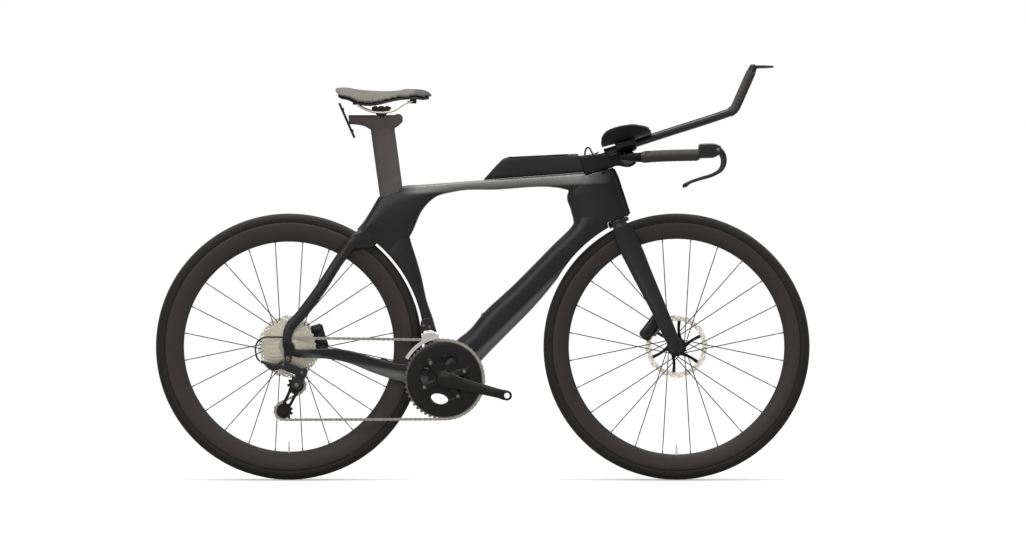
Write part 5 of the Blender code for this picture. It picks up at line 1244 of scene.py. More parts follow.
seatSizes = {
    "padThickness": 13.0, "shellGap": 0.9, "shellThickness": 5.0, "skirt": 10.4, "railRadius": 3.5,
    "railSpacing": 44.0, "railRise": 7.5, "cradleRadius": 15.0, "cradleDrop": 8.4, "seamAt": 84.0,
    "headTop": 192.0,
}
saddleRows = [  # from the cradle's axis: forward, half width, top, lower edge
    (-118, 50, 63, 49), (-110, 60, 62.6, 38), (-87, 68, 61.5, 30), (-60, 66, 57, 18.5), (-41, 58, 55, 15),
    (-10, 42, 53.5, 17), (5, 35, 53, 20.5), (41, 25, 55, 28.5), (64, 21.5, 58, 31), (85, 20, 59.5, 32),
    (107, 18, 59, 30), (122, 14, 53, 32), (130, 8, 46, 33)]
saddleCurve = np.array([(row[0], *row[3:]) for row in
                        easedRows([(x, 0, 0, half, top, edge) for x, half, top, edge in saddleRows], 6)])


def saddleAt(x):
    # half width, top and lower edge of the saddle there
    return [float(np.interp(x, saddleCurve[:, 0], saddleCurve[:, k])) for k in (1, 2, 3)]


def saddleLayer(low, high, inset, reachIn, count=24, rows=60):
    rings = []
    first, last = saddleRows[0][0] + reachIn, saddleRows[-1][0] - reachIn
    for i in range(rows + 1):
        x = first + (last - first) * (1 - cos(pi * i / rows)) / 2
        half, top, edge = saddleAt(x)
        half -= inset
        topRow, lowRow = [], []
        for k in range(count + 1):
            v = sin(pi * (k / count - 0.5))
            skin = top - (top - edge - seatSizes["skirt"]) * abs(v) ** 2.4
            thin = 1 - 0.45 * v * v
            for row, depth in ((topRow, high), (lowRow, low)):
                row.append(cradleAxis + Vector((x, half * v, skin - depth * thin)))
        rings.append(lowRow + topRow[::-1])
    return loft(rings)


def postHead(x, z, y=0.0):
    return cradleAxis + Vector((x, y, z - seatSizes["cradleDrop"]))


def makeSeatpost():
    stations = [(postHead(-84.5, 0), postHead(-82, -23), 0, 9), (postHead(-45, 0), postHead(-43, -29), 0, 10),
                (postHead(-26, 0), postHead(-26, -38), 0, 11), (postHead(30, 0), postHead(30, -36), 0, 11),
                (postHead(52, -1), postHead(50, -22), 0, 9), (postHead(55, -6), postHead(54, -18), 0, 7)]
    groove = disc(seatSizes["cradleRadius"] + 0.3, -40, 40, cradleAxis)
    shells = [postSection(-102, seatSizes["headTop"] - 22), smoothBeam(stations, power=3.2)]
    post = moulded("postShell", shells, [groove], finishes["post"], voxel=1.4, passes=7)
    place(post, "seatpost", "carbon_black", "seatpost")
    # rear mounting plate with its two bolts
    along = Vector((-0.402, 0.0, 0.916)).normalized()
    normal = along.cross(sideways)
    centre = postHead(-88, -14)
    plate = block(centre, normal, along, 49, sideways, 20,
                  ((-3, 1.2), (-2.2, 0.2), (2.2, 0.2), (3, 1.2)), 72, 7.0)
    bolts = [boltHead(centre + along * reach - normal * 3 + sideways * 9 * sign, -normal)
             for reach in (-30, 30) for sign in (-1, 1)]
    lugs = smoothBeam(grownStations(stations[:2], 0.3), power=3.2)
    backPlate = carved(newPiece("backPlate", plate, finishes["alloy"]), lugs, sharp=35)
    place(backPlate, "seatpost", "black_alloy", "rear_mount_plate")
    addPiece("backBolts", joined(*bolts), "bolt", "seatpost", "black_alloy", "rear_mount_plate")


def railPoints():
    half, z = seatSizes["railSpacing"] / 2, seatSizes["railRise"]
    points = [(-68, 28, half + 8), (-57, 16, half + 5), (-43, z, half), (40, z, half), (56, 19, half - 4),
              (68, 24, half - 10), (80, 26, 6), (83, 26.5, 0)]
    return [cradleAxis + Vector((x, y, dz)) for x, dz, y in points]


def railTube(radius, stretch=0.0):
    rails = railPoints()
    loop = rails + [Vector((p.x, -p.y, p.z)) for p in rails[-2::-1]]
    if stretch:
        loop[0] += (loop[0] - loop[1]).normalized() * stretch
        loop[-1] += (loop[-1] - loop[-2]).normalized() * stretch
    return roundTube(easedLine(loop, 10), radius)


def makeRails():
    addPiece("railTube", railTube(seatSizes["railRadius"]), "steel", "saddle", "steel", "saddle_rails")
    # cradle: a barrel in the post's groove, a lower and an upper plate, and a bolt at each end
    axis = cradleAxis
    plate = block(axis, upward, lengthways, 25, sideways, 29,
                  ((1.5, 1.6), (2.5, 0.3), (11.5, 0.3), (12.5, 1.6)), power=6.0)
    cradle = newPiece("cradlePlate", plate, finishes["alloy"])
    ways = []
    for sign in (1, -1):
        bore = axis + sideways * seatSizes["railSpacing"] / 2 * sign + Vector((0, 0, seatSizes["railRise"]))
        ways.append(disc(seatSizes["railRadius"] + 0.3, -60, 60, bore, lengthways, 32))
    carved(cradle, *ways, sharp=35)
    place(cradle, "rail_clamp", "black_alloy", "rail_clamp")
    barrel = disc(seatSizes["cradleRadius"], -11, 11, axis, edge=1)
    bolts = [boltHead(axis + Vector((x, 0, 12)), upward, 4.2, 3) for x in (-15, 15)]
    bolts += [turned([(0, -11.6), (5.5, -11.6), (5.5, 11.6), (0, 11.6)], axis, sideways, 32)]
    addPiece("cradleBarrel", barrel, "alloy", "rail_clamp", "black_alloy", "rail_clamp")
    addPiece("cradleBolts", joined(*bolts), "bolt", "rail_clamp", "black_alloy", "rail_clamp")


def saddleFinish():
    # synthetic cover: fine pebbled grain, olive-grey along the back and a smooth dark nose
    body, nose = (0.066, 0.064, 0.050), (0.030, 0.0275, 0.025)
    material, tree, shader = newMaterial("saddle_cover", body, 0.6, specular=0.3)
    where = coordinates(tree)
    forward = addNode(tree, "ShaderNodeSeparateXYZ", inputs={"Vector": where}).outputs["X"]
    seam = (cradleAxis.x + seatSizes["seamAt"]) * mm
    share = ranged(tree, forward, seam - 0.0006, seam + 0.0006, 0.0, 1.0)
    worn = noise(tree, where, 22.0, 4.0)
    light = tuple(c * 1.25 for c in body)
    base = blendColours(tree, ranged(tree, worn, 0.3, 0.7, 0.0, 1.0), body, light)
    tree.links.new(blendColours(tree, share, base, nose), shader.inputs["Base Color"])
    pebble = addNode(tree, "ShaderNodeTexVoronoi", {"feature": "SMOOTH_F1"},
                     {"Vector": where, "Scale": 750.0})
    tree.links.new(ranged(tree, worn, 0.3, 0.7, 0.55, 0.68), shader.inputs["Roughness"])
    addBump(tree, shader, pebble.outputs["Distance"], 0.35, 0.12)
    return material


def makeSaddle():
    size = seatSizes
    pad = size["padThickness"]
    finishes["saddle"] = saddleFinish()
    cover = newPiece("saddlePad", saddleLayer(pad - 0.6, 0.9, 0.8, 0.6), finishes["saddle"])

    swollen(cover, 1.6, lambda normal: normal.z < -0.35)
    seamX = cradleAxis.x + size["seamAt"]

    def sewn(point, normal):
        # a relief groove along the middle and a sewn line across the nose
        local = point.x - cradleAxis.x
        depth = 0.0
        if normal.z > 0.2:
            reach = softstep(local, -92, -60) * (1 - softstep(local, 30, 62))
            depth += 3.6 * reach * max(0.0, 1 - (point.y / 9.0) ** 2) ** 2
        depth += 0.7 * max(0.0, 1 - ((point.x - seamX) / 1.8) ** 2)
        return point - normal * depth

    moved(cover, sewn)
    place(cover, "saddle", "saddle_cover", "saddle_pad")
    gap = size["shellGap"]
    shell = newPiece("saddleBase", saddleLayer(pad + gap + size["shellThickness"], pad + gap, 3, 8, 20, 48),
                     finishes["plastic"])
    reach = size["railSpacing"] / 2 + 8
    sockets = [block(cradleAxis + Vector(spot), upward, lengthways, halfA, sideways, halfB,
                     ((-high, 1), (1 - high, 0), (high, 0)), 40, 5.0)
               for spot, halfA, halfB, high in (((81.5, 0, 32), 8.5, 11, 11), ((-67, reach, 28), 6, 7, 10),
                                                ((-67, -reach, 28), 6, 7, 10))]
    holders = newPiece("railSockets", joined(*sockets), finishes["plastic"])
    carved(holders, railTube(size["railRadius"] + 0.5, 0.5), sharp=35)
    place(shell, "saddle", "black_plastic", "saddle_shell")
    place(holders, "saddle", "black_plastic", "saddle_shell")


makeSeatpost()
makeRails()
makeSaddle()
print("seat done")


# Cockpit

def makeStem():
    size = cockpitSizes
    half, low, top = size["stemHalfWidth"], headTop + 0.3, headTop + size["stemRise"]
    stations = [
        (atSteer(-62, top), atSteer(-62, low), 0, half), (atSteer(0, top - 12), atSteer(0, low), 0, half),
        (atSteer(22, top - 18), atSteer(22, low), 0, half), (atBar(-32, 19), atBar(-28, -19), 0, half),
        (atBar(14, 19), atBar(14, -19), 0, half), (atBar(23, 12), atBar(23, -13), 0, half - 1)]
    tail = newPiece("tail", smoothBeam(stations[:2], 12, 56, 6.0), finishes["carbon"])
    rounding = newPiece("rounding", disc(size["tailRadius"], low - 20, top + 40, crownTop, steerUp, 128),
                        finishes["carbon"])
    addCut(tail, rounding, "INTERSECT")
    settled(tail)
    removed(rounding)
    shape = bmesh.new()
    shape.from_mesh(tail.data)
    for vert in shape.verts:
        vert.co /= mm
    removed(tail)
    stem = moulded("stemShell", [shape, smoothBeam(stations[1:], 8, 56, 5.0)], [], finishes["carbon"],
                   voxel=1.5, passes=6)
    place(stem, "fork", "carbon_black", "stem")
    bolts = [boltHead(atBar(22.5, z, y), lengthways, 3.2, 1.0) for y in (-11, 11) for z in (-10, 10)]
    cap = turned([(0, -2), (12, -2), (12, 0.2), (11, 1.2), (4.2, 1.2), (3.4, 0.2), (0, 0.2)],
                 atSteer(-6, top - 10.6), (steerUp + steerForward * -0.19).normalized(), 48)
    addPiece("stemBolts", joined(*bolts), "bolt", "fork", "carbon_black", "stem")
    addPiece("topCap", cap, "alloy", "fork", "carbon_black", "stem")


barHalf = cockpitSizes["barWidth"] / 2
barStations = [
    (0, 0, 0, 15.9, 15.9), (23, 0, 0, 15.9, 15.9), (60, 3, 1.5, 10, 25), (125, 7, 2.5, 9.5, 25),
    (barHalf - 32, 16, 3, 10.5, 19), (barHalf - 12, 30, 3.5, 11.3, 14), (barHalf - 4, 40, 3.9, 11.9, 12.2),
    (barHalf, 54, 5, 12.2, 12.2), (barHalf, 100, 7.5, 12.2, 12.2), (barHalf, 183.8, 9.5, 12.2, 12.2)]


def makeBaseBar():
    mirrored = [(-y, x, z, a, b) for y, x, z, a, b in barStations[:0:-1]]
    rows = mirrored + barStations
    path = [atBar(x, z, y) for y, x, z, _, _ in rows]
    bar = smoothSweep(path, [(a, b) for *_, a, b in rows], 8, 40)
    addPiece("barShell", bar, "bar", "fork", "carbon_black", "base_bar")


def wrappedSleeve(path, radius, pitch, ridge, handed, count=48, spacing=1.3, endCap=2.0):
    # tape wound round a tube: each turn laps over the last by one small step
    line = easedLine(path, 60)
    travelled, points = [0.0], [line[0]]
    run = 0.0
    for before, after in zip(line, line[1:]):
        run += (after - before).length
        if run - travelled[-1] >= spacing:
            travelled.append(run)
            points.append(after)
    total = travelled[-1]
    rings = []
    for i, (point, side, above) in enumerate(framed(points, sideways)):
        ease = min(1.0, travelled[i] / endCap, (total - travelled[i]) / endCap)
        ring = []
        for k in range(count):
            turn = 2 * pi * k / count
            lap = (travelled[i] / pitch + handed * k / count) % 1.0
            lift = softstep(lap, 0.0, 0.12) * (1 - lap * 0.75)
            reach = radius - 1.5 * (1 - ease) - ridge * (1 - lift)
            ring.append(point + side * cos(turn) * reach + above * sin(turn) * reach)
        rings.append(ring)
    return loft(rings)


def tapeFinish():
    material, tree, shader = newMaterial("bar_tape", (0.038, 0.037, 0.035), 0.88, specular=0.2)
    where = coordinates(tree)
    dots = addNode(tree, "ShaderNodeTexVoronoi", inputs={"Vector": where, "Scale": 620.0, "Randomness": 0.4})
    worn = noise(tree, where, 30.0, 4.0)
    varied(tree, shader, (0.040, 0.0385, 0.0365), worn, 0.2, 0.88, 0.05)
    addBump(tree, shader, dots.outputs["Distance"], 0.4, 0.15)
    return material


def makeTape():
    finishes["tape"] = tapeFinish()
    size = cockpitSizes
    for name, sign in (("Left", 1), ("Right", -1)):
        y = barHalf * sign
        path = [atBar(40, 3.9, y - 3.6 * sign), atBar(46, 4.4, y - 1.2 * sign), atBar(58, 5.3, y),
                atBar(100, 7.5, y), atBar(140, 8.7, y), atBar(183.5, 9.5, y)]
        tape = wrappedSleeve(path, size["gripRadius"], size["tapePitch"], size["tapeRidge"], sign)
        addPiece("tape" + name, tape, "tape", "fork", "carbon_black", "base_bar", sharp=70)
        band = turned([(14.28, -1), (12, -1), (12, 9), (14.28, 9)], atBar(48, 4.6, y - 0.8 * sign),
                      Vector((1, 0, 0.075)).normalized(), 48)
        addPiece("tapeBand" + name, band, "rubber", "fork", "carbon_black", "base_bar")


def makeBrakes():
    size = cockpitSizes
    for side, sign in sides:
        y = barHalf * sign
        pivot = atBar(*size["brakePivot"], y)
        stations = [(atBar(184.2, 37), atBar(184.2, 1), y, 12.5), (atBar(205, 38), atBar(205, 2), y, 11),
                    (atBar(226, 37), atBar(226, 4), y, 9.5), (atBar(239, 31), atBar(240, 12), y, 9)]
        body = newPiece(side + "BrakeBody", smoothBeam(stations, 10, 56, 4.0), finishes["gloss"])
        carved(body, slab(pivot + lengthways * 21, lengthways * 39, sideways * (size["leverHalfWidth"] + 0.3),
                          upward * 40), sharp=35)
        place(body, "fork", "black_plastic", "brake_body_" + side)
        caps = [turned([(0, s * 7), (4.4, s * 7), (4.4, s * 9.4), (3.4, s * 10.0), (0, s * 10.0)], pivot,
                       sideways, 32) for s in (-1, 1)]
        addPiece(side + "BrakePins", joined(*caps), "bolt", "fork", "black_plastic", "brake_body_" + side)
        path = [(229, 26), (241, 16), (247.5, 0), (247, -13), (241, -27), (222, -40), (185, -52), (158, -62),
                (147, -69.5), (144.5, -71.5)]
        widths = [(6.5, 4.2), (6.5, 4.2), (6.2, 4.3), (5.8, 4.8), (5.3, 5.3), (4.8, 5.5), (4.1, 5.5),
                  (4.1, 5.2), (4.6, 4.8), (2.6, 3)]
        blade = smoothSweep([atBar(x, z, y) for x, z in path], widths, 10, 28, 2.6, side=sideways)
        hub = disc(6.8, -4.2, 4.2, pivot, edge=0.6)
        lever = newPiece(side + "Lever", joined(blade, hub), finishes["gloss"])
        place(lever, "brake_lever_" + side, "carbon_black", "brake_lever_" + side)


def extensionPath(y, steps=14):
    size = cockpitSizes
    straight, radius = size["extensionStraight"], size["bendRadius"]
    path = [extensionLine(d, y) for d in (0, straight * 0.5, straight)]
    centre = extensionLine(straight, y, radius)
    for k in range(1, steps + 1):
        angle = size["extensionAngle"] + (size["tipAngle"] - size["extensionAngle"]) * k / steps
        path.append(polar(centre, radius, angle - 90))
    tip = radians(size["tipAngle"])
    half = Vector((cos(tip), 0, sin(tip))) * size["tip"] * 0.5
    path.append(path[-1] + half)
    path.append(path[-1] + half)
    return path


def makeExtensions():
    size = cockpitSizes
    tip = radians(size["tipAngle"])
    along = Vector((cos(tip), 0, sin(tip)))
    r = size["extensionRadius"]
    for side, sign in sides:
        y = size["extensionSpacing"] / 2 * sign
        path = extensionPath(y)
        end = path[-1]
        body = "extension_" + side
        shell = smoothSweep(path, (r - 0.5, r - 0.5), 6, 40, side=sideways)
        addPiece(side + "ExtensionTube", shell, "satin", body, "carbon_black", "extension_" + side)
        tail = turned([(0, 2), (4, 2), (8, 2), (8, -0.4), (r - 0.4, -0.4), (r, 0.4), (r, 5), (r - 0.5, 5.4),
                       (0, 5.4)], path[0], (path[1] - path[0]).normalized(), 40)
        addPiece(side + "ExtensionTail", tail, "rubber", body, "carbon_black", "extension_" + side)
        sleeve = wrappedSleeve(path[4:-1] + [end - along * 0.5], r + 1.2, 11.0, 0.6, sign)
        addPiece(side + "ExtensionGrip", sleeve, "tape", body, "carbon_black", "extension_" + side, sharp=70)
        pivot = end + along * 11
        shifter = newPiece(side + "ShifterBody",
                           turned([(0, 0.3), (r - 0.6, 0.3), (r, 0.9), (r, 10), (r - 0.8, 14), (r - 2.2, 16),
                                   (0, 16)], end, along, 56), finishes["gloss"])
        carved(shifter, slab(end + along * 23.5, sideways * 5.4, along.cross(sideways) * 30, along * 20),
               sharp=35)
        place(shifter, body, "black_alloy", "shifter_body_" + side)
        stations = [(0, 0, 4, 5.1), (18, 0.6, 3.8, 5.1), (40, 0.8, 3, 5.5), (49, 0.8, 2.4, 5.5),
                    (52, 0.8, 1, 4)]
        blade = smoothSweep([pivot + Vector((x, 0, z)) for x, z, _, _ in stations],
                            [(a, b) for _, _, a, b in stations], 10, 28, 3.0, side=sideways)
        lever = joined(blade, disc(7, -5.1, 5.1, pivot, edge=0.6), disc(3.6, -9.4, 9.4, pivot, edge=0.5))
        addPiece(side + "ShiftLever", lever, "gloss", "shifter_lever_" + side, "carbon_black",
                 "shifter_lever_" + side)


# Arm rests

cupTilt = radians(cockpitSizes["cupAngle"])
cupAlong = Vector((cos(cupTilt), 0, sin(cupTilt)))
cupAbove = Vector((-sin(cupTilt), 0, cos(cupTilt)))


def cupLayer(foot, low, high, inset=0.0, count=28, rows=44):
    # a strip of the trough between two depths above its outer skin
    size = cockpitSizes
    rings = []
    for i in range(rows + 1):
        reach = size["cupLength"] * (1 - cos(pi * i / rows)) / 2
        reach = min(max(reach, inset), size["cupLength"] - inset)
        share = reach / size["cupLength"]
        peak = size["cupPeak"]
        if share < peak:
            fall = ((peak - share) / (peak + 0.01)) ** 3
        else:
            fall = ((share - peak) / (1.02 - peak)) ** 2.2
        height = size["cupHeight"] * (1 - fall) ** 0.62
        half = size["padWidth"] / 2 * (1 - 0.12 * (2 * share - 1) ** 4) - inset
        lowRow, highRow = [], []
        for k in range(count + 1):
            v = sin(pi * (k / count - 0.5))
            slope = 2 * height * v / half
            length = hypot(1, slope)
            for row, depth in ((lowRow, low), (highRow, high)):
                row.append(foot + cupAlong * reach + sideways * (half * v - depth * slope / length)
                           + cupAbove * (height * v * v + depth / length))
        rings.append(lowRow + highRow[::-1])
    return loft(rings)


def padFinish():
    # close black knit over foam, with a slight dusty bloom
    material, tree, shader = newMaterial("pad_cover", (0.016, 0.0155, 0.015), 0.9, specular=0.15)
    shader.inputs["Sheen Weight"].default_value = 0.25
    shader.inputs["Sheen Roughness"].default_value = 0.5
    where = coordinates(tree)
    knit = addNode(tree, "ShaderNodeTexWave", {"bands_direction": "X"}, {"Vector": where, "Scale": 300.0})
    purl = addNode(tree, "ShaderNodeTexWave", {"bands_direction": "Y"}, {"Vector": where, "Scale": 300.0})
    weave = calculate(tree, "MULTIPLY", knit.outputs["Fac"], purl.outputs["Fac"])
    varied(tree, shader, (0.0175, 0.017, 0.0165), noise(tree, where, 24.0, 4.0), 0.25, 0.88, 0.05)
    addBump(tree, shader, weave, 0.4, 0.15)
    return material


def makeArmRests():
    size = cockpitSizes
    finishes["pad"] = padFinish()
    spacing = size["extensionSpacing"] / 2
    midRun = -size["extensionStart"][0] / cos(radians(size["extensionAngle"]))
    run = (extensionLine(1) - extensionLine(0)).normalized()
    parts = [block(barClamp, upward, lengthways, 19, sideways, spacing,
                   ((19.3, 1.2), (20.2, 0.2), (26.4, 0.2), (27.3, 1.2)))]
    bolts = []
    for sign in (1, -1):
        y, padY = spacing * sign, size["padSpacing"] / 2 * sign
        foot = atBar(*size["cupStart"], padY)
        outer = size["extensionRadius"] + 5
        ringProfile = [(size["extensionRadius"] + 0.2, -21), (outer - 1, -22), (outer, -21), (outer, 21),
                       (outer - 1, 22), (size["extensionRadius"] + 0.2, 21)]
        parts.append(turned(ringProfile, extensionLine(midRun, y), run, 64))
        middle = foot + cupAlong * 60 - cupAbove * 7.3
        middle.y = (y + padY + 14 * sign) / 2
        reach = abs(padY + 14 * sign - y) / 2
        parts.append(block(middle, cupAbove, cupAlong, 27, sideways, reach,
                           ((-7, 1.2), (-6, 0.2), (6, 0.2), (7, 1.2))))
        for d in (-14, 14):
            bolts.append(boltHead(extensionLine(midRun + d, y) - run.cross(sideways) * (outer - 0.5),
                                  -run.cross(sideways), 3.2, 2.2))
            bolts.append(boltHead(foot + cupAlong * (60 + d) + cupAbove * (size["cupThickness"] - 0.4),
                                  cupAbove, 3.4, 0.9))
    bridge = newPiece("armBridge", joined(*parts), finishes["alloy"])
    place(bridge, "fork", "black_alloy", "arm_rest_bridge")
    addPiece("armBridgeBolts", joined(*bolts), "bolt", "fork", "black_alloy", "arm_rest_bridge")
    low = size["cupThickness"] + size["padGap"]
    high = size["cupThickness"] + size["padThickness"]
    for side, sign in sides:
        foot = atBar(*size["cupStart"], size["padSpacing"] / 2 * sign)
        cup = newPiece(side + "Cup", cupLayer(foot, 0, size["cupThickness"]), finishes["plastic"])
        place(cup, "fork", "black_plastic", "arm_cup_" + side)
        pad = newPiece(side + "ArmPad", cupLayer(foot, low, high - 0.8, 0.8), finishes["pad"])
        swollen(pad, 1.2, lambda normal: normal.dot(cupAbove) < -0.15)
        place(pad, "fork", "pad_foam", "arm_pad_" + side)


makeStem()
makeBaseBar()
makeTape()
makeBrakes()
makeExtensions()
makeArmRests()
print("cockpit done")


# Fittings on the frame

def strut(start, end, halfWidth, halfThickness, edge=0.5):
    # a flat bar with rounded ends and eased edges, thin along Y
    rows = []
    for depth, inset in ((-halfThickness, edge), (edge - halfThickness, 0), (halfThickness - edge, 0),
                         (halfThickness, edge)):
        outline = capsule(start, halfWidth - inset, end, halfWidth - inset - 0.001, 10)
        rows.append([Vector((p.x, start.y + depth, p.z)) for p in outline])
    return loft(rows)


def easedPlate(outlineAt, yLow, yHigh, edge=0.6):
    # a plate whose outline is drawn in by the edge on both faces
    rows = []
    for y, inset in ((yLow, edge), (yLow + edge, 0), (yHigh - edge, 0), (yHigh, edge)):
        rows.append([Vector((p.x, y, p.z)) for p in outlineAt(inset)])
    return loft(rows)


def capsulePlate(first, firstRadius, second, secondRadius, yLow, yHigh, edge):
    return easedPlate(lambda inset: capsule(first, firstRadius - inset, second, secondRadius - inset),
                      yLow, yHigh, edge)


def makeHeadParts():
    for name, low in (("headset_lower", 0.3), ("headset_upper", headTop - 7.7)):
        ring = turned([(14.9, low), (20.3, low), (20.5, low + 0.4), (20.5, low + 7), (20.1, low + 7.4),
                       (14.9, low + 7.4)], crownTop, steerUp, 72)
        piece = newPiece(name.replace("headset_", "bearing"), ring, finishes["alloy"])
        place(piece, "frame", "steel", name)
    stations = [(atSteer(reach, up), atSteer(20, up), 0, 8) for up, reach in
                ((4, 35.5), (30, 35.5), (70, 35), (headTop - 20, 34), (headTop - 4, 31.5))]
    cover = newPiece("headCover", smoothBeam(stations, 8, 48, 2.6), finishes["carbon"])
    carved(cover, smoothBeam(grownStations(headStations, 0.35), 8, 72, 2.5))
    place(cover, "frame", "carbon_black", "head_tube_cover")
    cup = frameSizes["crankShellRadius"]
    shell = frameSizes["crankShellWidth"] / 2
    lip = shell + 3.5
    profile = [(cup - 4, -shell), (cup - 1.2, -shell - 0.3), (cup - 1, -lip + 0.6), (cup - 1.6, -lip),
               (12.6, -lip), (12.6, lip), (cup - 1.6, lip), (cup - 1, lip - 0.6), (cup - 1.2, shell + 0.3),
               (cup - 4, shell)]
    addPiece("crankCups", turned(profile, crankAxle, sideways, 72), "alloy", "frame", "black_alloy",
             "bottom_bracket")
    centre = postPoint(frameSizes["postChord"] / 2 + 3.5, 3)
    body = block(centre, postUp, postForward, 7.4, sideways, 5, ((-22, 0), (-1, 0), (0, 0.8)), 40, 5.0)
    wedge = newPiece("seatWedge", joined(body, boltHead(centre, postUp, 2.8, 0.8)), finishes["alloy"])
    carved(wedge, postSection(-60, 60, 0.5))
    place(wedge, "frame", "black_alloy", "seat_wedge")


def makeAxles():
    for name, axle, half, body in (("front", frontAxle, 62.0, "fork"), ("rear", rearAxle, 78.0, "frame")):
        profile = [(0, 2 - half), (5.4, 2 - half), (6, 2.6 - half), (6, half + 0.3), (8.5, half + 0.3),
                   (8.5, half + 2.4), (7.7, half + 4), (3.4, half + 4), (3, half + 1.6), (0, half + 1.6)]
        axleRod = newPiece(name + "AxleRod", turned(profile, axle, sideways, 48), finishes["alloy"])
        place(axleRod, body, "black_alloy", name + "_thru_axle")


def makeCaliper(name, axle, angle, y, stays, body):
    along = polar(Vector(), 1, angle)
    across = polar(Vector(), 1, angle + 90)
    centre = axle + along * 81 + sideways * (y + 1)
    stations = ((-34, 0.62), (-32, 0.78), (-27, 1), (-12, 0.97), (12, 0.97), (27, 1), (32, 0.78), (34, 0.62))
    rings = [ovalRing(centre + across * reach, along * 17 * scale, sideways * 11.5 * scale, 56, 3.4)
             for reach, scale in stations]
    caliper = newPiece(name + "CaliperBody", loft(rings), finishes["gloss"])
    carved(caliper, disc(81.5, y - 1.6, y + 1.6, axle, segments=160), *stays, sharp=35)
    place(caliper, body, "black_alloy", name + "_caliper")
    details = []
    for side in (-1, 1):
        face = centre + sideways * (11.0 * side)
        for reach in (-17, 17):
            details.append(turned([(0, -1), (7.6, -1), (7.6, 0.35), (6.6, 0.8), (0, 0.8)],
                                  face + across * reach + along * 1.5 - sideways * 0.4 * side,
                                  sideways * side, 32))
        for reach in (-28, 28):
            details.append(boltHead(face + across * reach * 0.98 + along * 5 - sideways * 2.2 * side,
                                    sideways * side, 2.8, 1.6))
    addPiece(name + "CaliperCaps", joined(*details), "alloy", body, "black_alloy", name + "_caliper")
    pads = [strut(axle + along * 64 - across * 9 + sideways * (y + 2.6 * side),
                  axle + along * 64 + across * 9 + sideways * (y + 2.6 * side), 5.5, 0.9) for side in (-1, 1)]
    addPiece(name + "BrakePads", joined(*pads), "bolt", body, "black_alloy", name + "_caliper")


boxSizes = {"halfWidth": 16.5, "length": 260.82, "lidStart": 60.0, "lidEnd": 218.0, "lidThickness": 3.0}


def boxStation(forward, height, halfWidth, sink=0.0):
    foot = topLine(topLength - boxSizes["length"] + forward) + Vector((0, 0, 0.3 + sink))
    return foot + upward * (height - sink), foot, 0, halfWidth


def makeBox():
    size = boxSizes
    half, back = size["halfWidth"], topLength - size["length"]
    stations = [boxStation(0, 1.5, 6), boxStation(14, 16, 11), boxStation(36, 38.5, 14.5),
                boxStation(54, 52.5, half), boxStation(67, 54.5, half), boxStation(size["lidEnd"], 50, half),
                boxStation(size["length"] + 4, 47.5, half)]
    box = newPiece("boxShell", smoothBeam(stations, 6, 64, 4.2), finishes["plastic"])
    lidTop = [topLine(back + size["lidStart"]) + Vector((0, 0, 54.5)),
              topLine(back + size["lidEnd"]) + Vector((0, 0, 50.5))]
    along = (lidTop[1] - lidTop[0]).normalized()
    above = Vector((-along.z, 0, along.x))
    middle = (lidTop[0] + lidTop[1]) / 2
    reach = (lidTop[1] - lidTop[0]).length / 2
    seat = slab(middle + above * (20 - size["lidThickness"]), along * (reach + 0.4), sideways * 30,
                above * 20)
    hollow = smoothBeam([boxStation(size["lidStart"] - 6, 70, half - 6, 4),
                         boxStation(size["lidStart"] + 10, 70, half - 5.2, 3),
                         boxStation(size["lidEnd"] - 8, 70, half - 5.2, 3)], 2, 64, 6.0)
    tail = disc(cockpitSizes["tailRadius"] + tailGap, 0, 90, atSteer(0, headTop - 30), steerUp, 96)
    carved(box, seat, hollow, tail, sharp=35)
    place(box, "frame", "black_plastic", "top_tube_box")
    lid = block(middle, above, along, reach, sideways, half - 1.2,
                ((-2.9, 0.4), (-2.4, 0.1), (-0.6, 0.1), (-0.15, 0.5), (0, 1.1)), 96)
    pull = roundTube([lidTop[0] + along * 9 + above * 0.1 + sideways * y for y in (-5, 5)], 1.1, above, 16)
    addPiece("boxLid", joined(lid, pull), "plastic", "box_lid", "black_plastic", "box_lid")


def makeBosses():
    # bottle bosses on the down tube's upper side
    pattern = atOrigin([(0, -3), (5.6, -3), (5.6, 1.2), (4.9, 1.8), (3.2, 1.8), (2.6, 0.4), (0, 0.4)], 32)
    slope = (atCrank(28.6, 98.2) - atCrank(169.1, 234.6)).normalized()
    up = slope.cross(sideways)
    up = up if up.z > 0 else -up
    line = [atCrank(66.9, 130.1) + Vector((-7, 0, -8)), atCrank(97.6, 167.7), atCrank(157, 222)]
    places = [(p - up * 0.4, up, sideways, unstretched) for p in line]
    place(copiesAt("bottleBosses", pattern, places, finishes["bolt"]), "frame", "frame_paint", "frame")


# Drivetrain

driveSizes = {
    "pitch": 12.7, "cogTeeth": (11, 13, 15, 17, 19, 21, 23, 25, 27, 30, 34), "cogSpacing": 3.74,
    "firstCogY": -66.0, "bigRingY": -47.0, "ringSpacing": 7.0, "bigTeeth": 50, "smallTeeth": 34,
    "pulleyTeeth": 11, "guide": (20.0, -98.0), "tension": (-13.0, -164.0), "crankLength": 165.0,
    "crankAngle": -14.3, "spread": 36.0, "boltRadius": 55.0, "hangerFace": -83.3,
    "lowerBlend": 100.0, "crankFace": 75.0, "crankThickness": 12.5, "eyeRadius": 12.9, "eyeInner": 62.6,
    "eyeOuter": 74.95, "threadRadius": 7.0,
}
guide = atRear(*driveSizes["guide"])
tension = atRear(*driveSizes["tension"])


def pitchRadius(teeth):
    return driveSizes["pitch"] / (2 * sin(pi / teeth))


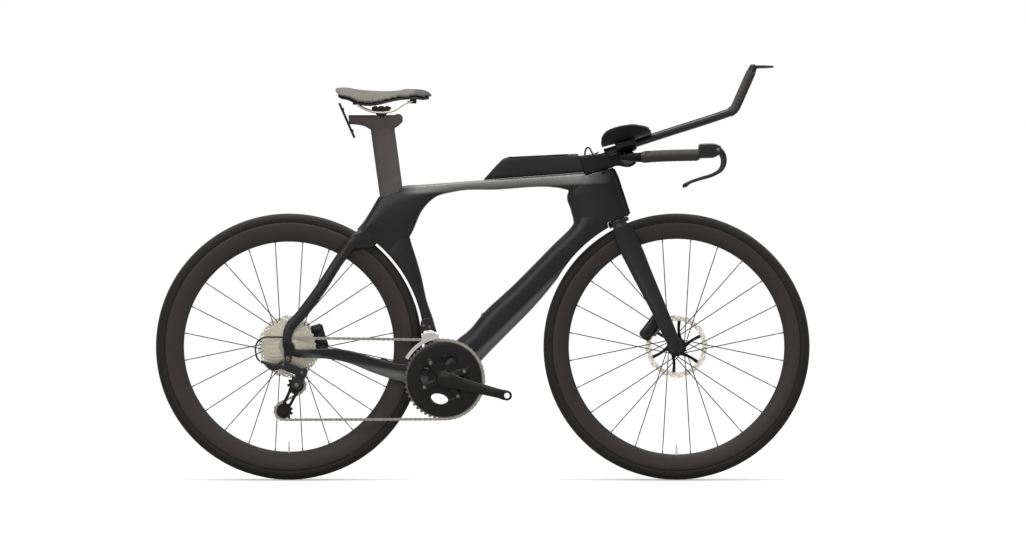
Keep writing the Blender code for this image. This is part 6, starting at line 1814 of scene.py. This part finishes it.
def toothedRing(centre, teeth, inner, yLow, yHigh, tip=2.4, root=3.8, perTooth=8):
    # teeth with round valleys; their tips are thinned on both faces
    count = teeth * perTooth
    pitch = pitchRadius(teeth)
    middle, half = (yLow + yHigh) / 2, (yHigh - yLow) / 2
    rows = []
    for side, rings in ((-1, ("inner", "valley", "tip")), (1, ("tip", "valley", "inner"))):
        for kind in rings:
            row = []
            for i in range(count):
                phase = (i % perTooth) / perTooth
                bump = (0.5 - 0.5 * cos(2 * pi * phase)) ** 0.8
                edge = pitch - root + (tip + root) * bump
                radius = {"inner": inner, "valley": min(pitch - root - 1.2, edge - 1.0), "tip": edge}[kind]
                thin = half * (1 - 0.45 * bump) if kind == "tip" else half
                row.append(polar(centre, radius, 360 * i / count, middle + thin * side))
            rows.append(row)
    return loft(rows, closed=True, roundFirst=True)


def makeCassette():
    size = driveSizes
    cogs = []
    for k, teeth in enumerate(size["cogTeeth"]):
        y = size["firstCogY"] + size["cogSpacing"] * k
        inner = 17.0 if k < 3 else max(17.0, pitchRadius(teeth) - 13.0)
        cogs.append(toothedRing(rearAxle, teeth, inner, y - 0.8, y + 0.8, 1.9, 3.6, 6))
    addPiece("cogs", joined(*cogs), "cog", "cassette", "steel", "cassette", sharp=30)
    first = size["firstCogY"]
    spider = [(10, first - 0.5), (17, first - 0.5), (17, first + 8)]
    for k in range(3, len(size["cogTeeth"]) - 1):
        step = pitchRadius(size["cogTeeth"][k]) - 11.5
        y = first + size["cogSpacing"] * k
        spider += [(step, y + 0.8), (step, y + size["cogSpacing"] - 0.8)]
    spider += [(17, first + 38.6), (17, -25), (10, -25)]
    addPiece("cogCarrier", turned(spider, rearAxle, sideways, 96), "alloy", "cassette", "steel", "cassette",
             sharp=30)
    lock = turned([(6.8, -70.7), (9.6, -70.7), (9.8, -70.2), (9.8, first - 3.2), (15.4, first - 2.9),
                   (16, first - 2.3), (16, first - 0.9), (6.8, first - 0.9)], rearAxle, sideways, 72)
    addPiece("cassetteLock", lock, "silver", "cassette", "steel", "cassette", sharp=30)


def crankPoint(distance, angle, y=0.0):
    return polar(crankAxle, distance, angle, y)


def crankArm(sign, angle):
    # from the axle outwards: distance, middle in Y, half width, half thickness
    face = driveSizes["crankFace"] - driveSizes["crankThickness"] / 2
    across = polar(Vector(), 1, angle + 90)
    rows = [(-15, 56.5, 12, 4), (0, 56.5, 18.5, 6.4), (45, 58, 16.2, 6.4), (100, face - 5, 13.8, 6.1),
            (147, face, 12.3, 6.1), (165, face, 12.8, 6.1), (174, face, 8.6, 5.2)]
    rings = []
    for row in easedRows([(d, y, 0, w, t) for d, y, w, t in rows], 8):
        middle = crankPoint(float(row[0]), angle, float(row[1]) * sign)
        rings.append(ovalRing(middle, across * row[3], sideways * row[4], 48, 2.8))
    return loft(rings)


def eyeDisc(sign, angle, radius, low, high, edge=0.8):
    ends = (low * sign, high * sign)
    return disc(radius, min(ends), max(ends), crankPoint(driveSizes["crankLength"], angle), edge=edge)


def crankEye(sign, angle):
    return eyeDisc(sign, angle, driveSizes["eyeRadius"], driveSizes["eyeInner"], driveSizes["eyeOuter"])


def crankHole(sign, angle):
    return eyeDisc(sign, angle, driveSizes["threadRadius"], 50, 80, 0)


def ringWindows(halfOut, halfRound, quarters=(0, 1, 2, 3)):
    # ovals between the arms of the spider
    windows = []
    for k in quarters:
        angle = driveSizes["crankAngle"] + 90 * k
        out = polar(Vector(), 1, angle)
        oval = ovalRing(polar(crankAxle, 50, angle), out * halfOut, out.cross(sideways) * halfRound, 48)
        windows.append(loft([[p + sideways * y for p in oval] for y in (-60, -30)]))
    return windows


def makeCranks():
    size = driveSizes
    angle = size["crankAngle"]
    arms = [crankArm(-1, angle), disc(20, -60, -40.8, crankAxle, edge=1),
            disc(62.5, -45.6, -42.4, crankAxle, edge=1), crankEye(-1, angle)]
    bolts = []
    for base in (angle, angle + 180):
        for spread in (-size["spread"], size["spread"]):
            turnTo = base + spread
            bolt = size["boltRadius"]
            inner = strut(crankPoint(4, turnTo, -43.5), crankPoint(bolt, turnTo, -43.5), 8.8, 2.1)
            path = [crankPoint(0, turnTo, -50.5), crankPoint(26, turnTo, -50),
                    crankPoint(bolt + 2, turnTo, -50.2), crankPoint(bolt + 14, turnTo, -49.4)]
            outer = smoothSweep(path, [(12, 3.4), (9, 3.6), (8.6, 3.0), (5.5, 1.4)], 8, 36, 3.6,
                                side=sideways)
            arms += [inner, outer]
            for y, way in ((-53.2, -1), (-39.4, 1)):
                bolts.append(boltHead(crankPoint(bolt, turnTo, y), sideways * way, 4.4, 1.2))
    right = moulded("rightCrank", arms, [], finishes["crank"], voxel=1.25, passes=6)
    carved(right, crankHole(-1, angle), *ringWindows(12, 22, (1, 2, 3)), sharp=42)
    place(right, "crank", "black_alloy", "crank_right")
    end = turned([(0, -62.9), (8.4, -62.9), (9, -62.3), (9, -58), (0, -58)], crankAxle, sideways, 48)
    spindle = joined(disc(12, -50, 60, crankAxle), end)
    addPiece("spindle", spindle, "alloy", "crank", "black_alloy", "crank_right")
    addPiece("ringBolts", joined(*bolts), "bolt", "crank", "black_alloy", "crank_right")
    shells = [crankArm(1, angle + 180), disc(19, 40.8, 62, crankAxle, edge=1), crankEye(1, angle + 180)]
    left = moulded("leftCrank", shells, [], finishes["crank"], voxel=1.25, passes=6)
    carved(left, disc(12.3, 30, 61, crankAxle), crankHole(1, angle + 180), sharp=42)
    place(left, "crank", "black_alloy", "crank_left")
    cap = turned([(0, 61), (9.6, 61), (9.6, 63.4), (8.8, 64), (4.2, 64), (3.6, 62.6), (0, 62.6)], crankAxle,
                 sideways, 48)
    addPiece("crankCap", cap, "bolt", "crank", "black_alloy", "crank_left")
    for name, side, turn in (("rightThread", -1, angle), ("leftThread", 1, angle + 180)):
        centre = crankPoint(size["crankLength"], turn)
        ring = turned([(7.05, 63.2), (7.9, 63.2), (7.9, 74.4), (7.6, 74.7), (7.05, 74.7)], centre,
                      sideways * side, 48)
        addPiece(name, ring, "silver", "crank", "black_alloy", "crank_right" if side < 0 else "crank_left")


def makeRings():
    size = driveSizes
    y = size["bigRingY"]
    big = toothedRing(crankAxle, size["bigTeeth"], 76.0, y - 1, y + 1, 2.3, 3.8)
    addPiece("bigRingTeeth", big, "ringEdge", "crank", "black_alloy", "big_ring", sharp=30)
    profile = [(50.3, y - 1), (52, y - 1.9), (60, y - 2.2), (84, y - 2.6), (92, y - 2.0), (95.4, y - 1.1),
               (95.4, y + 0.9), (60, y + 0.9), (50.3, y + 0.9)]
    cover = turned(profile, crankAxle, sideways, 160)
    plate = newPiece("bigRingPlate", cover, finishes["crank"])
    carved(plate, *ringWindows(13.5, 24), sharp=35)
    place(plate, "crank", "black_alloy", "big_ring")
    low = y + size["ringSpacing"]
    teeth = toothedRing(crankAxle, size["smallTeeth"], 50.3, low - 1, low + 1, 1.9, 3.8)
    small = newPiece("smallRingTeeth", teeth, finishes["crank"], 30)
    carved(small, *ringWindows(13.5, 24), sharp=30)
    place(small, "crank", "black_alloy", "small_ring")


def chainPath(step=4.0):
    # the loop over cog, ring, tension pulley and guide pulley, in short steps along arcs and runs
    size = driveSizes
    cogY = size["firstCogY"]
    stops = [(rearAxle, pitchRadius(size["cogTeeth"][0]), 1, cogY),
             (crankAxle, pitchRadius(size["bigTeeth"]), 1, size["bigRingY"]),
             (tension, pitchRadius(size["pulleyTeeth"]), 1, cogY),
             (guide, pitchRadius(size["pulleyTeeth"]), -1, cogY)]
    headings = []
    for i, (centre, radius, turn, _) in enumerate(stops):
        after = stops[(i + 1) % len(stops)]
        across = after[0] - centre
        lean = asin((turn * radius - after[2] * after[1]) / hypot(across.x, across.z))
        headings.append(atan2(across.z, across.x) - lean)
    path, corners = [], []
    for i, (centre, radius, turn, y) in enumerate(stops):
        corners.append(len(path))
        arrive, leave = headings[i - 1], headings[i]
        sweep = (arrive - leave) * turn % (2 * pi)
        count = max(4, int(sweep * radius / step))
        for k in range(count + 1):
            heading = arrive - turn * sweep * k / count
            normal = Vector((-sin(heading), 0, cos(heading)))
            path.append(centre + normal * radius * turn + sideways * y)
        after = stops[(i + 1) % len(stops)]
        start = path[-1]
        corners.append(len(path) - 1)
        normal = Vector((-sin(leave), 0, cos(leave)))
        end = after[0] + normal * after[1] * after[2] + sideways * after[3]
        count = int((end - start).length / step)
        for k in range(1, count):
            share = k / count
            point = start + (end - start) * share
            point.y = y + (after[3] - y) * softstep(share, 0.16, 0.84)
            path.append(point)
    return path, corners


def linkShape(halfLength, radius, waist, faces):
    # side plates of one link, about its own middle: X runs along the chain and Z across the plates
    outline = []
    for sign, base in ((1, -90), (-1, 90)):
        for k in range(7):
            angle = radians(base + 30 * k)
            outline.append((halfLength * sign + radius * cos(angle), radius * sin(angle)))
        outline.append((0, waist * sign))
    return joined(*[loft([[Vector((x, z, y)) for x, z in outline] for y in face]) for face in faces])


def makeChain():
    path, corners = chainPath()
    lengths = [0.0]
    loop = path + [path[0]]
    for before, after in zip(loop, loop[1:]):
        lengths.append(lengths[-1] + (after - before).length)
    total = lengths[-1]
    links = 2 * round(total / driveSizes["pitch"] / 2)
    marks = np.linspace(0, total, links + 1)
    xyz = [np.interp(marks, lengths, [p[k] for p in loop]) for k in range(3)]
    pins = [Vector(row) for row in zip(*xyz)][:-1]
    # three stretches: on the frame, the lower run, and from the tension pulley back to the cog
    lowerRun, cageRun = lengths[corners[3]], lengths[corners[4]]
    places = {(kind, part): [] for kind in ("Outer", "Inner", "Pin") for part in ("", "Lower", "Cage")}
    for i, pin in enumerate(pins):
        part = "" if marks[i] < lowerRun else "Lower" if marks[i] < cageRun else "Cage"
        after = pins[(i + 1) % len(pins)]
        run = after - pin
        across = (sideways - run * (sideways.dot(run) / run.length_squared)).normalized()
        row = ((pin + after) / 2, across, run.normalized(), unstretched)
        places["Outer" if i % 2 else "Inner", part].append(row)
        places["Pin", part].append((pin, across, run.normalized(), unstretched))
    half = driveSizes["pitch"] / 2
    outer = linkShape(half, 3.9, 2.9, ((-2.65, -1.95), (1.95, 2.65)))
    inner = linkShape(half, 3.7, 2.7, ((-1.9, -1.3), (1.3, 1.9)))
    roller = joined(atOrigin([(0, -1.28), (3.6, -1.28), (3.6, 1.28), (0, 1.28)], 10),
                    atOrigin([(0, -2.64), (1.6, -2.64), (1.6, 2.64), (0, 2.64)], 8))
    shapes = {"Outer": ("chainOuterLinks", outer, "chain"), "Inner": ("chainInnerLinks", inner, "chain"),
              "Pin": ("chainRollers", roller, "chainDark")}
    for (kind, part), rows in places.items():
        name, shape, finish = shapes[kind]
        piece = copiesAt(name + part, shape.copy(), rows, finishes[finish], 45)
        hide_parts("chain")
        if part:
            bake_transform(piece)
        else:
            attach(piece, "frame")
    for _, shape, _ in shapes.values():
        shape.free()


def smoothOutline(points, rounding=0.22, steps=5):
    # corners of an outline eased into short curves
    outline = []
    count = len(points)
    for i, corner in enumerate(points):
        before = corner + (points[i - 1] - corner) * rounding
        after = corner + (points[(i + 1) % count] - corner) * rounding
        for k in range(steps + 1):
            t = k / steps
            outline.append(before * (1 - t) ** 2 + corner * 2 * t * (1 - t) + after * t * t)
    return outline


def makeFrontDerailleur():
    # a slim cage over the big ring, its two plates bridged at both ends, under a black body
    low, high, ringY = 105.0, 114.5, driveSizes["bigRingY"]
    first, last = 97.0, 151.0
    outerY, innerY = ringY - 7, ringY + 6

    def band(inset, rise=0.0):
        return (arc(crankAxle, low + inset, first + inset, last - inset, 24)
                + arc(crankAxle, high - inset, last - inset, 122, 12)
                + [atCrank(-53 + inset, 119 + rise - inset), atCrank(-34, 122 + rise - inset),
                   atCrank(-15 - inset, 117 - inset)])

    parts = [easedPlate(band, outerY, outerY + 1.8, 0.4),
             easedPlate(lambda inset: band(inset, 4.0), innerY - 1.8, innerY, 0.4)]
    for start, end, base in ((first + 6, first + 16, high - 3.5), (last - 4, last - 0.8, low + 4)):
        outline = arc(crankAxle, base, start, end, 6) + arc(crankAxle, high - 0.7, end, start, 6)
        parts.append(flatPlate(outline, outerY + 0.9, innerY - 0.9))
    addPiece("frontCage", joined(*parts), "silver", "frame", "steel", "front_derailleur_cage", sharp=30)
    outline = [atCrank(-62, 117), atCrank(-28, 116), atCrank(-28, 148), atCrank(-43, 158), atCrank(-60, 151)]
    middle = atCrank(-44, 136)

    def drawnIn(inset):
        return smoothOutline([point + (middle - point).normalized() * inset for point in outline])

    body = newPiece("frontShifter", easedPlate(drawnIn, innerY + 0.3, -8, 1.2), finishes["gloss"])
    carved(body, smoothBeam(grownStations(seatTubeStations, 0.4), 8, 64, 2.8),
           rearTyreRoom(), sharp=35)
    place(body, "frame", "black_alloy", "front_derailleur_body")
    bolts = [boltHead(atCrank(x, z, innerY + 0.4), -sideways, 3.2, 0.2) for x, z in ((-53, 138), (-38, 134))]
    addPiece("frontShifterBolts", joined(*bolts), "bolt", "frame", "black_alloy", "front_derailleur_body")


def waistedPlate(reach, inset):
    # two circles joined by a narrower waist
    ends = capsule(guide, reach - inset, tension, 11 - inset, 16)
    middle = (guide + tension) / 2
    run = (tension - guide).normalized()
    side = Vector((-run.z, 0, run.x))
    made = []
    for point in ends:
        off = (point - middle).dot(side)
        along = abs((point - middle).dot(run))
        made.append(point - side * copysign(2.6 * max(0.0, 1 - (along / 24) ** 2), off))
    return made


def makeRearDerailleur():
    size = driveSizes
    hangerFace = size["hangerFace"]
    mount = atRear(-2, -32)
    hanger = joined(capsulePlate(rearAxle, 13, mount, 9, hangerFace, hangerFace + 5, 0.6),
                    disc(7.2, hangerFace - 0.2, hangerFace + 1, rearAxle, edge=0.3))
    addPiece("hanger", hanger, "alloy", "frame", "black_alloy", "derailleur_hanger")
    low = hangerFace - 15.3
    outerFace = size["firstCogY"] - 4.6 - 1.8
    parallelogram = capsulePlate(atRear(-14, -46), 11.8, atRear(34, -66), 11.8, low, hangerFace - 2.2, 2.2)
    knuckle = capsulePlate(atRear(36, -64), 12.8, guide, 12.3, low + 2, outerFace - 0.4, 2.0)
    upper = disc(8.8, low, hangerFace - 0.4, mount, edge=1.4)
    arm = smoothSweep([atRear(-20, -49, low + 7), atRear(-38, -51, low + 7), atRear(-49, -48, low + 7),
                       atRear(-60, -41, low + 7), atRear(-71.6, -38, low + 7)],
                      [(8, 4.4), (10, 4.6), (8.6, 4.4), (4.2, 3.8), (3.8, 3.8)], 8, 28, 3.0, side=sideways)
    body = moulded("rearShifter", [parallelogram, knuckle, upper, arm], [], finishes["gloss"], voxel=1.1,
                   passes=5)
    place(body, "frame", "black_alloy", "rear_derailleur_body")
    bolts = [boltHead(atRear(x, z, low + y), -sideways, r, h) for x, z, y, r, h in
             ((-2, -32, 0.6, 5, 1.0), (-14, -46, 0.2, 3.4, 1.0), (34, -66, 0.2, 3.4, 1.0))]
    bolts.append(boltHead(guide + sideways * (low + 2.2), -sideways, 5.0, 1.0))
    addPiece("rearShifterBolts", joined(*bolts), "bolt", "frame", "black_alloy", "rear_derailleur_body")
    window = capsule(guide + (tension - guide) * 0.36, 4.6, guide + (tension - guide) * 0.66, 4.0)
    plates = [easedPlate(lambda inset: waistedPlate(reach, inset), face, face + 1.8, 0.5)
              for face, reach in ((outerFace, 13), (size["firstCogY"] + 4.6, 12))]
    cage = newPiece("cagePlates", joined(*plates), finishes["crank"], 30)
    carved(cage, flatPlate(window, -100, 0), sharp=35)
    place(cage, "rear_derailleur_cage", "black_alloy", "rear_derailleur_cage")
    pins = [disc(3, outerFace + 0.4, size["firstCogY"] + 5.4, centre, segments=24)
            for centre in (guide, tension)]
    pins.append(boltHead(tension + sideways * (outerFace + 0.6), -sideways, 4.2, 0.5))
    addPiece("pulleyBolts", joined(*pins), "bolt", "rear_derailleur_cage", "black_alloy",
             "rear_derailleur_cage")
    for name, centre in (("guide_pulley", guide), ("tension_pulley", tension)):
        y = size["firstCogY"]
        teeth = toothedRing(centre, size["pulleyTeeth"], 11.0, y - 1, y + 1, 2.2, 3.8, 10)
        web = turned([(7.4, y - 1.6), (11.6, y - 0.8), (11.6, y + 0.8), (7.4, y + 1.6)], centre, sideways, 64)
        addPiece(name.replace("_p", "P"), joined(teeth, web), "plastic", name, "black_plastic", name,
                 sharp=30)
        hub = turned([(3.6, y - 4.2), (7.2, y - 4.2), (7.8, y - 3.6), (7.8, y + 3.6), (7.2, y + 4.2),
                      (3.6, y + 4.2)], centre, sideways, 48)
        addPiece(name.replace("_p", "P") + "Hub", hub, "bolt", name, "black_plastic", name, sharp=30)


makeHeadParts()
makeAxles()
makeCaliper("front", frontAxle, 143, 37.0, [smoothBeam(grownStations(forkLegStations, 0.4), count=48)],
            "fork")
makeCaliper("rear", rearAxle, 17, 55.0, [smoothBeam(grownStations(chainStayStations, 0.4), count=40)],
            "frame")
makeBox()
makeBosses()
print("fittings done")
makeCassette()
makeCranks()
makeRings()
makeChain()
makeFrontDerailleur()
makeRearDerailleur()
print("drivetrain done")


# Light and floor

# the floor's glow is lowest under the wheels: a painted shadow
stageSizes = {"worldLight": 0.45, "floorColour": 0.3, "glowInPaintedShadow": 0.08, "farGlow": 0.9, "floorReach": 60.0,
              "floorGap": 0.0006, "shadowAt": 0.495, "shadowSqueeze": 2.2, "topLamp": 190.0,
              "frontLamp": 60.0}


def whiteSeen(tree):
    # one where the camera, a gloss or a glass looks straight at the surface, and nought for light
    path = addNode(tree, "ShaderNodeLightPath")
    seen = calculate(tree, "MAXIMUM", path.outputs["Is Camera Ray"], path.outputs["Is Glossy Ray"])
    return calculate(tree, "MAXIMUM", seen, path.outputs["Is Transmission Ray"])


def makeWorld():
    world = bpy.data.worlds.new("studio")
    world.use_nodes = True
    tree = world.node_tree
    ground = tree.nodes["Background"]
    ground.inputs["Color"].default_value = (1.0, 1.0, 1.0, 1.0)
    strength = ranged(tree, whiteSeen(tree), 0.0, 1.0, stageSizes["worldLight"], 1.0)
    tree.links.new(strength, ground.inputs["Strength"])
    scene.world = world


def makeFloor():
    # white paper that glows for the camera; under the wheels its glow is turned down, a painted shadow, so
    # they stand in soft grey pools
    size = stageSizes
    material = bpy.data.materials.new("floor_paper")
    material.use_nodes = True
    tree = material.node_tree
    shader = tree.nodes["Principled BSDF"]
    shader.inputs["Base Color"].default_value = (size["floorColour"],) * 3 + (1.0,)
    shader.inputs["Roughness"].default_value = 0.95
    shader.inputs["Specular IOR Level"].default_value = 0.0
    shader.inputs["Emission Color"].default_value = (1.0, 1.0, 1.0, 1.0)
    where = addNode(tree, "ShaderNodeSeparateXYZ", inputs={"Vector": coordinates(tree)})
    along = calculate(tree, "SUBTRACT", calculate(tree, "ABSOLUTE", where.outputs["X"]), size["shadowAt"])
    along = calculate(tree, "MULTIPLY", along, size["shadowSqueeze"])
    away = calculate(tree, "SQRT", calculate(tree, "ADD", calculate(tree, "MULTIPLY", along, along),
                                             calculate(tree, "POWER", where.outputs["Y"], 2.0)))
    # painted shadow: the glow is lowest round each wheel's contact and rises to the far white away from it
    glowWithPaintedShadow = ranged(tree, away, 0.1, 1.0, size["glowInPaintedShadow"], size["farGlow"])
    glow = calculate(tree, "MULTIPLY", whiteSeen(tree), glowWithPaintedShadow)
    tree.links.new(glow, shader.inputs["Emission Strength"])
    reach = size["floorReach"]
    mesh = bpy.data.meshes.new("floor")
    corners = [(reach * a, reach * b, -size["floorGap"]) for a, b in ((-1, -1), (1, -1), (1, 1), (-1, 1))]
    mesh.from_pydata(corners, [], [(0, 1, 2, 3)])
    mesh.materials.append(material)
    newObject("floor", mesh)


def addLamp(name, spot, aim, size, power):
    lamp = bpy.data.lights.new(name, "AREA")
    lamp.shape = "RECTANGLE"
    lamp.size, lamp.size_y = size
    lamp.energy = power
    obj = bpy.data.objects.new(name, lamp)
    obj.location = spot
    obj.rotation_euler = (Vector(aim) - Vector(spot)).to_track_quat("-Z", "Y").to_euler()
    scene.collection.objects.link(obj)


makeWorld()
makeFloor()
addLamp("topLamp", (0.0, -0.6, 3.4), (0.0, 0.0, 0.5), (3.6, 1.1), stageSizes["topLamp"])
addLamp("frontLamp", (-1.2, -4.0, 2.2), (0.1, 0.0, 0.6), (2.4, 1.8), stageSizes["frontLamp"])
print("light and floor set")
